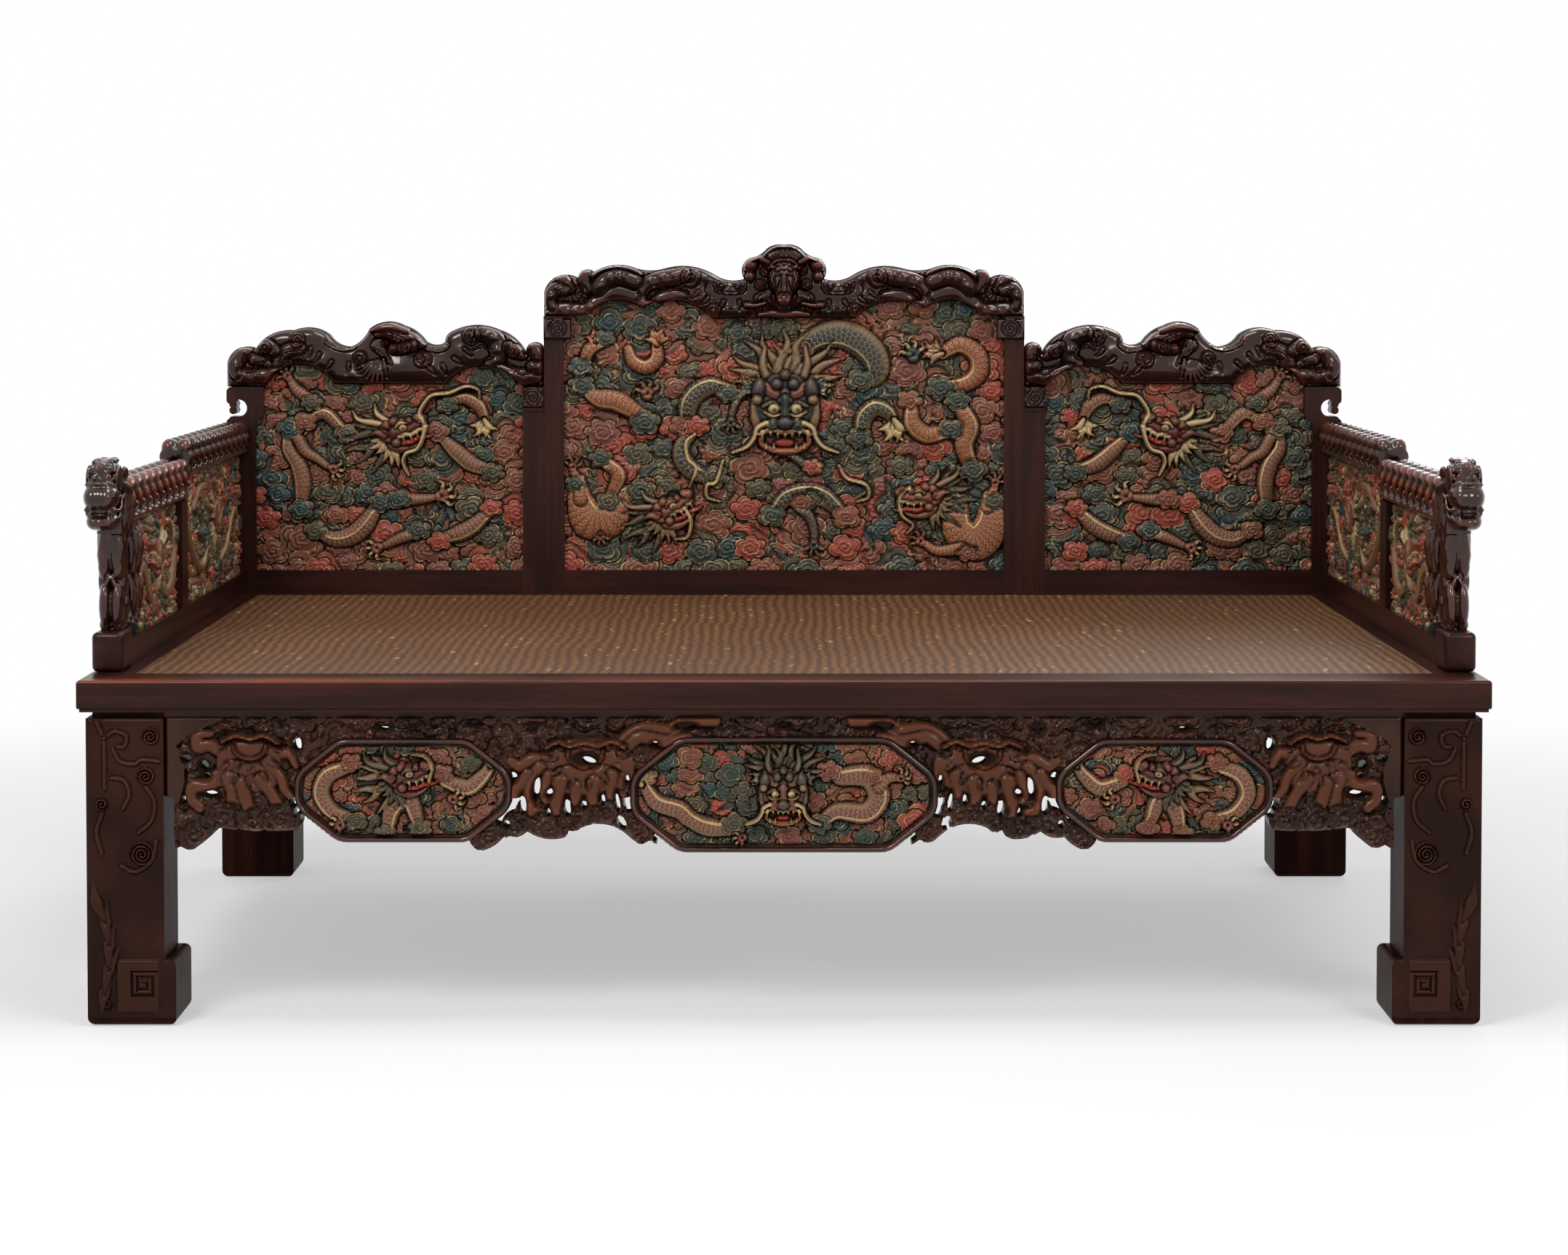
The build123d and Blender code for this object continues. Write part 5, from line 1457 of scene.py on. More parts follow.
def carve_crest(node: str, face: float, step: float, reach: float, compose: Callable,
                finish: bpy.types.Material, crown: float | None = None) -> bpy.types.Object:
    """Carve a crest inside the outline of its CAD node.

    Args:
        node: the CAD node that it stands for.
        face: where the middle of its rounded front lies, in millimetres.
        step: distance between grid points.
        reach: width of the rounding along its outline.
        compose: function that carves the relief.
        finish: its material.
        crown: where the back of the part that stands above the board lies.

    Returns:
        The finished crest.
    """
    outline = Silhouette(node, 1, True)
    relief = Relief(tuple(outline.low), (outline.high[0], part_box(node)[1].z / MM), step)
    depth = outline.depth(relief.x, relief.z)
    if crown is not None:
        depth = np.maximum(depth, Silhouette(node, 1, False, crown).depth(relief.x, relief.z) + 5.0)
    rounding, edge_width, edge_level, deepest = 15.0, 4.0, 18.0, -22.0
    pillow(relief, depth, reach, rounding)
    compose(relief)
    share = smooth(np.clip(depth / edge_width, 0, 1))
    relief.level = np.maximum(relief.level * share - edge_level * (1 - share), deepest)
    piece = carve(node + "_carved", relief, Board(Look.FRONT, face, face - outline.flat), finish, depth)
    return settle(piece, node)


@dataclass
class CentreCrest:
    """The middle crest: two long-bodied beasts that meet at a mask."""

    node: str = "back_centre_crest"
    face: float = 549.0
    crown: float = 534.0
    step: float = 1.5

    def half(self, relief: Relief, flip: int) -> None:
        """Carve one side of the mask."""
        tool = Turnery(relief, flip)
        tool.lumps([(150, 1035, 55, 14, 3), (90, 1012, 40, 12, 3), (140, 1068, 22, 12, 4)])
        tool.limb([(178, 1036), (200, 1036), (222, 1030), (238, 1018)], [7, 13, 12, 8], -4, 10)
        tool.limb([(180, 1072), (200, 1067), (225, 1063), (247, 1054), (260, 1036), (252, 1018),
                   (236, 1016)], [13, 15, 14, 14, 14, 12, 10], 0, 11)
        tool.limb([(256, 1072), (277, 1083), (300, 1087), (324, 1083), (344, 1070)], [3, 5, 5, 5, 4], 2, 5)
        tool.limb([(270, 1034), (292, 1041), (313, 1040), (332, 1026), (350, 1013), (376, 1007),
                   (404, 1010), (416, 1012)], [12, 14, 14, 14, 15, 15, 15, 12], 0, 10)
        tool.limb([(266, 1060), (294, 1068), (317, 1063), (334, 1048)], [13, 14, 15, 14], 3, 11)
        tool.limb([(350, 1046), (357, 1060), (359, 1074)], [8, 10, 12], 3, 10)
        tool.limb([(382, 1046), (392, 1058), (398, 1066)], [8, 11, 10], 2, 9)
        tool.limb([(392, 1044), (408, 1046), (420, 1030), (416, 1016)], [9, 13, 12, 9], 1, 10)
        tool.lumps([(199, 1074, 7, 7, 3), (222, 1071, 7, 7, 3), (244, 1064, 7, 7, 3), (240, 1020, 8, 8, 3),
                    (286, 1072, 5, 10, 3), (300, 1071, 5, 10, 3), (314, 1069, 5, 10, 3), (330, 1052, 7, 8, 4),
                    (349, 1016, 8, 7, 3), (377, 1010, 8, 8, 3), (404, 1012, 8, 8, 3), (409, 1050, 6, 5, 3),
                    (418, 1034, 6, 6, 3)])
        tool.line([(69, 1060), (72, 1043), (96, 1039), (120, 1043), (125, 1056)], 2.0, 3.5)
        tool.line([(138, 1058), (142, 1046), (134, 1034)], 1.6, 2.6)
        tool.line([(173, 1038), (180, 1049), (203, 1046), (226, 1050), (242, 1045), (243, 1032), (234, 1028)])
        tool.line([(398, 1044), (404, 1034), (398, 1026), (386, 1028)], 1.8, 2.6)
        tool.line([(70, 1018), (100, 1012), (128, 1030), (150, 1038)], 1.4, 1.8)
        for curl in ((82, 1052, 8, 1, 0, 3), (112, 1052, 8, -1, 0, 3), (167, 1067, 17, 1, 5, 6),
                     (127, 1006, 13, -1, 4, 6), (365, 1037, 15, 1, 7, 6), (53, 1003, 11, 1, 3, 5),
                     (31, 1009, 8, -1, 3, 4)):
            tool.curl(*curl)
        for x, z, turn in ((80, 1024, 270), (108, 1024, 300), (136, 1030, 320), (154, 1041, 315)):
            tool.drop(x, z, 15, turn)

    def mask(self, relief: Relief) -> None:
        """Carve the long-nosed mask under its fan of feathers."""
        rays = 26
        for number in range(rays + 1):
            way = math.pi * (0.08 + 0.84 * number / rays)
            c, s = math.cos(way), math.sin(way)
            relief.stroke([(c * 24, 1080 + s * 15), (c * 33, 1083 + s * 24), (c * 42, 1086 + s * 37)],
                          [1.8, 2.2, 2.0], 8, 3, crease=2.0)
            relief.blob(c * 41, 1086 + s * 37.5, 2.6, 2.6, 10, 4, crease=1.2)
            if number % 2 == 0:
                relief.blob(c * 31, 1082 + s * 23, 2.8, 2.6, 12, 4, crease=1.2)
        for side in (-1, 1):
            relief.blob(side * 60, 1090, 13, 14, 2, 12, turn=side * 20, crease=4)
            relief.blob(side * 60, 1070, 8, 9, 2, 9, crease=3)
            relief.stroke([(side * 28, 1094), (side * 44, 1102), (side * 56, 1098)], [5, 5, 2], 10, 6)
            for number in range(6):
                spread = number * 3.6
                relief.stroke([(side * (22 + spread), 1046 - number), (side * (27 + spread * 1.3), 1031),
                               (side * (14 + spread * 1.9), 1013 + number * 1.3)], [1.8, 2.6, 1.4], 6, 4,
                              crease=2.4)
            relief.stroke([(side * 34, 1021), (side * 52, 1017), (side * 68, 1018)], [3, 4, 5], 6, 6)
        tool = Turnery(relief, 1)
        for x, z, r, hand in ((-34, 1078, 8, 1), (32, 1080, 8, -1), (-43, 1054, 9, -1), (40, 1055, 9, 1)):
            tool.curl(x, z, r, hand, 10, 5)
        relief.stroke([(-44, 1001), (-22, 1003), (0, 1001), (22, 1003), (44, 1001)], [4, 6, 6, 6, 4], 2, 7)
        relief.blob(0, 1066, 27, 32, 8, 14, square=2.3, crease=5)
        relief.stroke([(0, 1078), (0, 1050), (0, 1028)], [22, 17, 13], 14, 12, crease=2)
        relief.stroke([(0, 1072), (0, 1050), (0, 1036)], [5, 4, 6], 26, 4, crease=1.4)
        relief.blob(0, 1030, 12, 10, 24, 7, square=3.0, crease=1.6)
        relief.stroke([(-8, 1037), (0, 1038.5), (8, 1037)], [1.2, 1.4, 1.2], 28, 3, crease=1.4)
        for side in (-1, 1):
            relief.blob(side * 12.5, 1058, 5.5, 14, 18, 3, turn=side * 14, crease=2.4)
            relief.blob(side * 12.5, 1057, 2.8, 8, 21, 3, turn=side * 14, crease=1.0)
            relief.stroke([(side * 17, 1078), (side * 21, 1064), (side * 16, 1046)], [2, 3, 1.5], 15, 4,
                          crease=1.6)
            relief.blob(side * 6, 1031, 2.4, 3, 29, -3, crease=0.5)
        for x, z in ((-20, 1086), (-10, 1090), (0, 1092), (10, 1090), (20, 1086), (-12, 1081), (0, 1083),
                     (12, 1081), (-5, 1075), (5, 1075)):
            relief.blob(x, z, 4.2, 4.0, 19, 5, crease=1.4)
        relief.stroke([(-28, 1083), (-16, 1096), (0, 1099), (16, 1096), (28, 1083)], [2, 2.6, 2.6, 2.6, 2],
                      18, 4, crease=1.6)

    def compose(self, relief: Relief) -> None:
        """Carve both sides and the mask."""
        for flip in (1, -1):
            self.half(relief, flip)
        self.mask(relief)

    def build(self, finish: bpy.types.Material) -> bpy.types.Object:
        """Carve the crest and set it in the place of its CAD node."""
        return carve_crest(self.node, self.face, self.step, 15.0, self.compose, finish, self.crown)


@dataclass
class WingCrest:
    """A wing crest: one wavy body, with a crested head that looks over it."""

    node: str
    side: int
    face: float = 549.0
    step: float = 1.45

    def head(self, tool: Turnery) -> None:
        """Carve the head, its swept crest, its mane and the tuft below it."""
        for number in range(7):
            root = (722 + number * 2.2, 960 - number * 1.2)
            tool.plume(root, (704 + number * 5.0, 911 + number * 4.5), 3.4, 5, 2.0)
        for tip in ((767, 904), (764, 896), (758, 889), (749, 884), (740, 881), (730, 880), (720, 884),
                    (712, 890)):
            tool.plume((717, 921), tip, 5.2, 4, 1.0)
        tool.limb([(653, 952), (672, 956), (692, 965), (712, 970), (728, 966)], [12, 14, 15, 12, 6], 7, 12)
        tool.limb([(676, 972), (700, 978), (722, 977), (742, 971)], [5, 8, 6, 1.5], 12, 6)
        tool.limb([(664, 946), (680, 941), (698, 940)], [10, 10, 9], 8, 9)
        tool.line([(712, 955), (700, 962), (686, 960), (678, 954)], 1.6, 3.0)
        tool.line([(712, 955), (700, 951), (688, 954), (678, 954)], 1.4, 2.4)
        tool.lumps([(696, 957, 4.5, 3.6, 5), (655, 958, 7, 8, 4), (668, 932, 10, 6, 3)])
        tool.curl(676, 944, 9.5, 1, 8, 4)
        tool.curl(700, 941, 9.5, -1, 6, 5)
        tool.curl(714, 950, 6, 1, 7, 3)

    def compose(self, relief: Relief) -> None:
        """Carve the body and everything on it."""
        tool = Turnery(relief, self.side)
        tool.lumps([(830, 915, 40, 22, 5), (760, 892, 45, 18, 6), (690, 905, 45, 26, 7),
                    (625, 905, 40, 20, 6), (870, 935, 26, 18, 4), (575, 935, 26, 18, 4)])
        tool.limb([(918, 905), (904, 912), (902, 926), (886, 938), (866, 940)], [10, 13, 13, 12, 10], 0, 8)
        tool.limb([(942, 938), (926, 944), (912, 936)], [10, 13, 11], 1, 9)
        tool.limb([(900, 894), (922, 893), (950, 890), (976, 892)], [13, 14, 13, 13], 0, 10)
        tool.limb([(966, 932), (976, 922), (984, 908), (982, 896)], [13, 12, 14, 11], 2, 10)
        tool.limb([(950, 921), (934, 918), (924, 912)], [10, 9, 7], 0, 8)
        tool.limb([(540, 967), (522, 960), (512, 942), (514, 922), (526, 912)], [13, 16, 17, 15, 11], 2, 11)
        tool.limb([(510, 902), (490, 893), (468, 889), (446, 890)], [12, 15, 15, 12], 0, 10)
        tool.limb([(494, 944), (484, 936), (470, 930)], [9, 12, 10], 2, 8)
        tool.limb([(443, 920), (443, 934), (446, 944)], [9, 11, 10], 2, 9)
        tool.limb([(440, 906), (452, 908)], [12, 10], 2, 9)
        tool.lumps([(534, 965, 8, 7, 3), (515, 960, 8, 7, 3), (512, 937, 8, 8, 3), (517, 918, 7, 7, 3),
                    (968, 935, 7, 6, 3), (980, 908, 7, 7, 3), (946, 893, 8, 7, 3), (970, 893, 7, 7, 3),
                    (916, 901, 8, 7, 3), (478, 894, 9, 8, 3), (452, 891, 8, 8, 3), (441, 908, 6, 6, 3)])
        tool.line([(816, 962), (822, 952), (809, 942), (790, 937), (771, 941), (765, 951)], 2.0, 3.4)
        tool.line([(654, 944), (634, 937), (614, 936), (600, 947), (604, 958)], 2.0, 3.4)
        tool.line([(904, 910), (902, 926), (886, 937), (868, 935), (862, 926)], 1.9, 2.6)
        tool.line([(557, 938), (543, 944), (526, 937), (523, 926), (535, 920)], 1.9, 3.0)
        tool.line([(973, 912), (962, 899), (943, 907), (926, 921)], 1.8, 2.8)
        tool.line([(495, 913), (481, 904), (470, 895), (458, 900), (455, 908)], 1.8, 2.8)
        for x, z, turn in ((848, 940, 285), (833, 930, 300), (811, 916, 310), (780, 912, 285),
                           (637, 906, 225), (612, 910, 250), (592, 922, 215), (572, 939, 225)):
            tool.drop(x, z, 17, turn)
        self.head(tool)
        for x, z, r, hand in ((872, 955, 13, 1), (928, 942, 10, -1), (889, 913, 8, 1), (760, 922, 12, -1),
                              (647, 921, 15, 1), (560, 963, 16, -1), (486, 936, 12, 1)):
            tool.curl(x, z, r, hand, 5, 5)

    def build(self, finish: bpy.types.Material) -> bpy.types.Object:
        """Carve the crest and set it in the place of its CAD node."""
        return carve_crest(self.node, self.face, self.step, 17.0, self.compose, finish)


# ------------------------------------------------------------------ aprons
def pierce(relief: Relief, x: float, z: float, wide: float, tall: float, turn: float = 0.0) -> None:
    """Cut an oval hole right through, with rounded lips.

    Args:
        relief: the face.
        x: middle across.
        z: middle up.
        wide: half its width.
        tall: half its height.
        turn: degrees that it is turned anticlockwise.
    """
    part = relief.window(x, z, max(wide, tall) + 14)
    turn = math.radians(turn)
    dx, dz = relief.x[part] - x, relief.z[part] - z
    u = (dx * math.cos(turn) + dz * math.sin(turn)) / wide
    v = (dz * math.cos(turn) - dx * math.sin(turn)) / tall
    far = (np.hypot(u, v) - 1) * min(wide, tall) * (0.75 + 0.25 * max(wide, tall) / min(wide, tall))
    relief.hole[part] = np.minimum(relief.hole[part], far)
    relief.level[part] -= 7.0 * (1 - smooth(far / 7.0))


@dataclass
class Hide:
    """A spread beast skin, its limbs flowing down in waves, on an apron."""

    relief: Relief
    x: float
    z: float
    flip: int = 1

    def at(self, x: float, z: float) -> Point:
        """Place of a point of the skin on the relief."""
        return self.x + self.flip * x, self.z + z

    def limb(self, points: list[Point], widths: list[float], over: float = 0.0) -> None:
        """Lay one rounded limb, thicker where it lies on the ground."""
        grown = [width * (1.0 if over else 1.22) for width in widths]
        self.relief.stroke([self.at(*point) for point in points], grown, 1.5 + over, 9.0, gilding=1.0)

    def skin(self, outline: list[tuple]) -> None:
        """Lay the broad back as merged domes, each (across, up, half width, half height)."""
        for x, z, wide, tall in outline:
            self.relief.blob(*self.at(x, z), wide, tall, 2.0, 9.0, square=2.4, gilding=1.0, crease=0.5)

    def holes(self, places: list[tuple]) -> None:
        """Cut holes beside the limbs, each (across, up, half width, half height, degrees turned)."""
        for x, z, wide, tall, turn in places:
            pierce(self.relief, *self.at(x, z), wide, tall, self.flip * turn)

    def marks(self, drops: list[tuple], curls: list[tuple]) -> None:
        """Lay the teardrops and curls of the pelt."""
        tool = Turnery(self.relief, 1)
        for x, z, turn in drops:
            tool.drop(*self.at(x, z), 13, turn if self.flip > 0 else 180 - turn)
        for x, z, radius in curls:
            tool.curl(*self.at(x, z), radius, self.flip, 3, 4)

    def between(self) -> None:
        """The broad skin that hangs between two medallions."""
        self.limb([(63, 17), (81, 42), (107, 56), (142, 54), (172, 68), (207, 67)], [8, 9, 8, 8, 9, 7])
        self.limb([(78, 27), (100, 44), (133, 39), (168, 42)], [7, 8, 8, 6])
        self.limb([(-37, 8), (-55, 11), (-72, 2), (-86, 9)], [9, 8, 8, 5])
        self.skin([(26, 12, 62, 30), (-8, 2, 36, 30), (56, 0, 36, 30), (22, -16, 54, 24)])
        for points, widths in (([(-44, 0), (-60, -17), (-65, -37), (-58, -60), (-41, -66)], [8, 8, 7, 8, 5]),
                               ([(-62, -8), (-81, -39), (-83, -62), (-77, -81), (-60, -86)], [6, 7, 7, 8, 5]),
                               ([(-31, -12), (-40, -33), (-35, -48)], [8, 7, 5]),
                               ([(-15, -20), (-21, -54), (-17, -73), (-21, -92)], [10, 8, 9, 8]),
                               ([(7, -26), (7, -54), (2, -84)], [8, 6, 8]),
                               ([(33, -20), (31, -50), (43, -69), (56, -86)], [9, 7, 8, 8]),
                               ([(60, -10), (57, -35), (54, -62), (64, -78)], [8, 6, 6, 6])):
            self.limb(points, widths)
        self.limb([(-34, 30), (-16, 37), (-2, 31), (19, 36), (41, 32), (59, 38), (78, 30)], [3] * 7, 5)
        self.limb([(-4, 26), (0, 11), (19, 1), (41, 9), (47, 25)], [2] * 5, 7)
        self.relief.blob(*self.at(22, 13), 19, 10, -3, 4)
        self.marks([(-22, 14, 200), (-16, -2, 220), (4, -18, 250), (26, -20, 270), (48, -12, 300),
                    (66, 4, 320), (70, 22, 340)], [(-34, 27, 9), (76, 24, 10), (-12, 30, 5), (54, 30, 5)])
        self.holes([(26, 8, 11, 6, -20), (-83, -14, 5.5, 6, 0), (-49, -30, 5, 14, -10),
                    (-31, -38, 4.5, 7, -35), (-69, -55, 5.5, 14, 0), (-5, -60, 5, 12, 5), (19, -55, 4, 6, 0),
                    (46, -48, 3.4, 7, 0), (67, -52, 3.6, 13, 8), (73, -80, 6, 11, 25), (-32, -66, 3, 6, 0),
                    (-92, -82, 5, 6, 0), (81, -18, 3, 7, 0), (-57, 56, 9, 6, 20), (121, 34, 5, 4, 0),
                    (163, 58, 12, 4.5, 12)])

    def corner(self) -> None:
        """The narrower skin beside a leg."""
        self.limb([(-30, 30), (-52, 40), (-68, 38), (-68, 54), (-50, 56)], [9, 8, 8, 7, 4])
        self.limb([(-32, -2), (-58, -18), (-76, -20), (-78, -37), (-66, -50)], [10, 9, 8, 7, 6])
        self.limb([(27, 35), (45, 28), (62, 28), (72, 10)], [8, 7, 6, 4])
        self.skin([(4, 16, 46, 32), (-12, -2, 30, 24), (18, -4, 30, 24)])
        for points, widths in (([(-23, -8), (-17, -29), (-19, -54)], [10, 9, 8]),
                               ([(-6, -14), (2, -44), (14, -66), (28, -74)], [9, 8, 8, 7]),
                               ([(22, -8), (39, -33), (50, -57), (58, -78)], [9, 7, 7, 6]),
                               ([(31, 17), (49, -4), (56, -24), (68, -38)], [8, 6, 6, 4])):
            self.limb(points, widths)
        self.limb([(-32, 47), (-12, 54), (8, 50), (27, 54), (48, 44)], [3] * 5, 5)
        self.limb([(-18, 40), (-10, 27), (8, 21), (26, 28), (30, 40)], [2] * 5, 7)
        self.marks([(-26, 12, 210), (-14, -4, 240), (4, -8, 270), (24, 0, 300), (36, 16, 330),
                    (-10, 16, 230)], [(-32, 44, 8), (47, 40, 9), (10, 4, 5)])
        self.holes([(-86, 20, 8, 6, 20), (-60, 10, 6.5, 7.5, 0), (-56, -5, 5.5, 4.5, 0),
                    (-52, -31, 11, 5, 5), (-91, -40, 3.4, 6, 0), (73, 41, 6, 11, 0), (71, -58, 3, 7, 0)])


@dataclass
class Apron:
    """A pierced apron carved with clouds and beast skins."""

    node: str
    look: Look
    face: float
    step: float = 2.1
    seed: int = 21
    hides: tuple = ()
    corners: tuple = ()
    slits: tuple = ()
    bracket: float = 0.0
    shoulder: float = 330.0
    edge_clouds: float = 41.0

    def bracket_edge(self, relief: Relief, flip: int) -> None:
        """Lay the plain bracket with a waved edge beside a leg."""
        reach = self.bracket
        edge_z = [285, 300, 325, 345, 365, 385, 403, 418, 432, 444]
        edge_x = [0, 2, 22, 29, 30, 24, 18, 34, 66, 92]
        inside = np.interp(relief.z, edge_z, edge_x) - (reach - relief.x * flip)
        inside = np.where((relief.z > 288) & (relief.z < 446), inside, -50.0)
        relief.lay((slice(None), slice(None)), inside, np.full(inside.shape, 1.0), crease=4.0)

    def rim(self, relief: Relief, depth: Grid) -> None:
        """Cut the lower edge along a row of clouds."""
        union = np.full(relief.x.shape, -50.0)
        width = relief.high[0] - relief.low[0]
        number = 0
        for share in np.linspace(0, 1, int(width / self.edge_clouds)):
            column = min(relief.x.shape[1] - 1, int(share * (relief.x.shape[1] - 1)))
            rows = np.flatnonzero(depth[:, column] > 15.0)
            if not rows.size or relief.z[rows[0], 0] > self.shoulder:
                continue
            x, z = relief.x[0, column], relief.z[rows[0], 0]
            radius = 23.0 + 3.0 * math.sin(number * 2.3)
            number += 1
            relief.scroll(x, z, radius, -1.0, 6.0, None, 1 if number % 2 else -1, number * 1.7, 5, 3.8, 0.0)
            union = np.maximum(union, radius * 1.02 - np.hypot((relief.x - x) * 0.88, (relief.z - z) * 1.12))
        near = smooth((30.0 - depth) / 8.0) * (relief.z < self.shoulder)
        keep = np.maximum(union, depth - 14.0)
        relief.hole = np.where(near > 0, np.minimum(relief.hole, keep), relief.hole)

    def compose(self, relief: Relief, depth: Grid) -> None:
        """Carve the clouds, the skins and the holes."""
        rng = np.random.default_rng(self.seed)
        cloud_field(relief, rng, 37.0, 19.5, [None], -3.0, 7.0, gilt=0.0, groove=3.8)
        for x, z, flip in self.hides:
            Hide(relief, x, z, flip).between()
        for x, z, flip in self.corners:
            Hide(relief, x, z, flip).corner()
        if self.bracket:
            for flip in (-1, 1):
                self.bracket_edge(relief, flip)
        for x, z, wide, tall in self.slits:
            pierce(relief, x, z, wide, tall)
        self.rim(relief, depth)
        strip = relief.z > WAIST
        edge = smooth(np.clip(depth / 5.0, 0, 1))
        relief.level = np.where(strip, -2.0, np.maximum(relief.level * edge - 9.0 * (1 - edge), -14.0))

    def build(self, finish: bpy.types.Material) -> bpy.types.Object:
        """Carve the apron and set it in the place of its CAD node."""
        axis, way = self.look.value
        outline = Silhouette(self.node, axis, way < 0)
        relief = Relief(tuple(outline.low), tuple(outline.high), self.step)
        depth = outline.depth(relief.x, relief.z)
        self.compose(relief, depth)
        board = Board(self.look, self.face, -abs(self.face - outline.flat))
        piece = carve(self.node + "_carved", relief, board, finish, depth)
        return settle(piece, self.node)


class Scene(Enum):
    """What a medallion shows."""

    FRONTAL = "a dragon seen from the front"
    PROFILE = "a dragon in profile"


@dataclass
class Medallion:
    """A lacquered medallion in a rounded wooden bead."""

    node: str
    look: Look
    face: float
    middle: Point
    scene: Scene = Scene.PROFILE
    flip: int = 1
    step: float = 1.3
    seed: int = 31
    bead: float = 9.5
    bead_rise: float = 8.5
    lap: float = 5.0

    def frontal(self, figure: Figure) -> None:
        """Carve the frontal dragon and the loops of its body."""
        skin = scales(6.8, 0.6, belly=Paint.TAN)
        for points, widths in (([(-180, 10), (-162, -15), (-130, -26), (-116, -38), (-92, -50), (-56, -54)],
                                [8, 12, 13, 12, 13, 9]),
                               ([(100, 22), (140, 22), (156, -6), (138, -30), (98, -28), (78, -40)],
                                [12, 16, 16, 15, 13, 9])):
            figure.stroke(points, widths, 9, Paint.ROSE, skin)
        figure.stroke([(156, 8), (170, 20), (186, 20)], [9, 7, 5], 7, Paint.ROSE, scales(6.0), over=3)
        veil(figure, self.seed, [(-176, 22, 12), (-52, -46, 15), (84, 30, 15), (70, -46, 14),
                                 (150, 22, 11)], 9.0)
        fan(figure, -184, 10, 34, 110, Paint.TAN, 120, 6)
        fan(figure, 44, 70, 24, 40, Paint.ROSE, 90, 5)
        claw(figure, 188, 20, 9, 20, Paint.ROSE)
        claw(figure, -40, -66, 9, 200, Paint.ROSE)
        middle = figure.at(19, -2)
        front_head(Figure(figure.relief, middle[0], middle[1], 0.56, 1, 0, 9.0), Paint.ROSE, Paint.MOSS)

    def profile(self, figure: Figure) -> None:
        """Carve the dragon in profile and the loops of its body."""
        skin = scales(6.8, -0.6, belly=Paint.TAN)
        for points, widths in (([(-80, 34), (-108, 22), (-118, -4), (-102, -30), (-76, -40)],
                                [9, 12, 12, 11, 8]),
                               ([(-22, -54), (-14, -24), (8, -14), (20, -42)], [9, 13, 13, 9]),
                               ([(60, 14), (92, 4), (114, 20), (126, 36)], [9, 12, 11, 7])):
            figure.stroke(points, widths, 9, Paint.ROSE, skin)
        veil(figure, self.seed, [(-74, 40, 13), (-68, -44, 13), (-26, -62, 13), (24, -54, 13),
                                 (56, 24, 13)], 9.0)
        fan(figure, 126, 34, 26, 70, Paint.TAN, 110, 6)
        claw(figure, -90, -50, 11, 190, Paint.ROSE)
        claw(figure, 72, -12, 11, 350, Paint.ROSE)
        middle = figure.at(-4, 16)
        side_head(Figure(figure.relief, middle[0], middle[1], 0.74, self.flip, 6, 8.0), Paint.MAROON,
                  Paint.TAN, Paint.MOSS)
        figure.stroke([(38, 14), (42, 36), (30, 50), (12, 52)], [2.4, 2.4, 2.0, 1.2], 4, Paint.TAN, over=9,
                      gilding=0.5)

    def compose(self, relief: Relief) -> None:
        """Carve the figure over its clouds."""
        rng = np.random.default_rng(self.seed)
        cloud_field(relief, rng, 27.0, 14.5, CLOUD_PAINTS, -1.0, 4.0)
        figure = Figure(relief, self.middle[0], self.middle[1], 1.0, self.flip, 0.0, 5.0)
        if self.scene is Scene.FRONTAL:
            self.frontal(figure)
        else:
            self.profile(figure)

    def build(self, finish: bpy.types.Material, wood: bpy.types.Material) -> bpy.types.Object:
        """Carve the medallion and set it in the place of its CAD node.

        Args:
            finish: the lacquer of its picture.
            wood: the finish of its bead.

        Returns:
            The finished medallion.
        """
        axis, way = self.look.value
        outline = Silhouette(self.node, axis, way < 0)
        low = tuple(outline.low - self.lap)
        relief = Relief(low, tuple(outline.high + self.lap), self.step, -4.0, Paint.MOSS)
        depth = outline.depth(relief.x, relief.z) + self.lap
        self.compose(relief)
        share = np.clip((depth - self.bead / 2) / (self.bead / 2), -1, 1)
        ring = depth < self.bead
        shadow = smooth((depth - self.bead) / 6.0)
        sunk = relief.level * shadow - 4 * (1 - shadow)
        relief.level = np.where(ring, self.bead_rise * np.sqrt(1 - share**2) - 0.5, sunk)
        relief.paint[ring] = Paint.BEAD
        relief.gilding[ring] = 0.0
        relief.coat[ring] = 0.0
        board = Board(self.look, self.face, -abs(self.face - outline.flat))
        piece = carve(self.node + "_carved", relief, board, finish, depth)
        piece.data.materials.append(wood)
        centres = np.empty(len(piece.data.polygons) * 3)
        piece.data.polygons.foreach_get("center", centres)
        centres = centres.reshape(-1, 3) / MM
        inside = outline.depth(centres[:, 1 - axis], centres[:, 2]) + self.lap
        piece.data.polygons.foreach_set("material_index", (inside < self.bead - 0.8).astype(np.int32))
        return settle(piece, self.node)


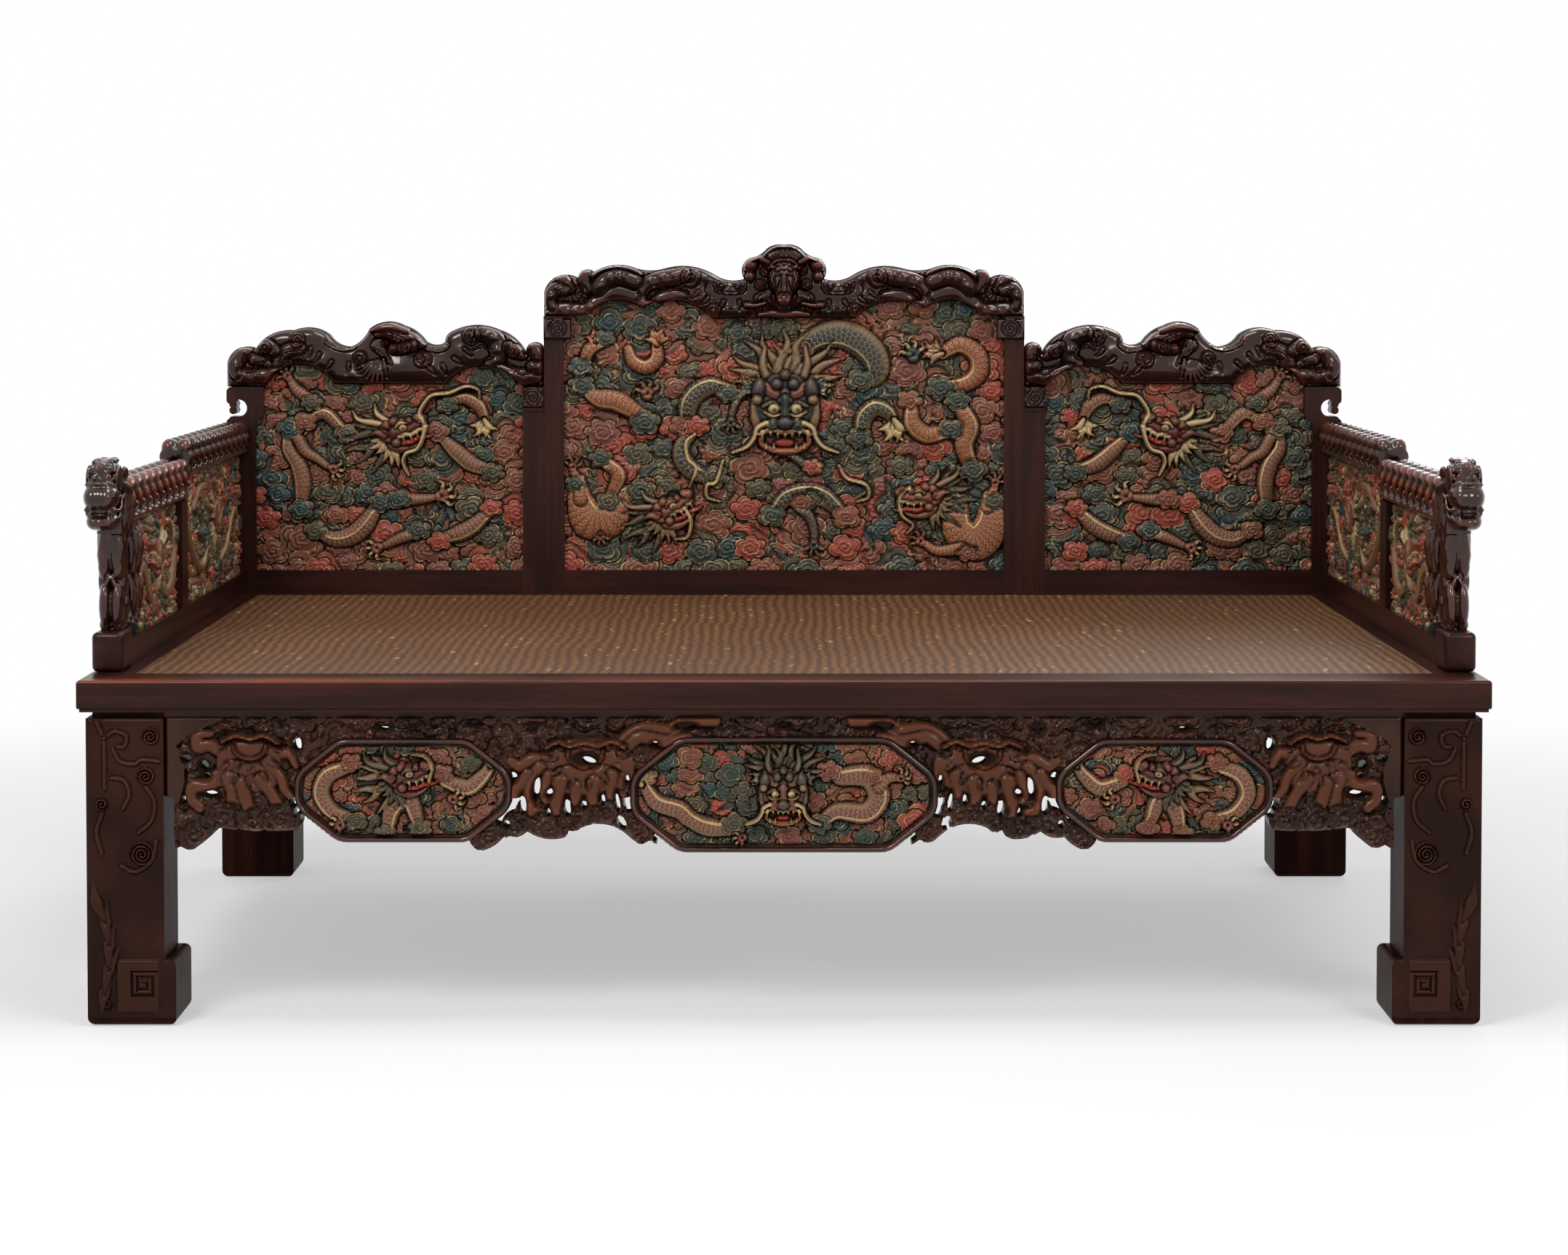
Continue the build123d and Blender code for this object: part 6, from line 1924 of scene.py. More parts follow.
@dataclass
class SidePanel:
    """One face of a side screen's panel, with a coloured dragon among clouds."""

    node: str
    look: Look
    face: float
    name: str
    flip: int = 1
    step: float = 2.5
    seed: int = 41
    drawn: Point = (330.0, 180.0)
    inset: float = 5.8
    depths: Point = (-9.0, 7.5)

    def compose(self, relief: Relief) -> None:
        """Carve the dragon over the clouds."""
        rng = np.random.default_rng(self.seed)
        cloud_field(relief, rng, 30.0, 16.0, CLOUD_PAINTS, 0.0, 9.0, groove=3.6)
        middle = ((relief.low[0] + relief.high[0]) / 2, (relief.low[1] + relief.high[1]) / 2)
        size = (relief.high[0] - relief.low[0]) / self.drawn[0]
        tall = (relief.high[1] - relief.low[1]) / self.drawn[1]
        figure = Figure(relief, middle[0], middle[1], 1.0, self.flip, 0.0, 4.0)
        for points, widths in (([(-150, 30), (-128, -10), (-98, -42), (-60, -50), (-34, -24)],
                                [6, 9, 11, 10, 7]),
                               ([(40, -56), (72, -40), (98, -6), (128, 10), (150, -8)], [7, 10, 11, 9, 6]),
                               ([(-40, 66), (-84, 62), (-112, 40)], [6, 8, 6])):
            figure.stroke([(x * size, z * tall) for x, z in points], widths, 11, Paint.TERRACOTTA,
                          scales(8.0, 0.6, belly=Paint.TAN))
        ends = [(-150, 36, 17), (-28, -16, 17), (34, -62, 17), (154, -14, 16), (-34, 68, 16)]
        veil(figure, self.seed, [(x * size, z * tall, radius) for x, z, radius in ends], 9.0)
        for x, z, turn in ((-96, -70, 220), (60, 66, 60), (130, -52, 320)):
            claw(figure, x * size, z * tall, 13, turn, Paint.TERRACOTTA)
        fan(figure, -118 * size, 40 * tall, 32, 150, Paint.CREAM, 100, 6)
        x, z = figure.at(4 * size, 12 * tall)
        side_head(Figure(relief, x, z, 0.88, self.flip, 8, 7.0), Paint.TERRACOTTA, Paint.MOSS, Paint.CREAM)

    def build(self, finish: bpy.types.Material, middle: float) -> bpy.types.Object:
        """Carve one face of the panel.

        Args:
            finish: its material.
            middle: where the panel's middle plane lies, in millimetres.

        Returns:
            The finished half panel.
        """
        low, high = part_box(self.node)
        inset = self.inset
        relief = Relief((low.y / MM + inset, low.z / MM + inset), (high.y / MM - inset, high.z / MM - inset),
                        self.step, 0.0, Paint.GREEN)
        self.compose(relief)
        relief.level = np.clip(relief.level * 0.85 - 6.5, *self.depths)
        board = Board(self.look, self.face, -abs(self.face - middle))
        piece = carve(self.name, relief, board, finish)
        return settle(piece, self.node)


# --------------------------------------------------------------- rounded carving
@dataclass
class Clay:
    """Rounded forms that are gathered, merged into one skin and smoothed.

    Places are (out of the screen's middle plane, back, up) in millimetres.
    """

    side: int
    soften: tuple = (0.5, 2)
    swell_depth: float = 0.13
    parts: list = field(default_factory=list)
    ropes: list = field(default_factory=list)

    def at(self, place: tuple) -> tuple:
        """Place in metres, mirrored for the left side."""
        return (self.side * (SCREEN_PLANE + place[0]) * MM, place[1] * MM, place[2] * MM)

    def ball(self, place: tuple, size: tuple, tip: float = 0.0) -> None:
        """Add an egg.

        Args:
            place: its middle.
            size: its half sizes.
            tip: degrees that it is tipped about the X axis.
        """
        bpy.ops.mesh.primitive_uv_sphere_add(segments=24, ring_count=14, radius=MM, location=self.at(place),
                                             rotation=(math.radians(tip), 0, 0), scale=size)
        self.parts.append(bpy.context.object)

    def pair(self, place: tuple, size: tuple, tip: float = 0.0) -> None:
        """Add an egg on both sides of the middle plane."""
        for way in (-1, 1):
            self.ball((way * place[0], place[1], place[2]), size, tip)

    def block(self, low: tuple, high: tuple, round_by: float = 0.0) -> None:
        """Add a block with rounded arrises.

        Args:
            low: its lowest corner.
            high: its highest corner.
            round_by: radius of its arrises.
        """
        middle = [(a + b) / 2 for a, b in zip(low, high)]
        bpy.ops.mesh.primitive_cube_add(size=MM, location=self.at(middle),
                                        scale=[b - a for a, b in zip(low, high)])
        piece = bpy.context.object
        if round_by:
            bpy.ops.object.transform_apply(location=False, rotation=False, scale=True)
            bpy.ops.object.mode_set(mode="EDIT")
            bpy.ops.mesh.select_all(action="SELECT")
            bpy.ops.mesh.bevel(offset=round_by * MM, segments=6, affect="EDGES")
            bpy.ops.object.mode_set(mode="OBJECT")
        self.parts.append(piece)

    def rope(self, points: list[tuple], widths: list[float], twin: bool = False) -> None:
        """Add a tapered round cord.

        Args:
            points: places that it runs through.
            widths: half widths, spread evenly along it.
            twin: whether the other side of the middle plane gets one as well.
        """
        for way in (1, -1) if twin else (1,):
            path = curve([(way * u, y, z) for u, y, z in points], 3.0)
            share = np.linspace(0, 1, len(path))
            self.ropes.append((path, np.interp(share, np.linspace(0, 1, len(widths)), widths)))

    def spiral(self, place: tuple, radius: float, width: float, hand: int = 1, turns: float = 1.6,
               facing: str = "side") -> None:
        """Add a spiral cord with a bead in its eye.

        Args:
            place: its middle.
            radius: its radius.
            width: half width of the cord.
            hand: 1 or -1, the way that it winds.
            turns: number of turns.
            facing: "side" for the face of a screen, "front" for its end.
        """
        u, y, z = place
        points, widths = [], []
        for i in range(int(turns * 10) + 1):
            share = i / (turns * 10)
            a, r = hand * share * turns * math.tau, radius * (0.12 + 0.88 * share)
            across, up = r * math.cos(a), r * math.sin(a)
            points.append((u, y + across, z + up) if facing == "side" else (u + across, y, z + up))
            widths.append(width * (0.75 + 0.35 * share))
        self.rope(points, widths)

    def finish(self, name: str, finish: bpy.types.Material, voxel: float) -> bpy.types.Object:
        """Merge everything into one carved piece.

        Args:
            name: name of the piece.
            finish: its material.
            voxel: size of its facets.

        Returns:
            The finished piece.
        """
        shape = bpy.data.curves.new(name + "_cords", "CURVE")
        shape.dimensions, shape.bevel_depth, shape.bevel_resolution = "3D", MM, 3
        shape.use_fill_caps = True
        for path, widths in self.ropes:
            spline = shape.splines.new("POLY")
            spline.points.add(len(path) - 1)
            for point, place, width in zip(spline.points, path, widths):
                point.co, point.radius = (*self.at(place), 1.0), width
        cords = bpy.data.objects.new(name + "_cords", shape)
        bpy.context.scene.collection.objects.link(cords)
        bpy.ops.object.select_all(action="DESELECT")
        cords.select_set(True)
        bpy.context.view_layer.objects.active = cords
        bpy.ops.object.convert(target="MESH")
        for part in self.parts:
            part.select_set(True)
        bpy.ops.object.join()
        piece = bpy.context.object
        piece.name = piece.data.name = name
        bpy.ops.object.transform_apply(location=True, rotation=True, scale=True)
        remesh = piece.modifiers.new("merge", "REMESH")
        remesh.mode, remesh.voxel_size = "VOXEL", voxel * MM
        bpy.ops.object.modifier_apply(modifier="merge")
        soften = piece.modifiers.new("soften", "SMOOTH")
        soften.factor, soften.iterations = self.soften
        bpy.ops.object.modifier_apply(modifier="soften")
        mesh = piece.data
        count = len(mesh.vertices)
        swell = swelling(mesh, self.swell_depth, int(SURROUNDINGS / voxel))
        give_attributes(mesh, swell, np.zeros(count), np.zeros((count, 3)), np.zeros((count, 3)))
        mesh.materials.clear()
        mesh.materials.append(finish)
        smooth_shade(piece, SHARP_CLAY)
        return piece


def swelling(mesh: bpy.types.Mesh, depth: float, rounds: int) -> Grid:
    """How far each point of a mesh stands out of its surroundings.

    Args:
        mesh: the mesh.
        depth: swell for each millimetre.
        rounds: rounds of smoothing that give the surroundings.

    Returns:
        About 0.5 on a flat, more on a ridge and less in a hollow.
    """
    count = len(mesh.vertices)
    places, normals = np.empty(count * 3), np.empty(count * 3)
    mesh.vertices.foreach_get("co", places)
    mesh.vertex_normals.foreach_get("vector", normals)
    places, normals = places.reshape(-1, 3), normals.reshape(-1, 3)
    ends = np.empty(len(mesh.edges) * 2, int)
    mesh.edges.foreach_get("vertices", ends)
    first, second = np.concatenate([ends[::2], ends[1::2]]), np.concatenate([ends[1::2], ends[::2]])
    degree = np.bincount(first, minlength=count)
    near = places.copy()
    for _ in range(rounds):
        near = np.stack([np.bincount(first, near[second, k], count) / degree for k in range(3)], -1)
    out = ((places - near) * normals).sum(1) / MM
    return np.clip(0.5 + out * depth, 0, 1)


@dataclass
class SideScreen:
    """One side screen: beast head and post, block, knuckled crests and panels."""

    side: int
    name: str
    top_front: float = 780.0
    low_front: float = 712.0
    top_rear: float = 810.0
    low_rear: float = 750.0
    front: float = -455.0
    joint: float = -2.0
    back: float = 553.2
    pitch: float = 51.0
    lobe: float = 13.0
    outer_face: float = 997.0
    inner_face: float = 973.0
    block_joint: float = -0.452

    def head(self, clay: Clay) -> None:
        """Model the beast head with its brow plate, muzzle and jaw."""
        clay.ball((0, -516, 775), (22, 40, 33))
        clay.ball((0, -522, 797), (20, 34, 14), 6)
        clay.pair((10, -548, 758), (15.5, 27, 19.5))
        clay.ball((0, -550, 758), (21, 24.5, 19.5))
        clay.pair((9, -538, 722.5), (14.5, 29, 13.5))
        clay.ball((0, -541, 722), (18, 28, 13.5))
        clay.ball((0, -541, 737), (16, 22, 3.0))
        clay.pair((19, -512, 739), (6.5, 13, 13))
        clay.pair((18, -556, 736.5), (3.2, 4.0, 5.5))
        clay.pair((13, -561, 736), (2.2, 3.0, 4.5))
        clay.pair((21, -528, 783), (4.6, 20, 21), -14)
        clay.rope([(-22, -553, 776), (0, -565, 778.5), (22, -553, 776)], [2.6, 2.8, 2.6])
        for way in (-1, 1):
            clay.spiral((way * 8.5, -555, 785), 7.0, 1.7, way, 1.7, "front")
            clay.ball((way * 8.5, -556, 785), (2.7, 3, 2.7))
            clay.rope([(way * 2, -556, 779), (way * 9, -556, 776), (way * 17, -552, 782),
                       (way * 18, -548, 792)], [1.5, 1.7, 1.7, 1.2])
            clay.spiral((way * 13, -548, 797), 5.0, 1.6, -way, 1.4, "front")
            clay.spiral((way * 5, -545, 803), 4.6, 1.6, way, 1.4, "front")
            clay.spiral((way * 12, -536, 806), 4.6, 1.7, way, 1.4, "front")
            clay.ball((way * 10, -522, 809), (7, 12, 4))
            clay.ball((way * 7, -496, 808), (8, 13, 5))
            clay.spiral((way * 23.5, -531, 731), 9, 2.3, way, 1.5)
            clay.spiral((way * 24, -507, 752), 8, 2.2, 1, 1.5)
            clay.ball((way * 22, -489, 790), (4.5, 15, 8), -24)
            clay.rope([(way * 20, -563, 741), (way * 24, -545, 739), (way * 24, -528, 744),
                       (way * 23, -518, 757)], [2.2, 2.6, 2.6, 1.8])
            for i in range(5):
                y = -500 + i * 11
                clay.rope([(way * 20, y - 4, 778 - i * 2), (way * 22.5, y + 9, 757), (way * 22, y + 10, 730),
                           (way * 19.5, y + 14 + i * 3, 704 - i * 7)], [2.6, 3.6, 3.6, 1.6])
        clay.ball((0, -549, 801), (6, 8, 9))
        clay.block((-18, -500, 700), (18, -453, 792))
        clay.ball((0, -480, 745), (22, 30, 46))

    def post(self, clay: Clay) -> None:
        """Model the post: corded muscle in front and leaves on its flanks."""
        clay.block((-14.5, -472, 559), (14.5, -362, 711.5))
        clay.rope([(6, -482, 728), (7.5, -486, 700), (9.5, -488, 668), (8.5, -483, 636)],
                  [7, 9.5, 11, 6], True)
        clay.rope([(14, -480, 722), (15.5, -477, 690), (15, -474, 655), (12, -476, 628)],
                  [5, 7, 7.5, 4], True)
        clay.rope([(0, -490, 726), (0, -494, 700), (0, -493, 672)], [4, 5.5, 1.5])
        clay.pair((10.5, -484, 652), (9, 12, 20))
        clay.pair((9.0, -484, 594), (9.6, 17.5, 36))
        clay.pair((9.5, -482, 566), (9, 13, 12))
        clay.pair((16, -470, 628), (6, 14, 22), 8)
        clay.pair((17, -466, 590), (5.5, 13, 20), -6)
        clay.rope([(0, -489, 640), (6, -493, 627), (12, -487, 610), (16, -478, 590)],
                  [2.2, 2.8, 2.6, 1.5], True)
        for way in (-1, 1):
            for y, z, long, lean in ((-452, 698, 64, 20), (-434, 690, 74, 24), (-416, 700, 66, 16),
                                     (-396, 696, 74, 12), (-378, 700, 64, 4), (-448, 636, 60, 20),
                                     (-428, 626, 58, 14), (-408, 640, 66, 16), (-386, 632, 62, 8)):
                u = way * 16.5
                clay.rope([(u, y, z), (u + way * 3, y + lean * 0.3, z - long * 0.35),
                           (u + way * 2.5, y + lean * 0.4, z - long * 0.7), (u, y + lean, z - long)],
                          [3.0, 6.0, 5.0, 1.6])
                clay.rope([(u + way * 4, y + 1, z - 6), (u + way * 8, y + lean * 0.35, z - long * 0.4),
                           (u + way * 5, y + lean * 0.8, z - long * 0.85)], [1.0, 1.9, 0.9])
            for y, z, radius in ((-440, 572, 9), (-414, 567, 8), (-388, 570, 9), (-368, 646, 8),
                                 (-456, 585, 8), (-370, 583, 8), (-424, 661, 7), (-392, 665, 7)):
                clay.spiral((way * 17.5, y, z), radius, 2.3, way, 1.4)
                clay.ball((way * 18, y, z), (4.5, 3.4, 3.4))

    def crest(self, clay: Clay, low: float, high: float, front: float, back: float) -> None:
        """Model a crest of paired knuckles over pierced curls.

        Args:
            clay: what it is modelled in.
            low: foot of the crest.
            high: top of the crest.
            front: its front end.
            back: its back end.
        """
        lobe = self.lobe
        count = round((back - front) / self.pitch)
        step = (back - front) / count
        clay.block((-18, front + 0.5, low), (18, back - 0.5, low + 13))
        clay.block((-13, front + 1, high - 31), (13, back - 1, high - 15))
        for way in (-1, 1):
            clay.rope([(way * 20, front + 4, low + 7), (way * 20, (front + back) / 2, low + 7),
                       (way * 20, back - 4, low + 7)], [3.6, 3.6, 3.6])
        for i in range(count):
            y = front + step * (i + 0.5)
            clay.block((-16, y - step / 2 + 6, low + 8), (16, y + step / 2 - 6, high - 22))
            if self.low_rear - low > 1:
                clay.pair((lobe - 0.5, y, high - 14.5), (lobe + 0.5, 25, 14), 9)
                clay.pair((lobe + 3, y + 3, high - 24), (lobe - 3.5, 19, 13), 16)
            else:
                clay.pair((lobe - 1, y - 10, high - 14), (lobe, 15, 13.5), 14)
                clay.pair((lobe - 1, y + 14, high - 15), (lobe, 14, 12.5), 14)
            clay.ball((0, y, high - 18), (8, 22, 9))
            for way in (-1, 1):
                hand = 1 if (i % 2) else -1
                clay.rope([(way * 17, y - 15, high - 17), (way * 22.5, y - 14, high - 28),
                           (way * 21, y - 10, high - 42), (way * 19, y - 14, low + 10)], [4.5, 6.0, 4.6, 2.4])
                clay.rope([(way * 17, y + 10, high - 18), (way * 22, y + 12, high - 27),
                           (way * 20, y + 9, high - 38)], [5.0, 6.0, 3.0])
                clay.spiral((way * 20.5, y + 4, low + 22), 9.5, 2.5, hand, 1.5)
                clay.ball((way * 21, y + 4, low + 22), (4.0, 3.6, 3.6))
                clay.ball((way * 21, y + 19, high - 42), (4.6, 4.6, 5.4))
                clay.ball((way * 21, y - 3, high - 27), (4.4, 3.8, 5.0))
                clay.rope([(way * 19, y - 21, low + 15), (way * 22, y - 14, low + 10),
                           (way * 21, y - 6, low + 12)], [2.2, 3.6, 2.2])

    def rear_end(self, clay: Clay) -> None:
        """Model the two tall lobes at the front end of the rear crest."""
        for way in (-1, 1):
            clay.rope([(way * 12.5, 12, 751), (way * 12.5, 11, 775), (way * 12.0, 13, 797)],
                      [11.5, 12.2, 12.6])
            clay.ball((way * 12, 14, 797), (12.6, 15, 13))
            clay.rope([(way * 12, 22, 800), (way * 14, 40, 799)], [10, 8])

    def rail(self, finish: bpy.types.Material) -> bpy.types.Object:
        """Model the bottom rail with its rounded end block."""
        node = self.name + "_base_rail"
        bpy.ops.object.select_all(action="DESELECT")
        source = frame["nodes"][node]
        piece = bpy.data.objects.new(node + "_rounded", source.data.copy())
        bpy.context.scene.collection.objects.link(piece)
        piece.select_set(True)
        bpy.context.view_layer.objects.active = piece
        bpy.ops.object.mode_set(mode="EDIT")
        bpy.ops.mesh.select_all(action="SELECT")
        bpy.ops.mesh.remove_doubles(threshold=0.00001)
        bpy.ops.mesh.bisect(plane_co=(0, self.block_joint, 0), plane_no=(0, 1, 0), clear_inner=True,
                            use_fill=True)
        bpy.ops.object.mode_set(mode="OBJECT")
        clay = Clay(self.side)
        clay.block((-23, -519.5, 500.3), (23, -446, 558), 8.0)
        block = clay.parts[0]
        bpy.ops.object.select_all(action="DESELECT")
        block.select_set(True)
        bpy.context.view_layer.objects.active = block
        bpy.ops.object.transform_apply(location=True, rotation=True, scale=True)
        piece.select_set(True)
        bpy.context.view_layer.objects.active = piece
        bpy.ops.object.join()
        piece.data.materials.clear()
        piece.data.materials.append(finish)
        smooth_shade(piece, SHARP_RAIL)
        return settle(piece, node)

    def panels(self, lacquer: bpy.types.Material) -> list[bpy.types.Object]:
        """Carve both faces of both panels."""
        outer, inner = (Look.RIGHT, Look.LEFT) if self.side > 0 else (Look.LEFT, Look.RIGHT)
        made = []
        for i, part in enumerate(("front_panel", "rear_panel")):
            node = f"{self.name}_{part}"
            for look, face, end in ((outer, self.outer_face, "outer"), (inner, self.inner_face, "inner")):
                panel = SidePanel(node, look, self.side * face, f"{node}_{end}", flip=1 if i else -1,
                                  seed=51 + 7 * i + (3 if end == "inner" else 0))
                made.append(panel.build(lacquer, self.side * SCREEN_PLANE))
        return made

    def build(self, finishes: "Finishes") -> list[bpy.types.Object]:
        """Model the whole screen.

        Args:
            finishes: the finishes of the daybed.

        Returns:
            The finished pieces.
        """
        beast = Clay(self.side)
        self.head(beast)
        self.post(beast)
        made = [settle(beast.finish(self.name + "_beast", finishes.beast, 1.8),
                       self.name + "_beast_post")]
        front = Clay(self.side)
        self.crest(front, self.low_front, self.top_front, self.front, self.joint)
        made.append(settle(front.finish(self.name + "_front_knuckles", finishes.rubbed_and_highlit, 2.4),
                           self.name + "_front_crest"))
        rear = Clay(self.side)
        self.crest(rear, self.low_rear, self.top_rear, self.joint, self.back)
        self.rear_end(rear)
        made.append(settle(rear.finish(self.name + "_rear_knuckles", finishes.beast, 2.4),
                           self.name + "_rear_crest"))
        return [*made, self.rail(finishes.block), *self.panels(finishes.lacquer)]


@dataclass
class FrontLeg:
    """Low carving on the face of a front leg: cloud lines, a leaf frond and a fretted foot."""

    node: str
    flip: int
    face: float = -595.0
    step: float = 1.15

    def lines(self, relief: Relief) -> None:
        """Lay the raised lines and curls."""
        tool = Turnery(relief, self.flip)
        for points in ([(-984, 440), (-973, 418), (-959, 426), (-942, 420), (-944, 405), (-955, 403)],
                       [(-973, 415), (-973, 380), (-973, 343)],
                       [(-963, 359), (-945, 355), (-938, 335), (-947, 315)],
                       [(-961, 401), (-951, 383), (-930, 379), (-920, 385), (-895, 383)],
                       [(-914, 346), (-902, 325), (-906, 298), (-925, 280)],
                       [(-900, 268), (-906, 240), (-930, 224), (-950, 232)],
                       [(-977, 308), (-985, 280), (-978, 250)]):
            tool.line(points, 3.6, 4.4)
        for x, z, radius in ((-907, 418, 13.5), (-914, 361, 14), (-977, 321, 11), (-920, 249, 19),
                             (-973, 32, 11)):
            part = relief.window(self.flip * x, z, radius + 3)
            dx, dz = relief.x[part] - self.flip * x, relief.z[part] - z
            r, a = np.hypot(dx, dz), np.arctan2(dz, dx * self.flip)
            turns = radius / 5.2
            ridge = smooth(np.cos(math.tau * (r / radius * turns - a / math.tau)) * 0.9 + 0.35)
            relief.level[part] = np.maximum(relief.level[part], 0.3 + 4.8 * ridge * smooth((radius - r) / 3))

    def frond(self, relief: Relief) -> None:
        """Lay the leaf frond that rises from the foot."""
        tips = [(-963, 72), (-951, 120), (-959, 153), (-971, 183), (-992, 207)]
        root = (-979, 20)
        for x, z in tips:
            middle = ((root[0] * 0.55 + x * 0.45) - 4, (root[1] + z) / 2)
            points = [(self.flip * px, pz) for px, pz in (root, middle, (x, z))]
            relief.stroke(points, [2.5, 9.0, 1.5], 0.5, 4.8, crease=1.8)
            root = middle

    def fret(self, relief: Relief) -> None:
        """Lay the raised square with its angular spiral on the foot."""
        x, z = self.flip * -927.0, 59.0
        dx, dz = abs(relief.x - x), abs(relief.z - z)
        far = ((np.maximum(dx - 24, 0) ** 4 + np.maximum(dz - 31, 0) ** 4) ** 0.25) - 8
        relief.level = np.maximum(relief.level, 3.4 * smooth(-far / 4.0))
        dx, dz = (relief.x - self.flip * -918.5) * -self.flip, relief.z - 61.0
        ring = np.maximum(abs(dx), abs(dz))
        turn = np.where(abs(dx) > abs(dz), np.where(dx > 0, 0.0, 2.0), np.where(dz > 0, 1.0, 3.0)) / 4
        wave = np.cos(math.tau * (ring / 8.5 - turn))
        cut = smooth((ring - 2) / 2) * smooth((20.5 - ring) / 1.5)
        relief.level -= 2.8 * smooth(wave * 1.6 + 0.2) * cut

    def build(self, finish: bpy.types.Material) -> bpy.types.Object:
        """Carve the face of the leg."""
        outline = Silhouette(self.node, 1, False)
        relief = Relief(tuple(outline.low), tuple(outline.high), self.step, 0.3)
        depth = outline.depth(relief.x, relief.z)
        self.lines(relief)
        self.frond(relief)
        self.fret(relief)
        # Raised lines take the polish colour as a painted highlight.
        relief.gilding = smooth((relief.level - 0.9) / 2.4) * 0.3
        hollow = np.clip(1.6 * (blur(relief.level, 2) - relief.level), 0.0, 0.9)
        relief.level = (relief.level + 0.9 - hollow) * smooth((depth - 1.0) / 3.0) + 0.3
        piece = carve(self.node + "_carving", relief, Board(Look.FRONT, self.face, -1.0), finish, depth)
        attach(piece, "base")
        return piece


@dataclass
class ScrollBlock:
    """A spiral carved on the face of a stile's shoulder."""

    name: str
    body: str
    middle: Point
    half: Point
    hand: int = 1
    face: float = 550.0

    def build(self, finish: bpy.types.Material) -> bpy.types.Object:
        """Carve the spiral on its thin block."""
        x, z = self.middle
        wide, tall = self.half
        relief = Relief((x - wide, z - tall), (x + wide, z + tall), 0.9)
        dx, dz = relief.x - x, relief.z - z
        edge = np.minimum(wide - abs(dx), tall - abs(dz))
        r, a = np.hypot(dx, dz), np.arctan2(dz, dx * self.hand)
        ridge = smooth(np.cos(math.tau * (r / 6.2 - a / math.tau)) * 0.8 + 0.4)
        relief.level = 0.4 + 5.0 * smooth(edge / 4.0) - 4.2 * (1 - ridge) * smooth((min(wide, tall) - r) / 2)
        relief.level = np.maximum(relief.level, 0.3)
        piece = carve(self.name, relief, Board(Look.FRONT, self.face, -1.5), finish)
        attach(piece, self.body)
        return piece


# ------------------------------------------------------------------------ studio
@dataclass
class Studio:
    """Floor, world, lamps and camera."""

    camera_place: tuple = (0.0, -5.045, 1.105)
    pitch: float = 2.0
    lens: float = 71.69
    shift: float = -0.167
    world_strength: float = 0.42
    lamps: tuple = (
        ("key", (-1.7, -2.8, 2.9), (0.0, 0.0, 0.5), 1.0, 64.0),
        ("fill", (2.2, -3.2, 2.3), (0.2, 0.1, 0.5), 1.0, 38.0),
        ("top", (0.1, -0.6, 3.3), (0.0, 0.2, 0.4), 1.3, 46.0),
        ("rim", (1.4, 3.0, 2.8), (0.0, 0.3, 0.7), 1.4, 24.0),
    )

    def floor(self) -> None:
        """Lay the pale floor."""
        bpy.ops.object.select_all(action="DESELECT")
        bpy.ops.mesh.primitive_plane_add(size=40.0, location=(0.0, 0.0, -0.0005))
        floor = bpy.context.object
        floor.name = "studio_floor"
        floor.data.materials.append(StudioFloor("studio_floor").build())

    def world(self) -> None:
        """Even white surroundings, plainly white to the eye."""
        world = bpy.data.worlds.new("studio_white")
        world.use_nodes = True
        bpy.context.scene.world = world
        tree = world.node_tree
        backs = [tree.nodes["Background"], tree.nodes.new("ShaderNodeBackground")]
        for back, strength in zip(backs, (self.world_strength, 1.0)):
            back.inputs["Color"].default_value = (1.0, 1.0, 1.0, 1.0)
            back.inputs["Strength"].default_value = strength
        paths = tree.nodes.new("ShaderNodeLightPath")
        total = paths.outputs["Is Camera Ray"]
        for name in ("Is Glossy Ray", "Is Transmission Ray"):
            add = tree.nodes.new("ShaderNodeMath")
            add.operation = "MAXIMUM"
            tree.links.new(total, add.inputs[0])
            tree.links.new(paths.outputs[name], add.inputs[1])
            total = add.outputs[0]
        mixed = tree.nodes.new("ShaderNodeMixShader")
        tree.links.new(total, mixed.inputs[0])
        tree.links.new(backs[0].outputs[0], mixed.inputs[1])
        tree.links.new(backs[1].outputs[0], mixed.inputs[2])
        tree.links.new(mixed.outputs[0], tree.nodes["World Output"].inputs[0])

    def light(self) -> None:
        """Hang the soft lamps."""
        for name, place, target, size, watts in self.lamps:
            lamp = bpy.data.lights.new("lamp_" + name, "AREA")
            lamp.energy, lamp.size = watts, size
            holder = bpy.data.objects.new("lamp_" + name, lamp)
            holder.location = place
            holder.rotation_euler = (Vector(target) - Vector(place)).to_track_quat("-Z", "Y").to_euler()
            bpy.context.scene.collection.objects.link(holder)

    def camera(self) -> None:
        """Set the camera at standing height, straight in front."""
        eye = bpy.data.cameras.new("eye")
        eye.lens, eye.sensor_width, eye.shift_y = self.lens, 36.0, self.shift
        holder = bpy.data.objects.new("eye", eye)
        holder.location = self.camera_place
        holder.rotation_euler = (math.radians(90.0 - self.pitch), 0.0, 0.0)
        bpy.context.scene.collection.objects.link(holder)
        bpy.context.scene.camera = holder

    def build(self) -> None:
        """Set up everything round the object."""
        self.floor()
        self.world()
        self.light()
        self.camera()
        bpy.context.scene.view_settings.view_transform = "Standard"


# ---------------------------------------------------------------------- assembly
GRAIN_DEEP, GRAIN_UP = (14.0, 1.0, 14.0), (14.0, 14.0, 1.0)


def built(kind: type, name: str, **values: Any) -> Any:
    """A field that holds a material, made together with the others."""
    return field(default_factory=lambda: kind(name, **values).build())


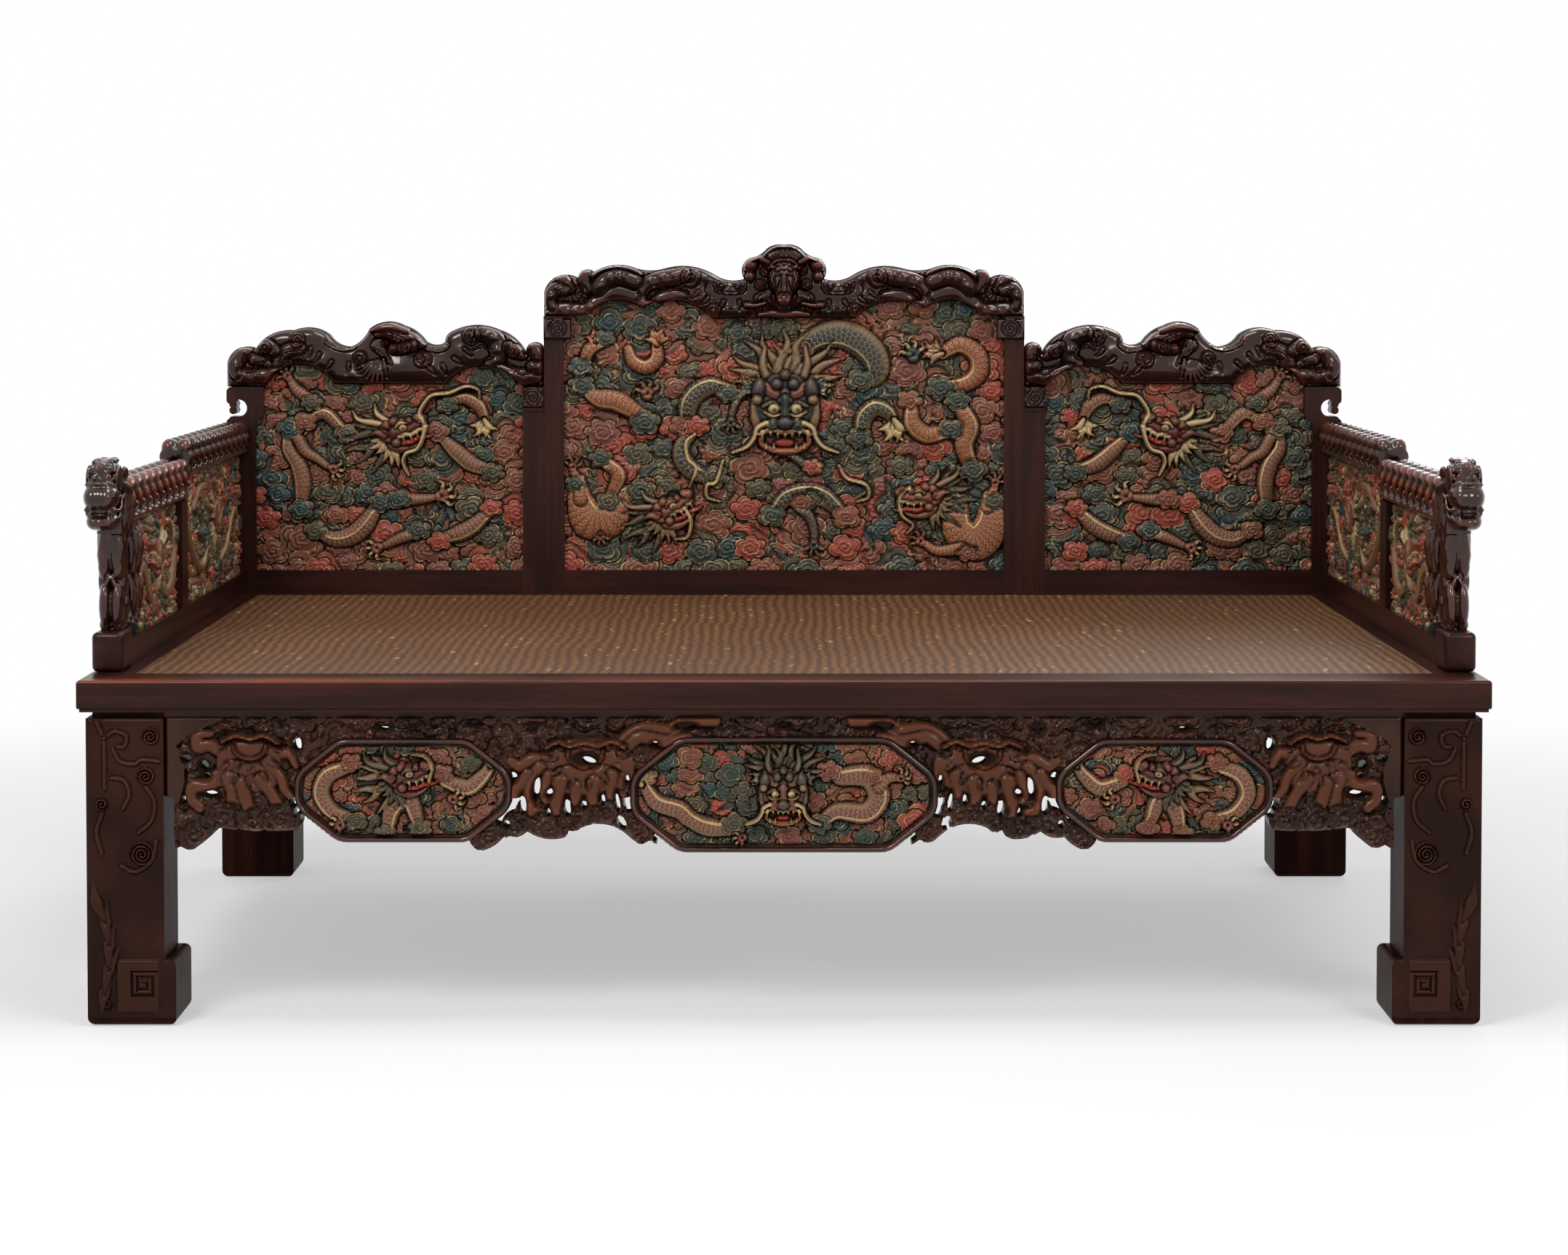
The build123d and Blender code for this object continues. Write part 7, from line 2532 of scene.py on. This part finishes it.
@dataclass
class Finishes:
    """Every finish of the daybed, built once."""

    along: Any = built(PolishedWood, "wood_along")
    front: Any = built(PolishedWood, "wood_front_rail", edge_height=0.5, edge_depth=-0.606)
    deep: Any = built(PolishedWood, "wood_deep", grain=GRAIN_DEEP)
    upright: Any = built(PolishedWood, "wood_upright", grain=GRAIN_UP)
    carved: Any = built(CarvedWood, "wood_carved")
    apron: Any = built(CarvedWood, "wood_apron", deep=(0.010, 0.0048, 0.0036), warm=(0.045, 0.017, 0.010),
                       worn=(0.16, 0.050, 0.025), dust=(0.018, 0.011, 0.008),
                       polish=(0.085, 0.027, 0.012), rough=0.3, coat=0.14, specular=0.16)
    beast: Any = built(CarvedWood, "wood_beast", worn=(0.20, 0.042, 0.018), wear=0.5, rough=0.14, coat=0.6)
    # Knuckled front crests: strong wear and painted highlight on their ridges.
    rubbed_and_highlit: Any = built(CarvedWood, "wood_handworn", warm=(0.05, 0.013, 0.009),
                          worn=(0.30, 0.060, 0.022), wear=0.85)
    stout: Any = built(PolishedWood, "wood_legs", grain=GRAIN_UP, rough=0.34, coat=0.0, specular=0.05)
    block: Any = built(PolishedWood, "wood_block", grain=GRAIN_DEEP)
    # Front legs: painted shade in the hollows, painted highlight on the raised lines.
    leg: Any = built(CarvedWood, "wood_leg", deep=(0.010, 0.0042, 0.0032), warm=(0.034, 0.0115, 0.0080),
                     worn=(0.12, 0.040, 0.022), dust=(0.004, 0.0022, 0.0018),
                     polish=(0.085, 0.033, 0.019), wear=0.7, rough=0.28, coat=0.0, specular=0.12)
    lacquer: Any = built(Lacquer, "old_lacquer")
    matting: Any = built(Matting, "seat_matting")

    def dress_nodes(self) -> None:
        """Give every CAD node the finish of its grain."""
        for name, node in frame["nodes"].items():
            low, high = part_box(name)
            spans = list(high - low)
            finish = [self.along, self.deep, self.upright][spans.index(max(spans))]
            if name == "seat_mat":
                finish = self.matting
            elif name == "seat_front_rail":
                finish = self.front
            elif name.startswith("leg_"):
                finish = self.stout
            node.data.materials.clear()
            node.data.materials.append(finish)


def main() -> None:
    """Build and dress the daybed."""
    logging.basicConfig(level=logging.INFO, format="%(name)s: %(message)s")
    Studio().build()
    finishes = Finishes()
    finishes.dress_nodes()
    pieces = [
        CentrePanel().build(finishes.lacquer),
        WingPanel("back_left_panel", -1).build(finishes.lacquer),
        WingPanel("back_right_panel", 1, seed=5).build(finishes.lacquer),
        CentreCrest().build(finishes.carved),
        WingCrest("back_left_crest", -1).build(finishes.carved),
        WingCrest("back_right_crest", 1).build(finishes.carved),
        Apron("apron_front", Look.FRONT, FRONT_FACE, 2.2,
              hides=((-306, 373, 1), (306, 373, -1)), corners=((-772, 365, 1), (772, 365, -1)),
              slits=((-447, 436, 9, 3.5), (447, 436, 9, 3.5), (-143, 433, 15, 5), (143, 433, 15, 5),
                     (0, 431.5, 7, 3), (-574, 428, 7, 3), (574, 428, 7, 3), (-487, 266, 10, 3.7),
                     (487, 266, 10, 3.7)), bracket=889.0).build(finishes.apron),
        Apron("apron_left", Look.LEFT, -SIDE_FACE, 2.7, 22).build(finishes.apron),
        Apron("apron_right", Look.RIGHT, SIDE_FACE, 2.7, 23).build(finishes.apron),
        *(Medallion(*plan, seed=31 + number).build(finishes.lacquer, finishes.beast) for number, plan in
          enumerate((("medallion_front_centre", Look.FRONT, FRONT_FACE, (-20, 338), Scene.FRONTAL),
                     ("medallion_front_left", Look.FRONT, FRONT_FACE, (-546, 340)),
                     ("medallion_front_right", Look.FRONT, FRONT_FACE, (546, 340), Scene.PROFILE, -1),
                     ("medallion_left", Look.LEFT, -SIDE_FACE, (0, 340)),
                     ("medallion_right", Look.RIGHT, SIDE_FACE, (0, 340))))),
        *SideScreen(1, "side_right").build(finishes),
        *SideScreen(-1, "side_left").build(finishes),
        FrontLeg("leg_front_left", 1).build(finishes.leg),
        FrontLeg("leg_front_right", -1).build(finishes.leg),
        *(ScrollBlock(f"{body}_scroll_{way}", body, (x, z), half, hand).build(finishes.beast)
          for body, way, x, z, half, hand in (
              ("back_centre", "left", -405.5, 975, (25, 19), 1),
              ("back_centre", "right", 405.5, 975, (25, 19), -1),
              ("back_left", "inner", -450.5, 852, (18.5, 18.5), 1),
              ("back_right", "inner", 450.5, 852, (18.5, 18.5), -1))),
    ]
    for piece in pieces:
        LOG.info("%s: %d faces", piece.name, len(piece.data.polygons))
    bpy.context.view_layer.update()


if __name__ == "__main__":
    main()
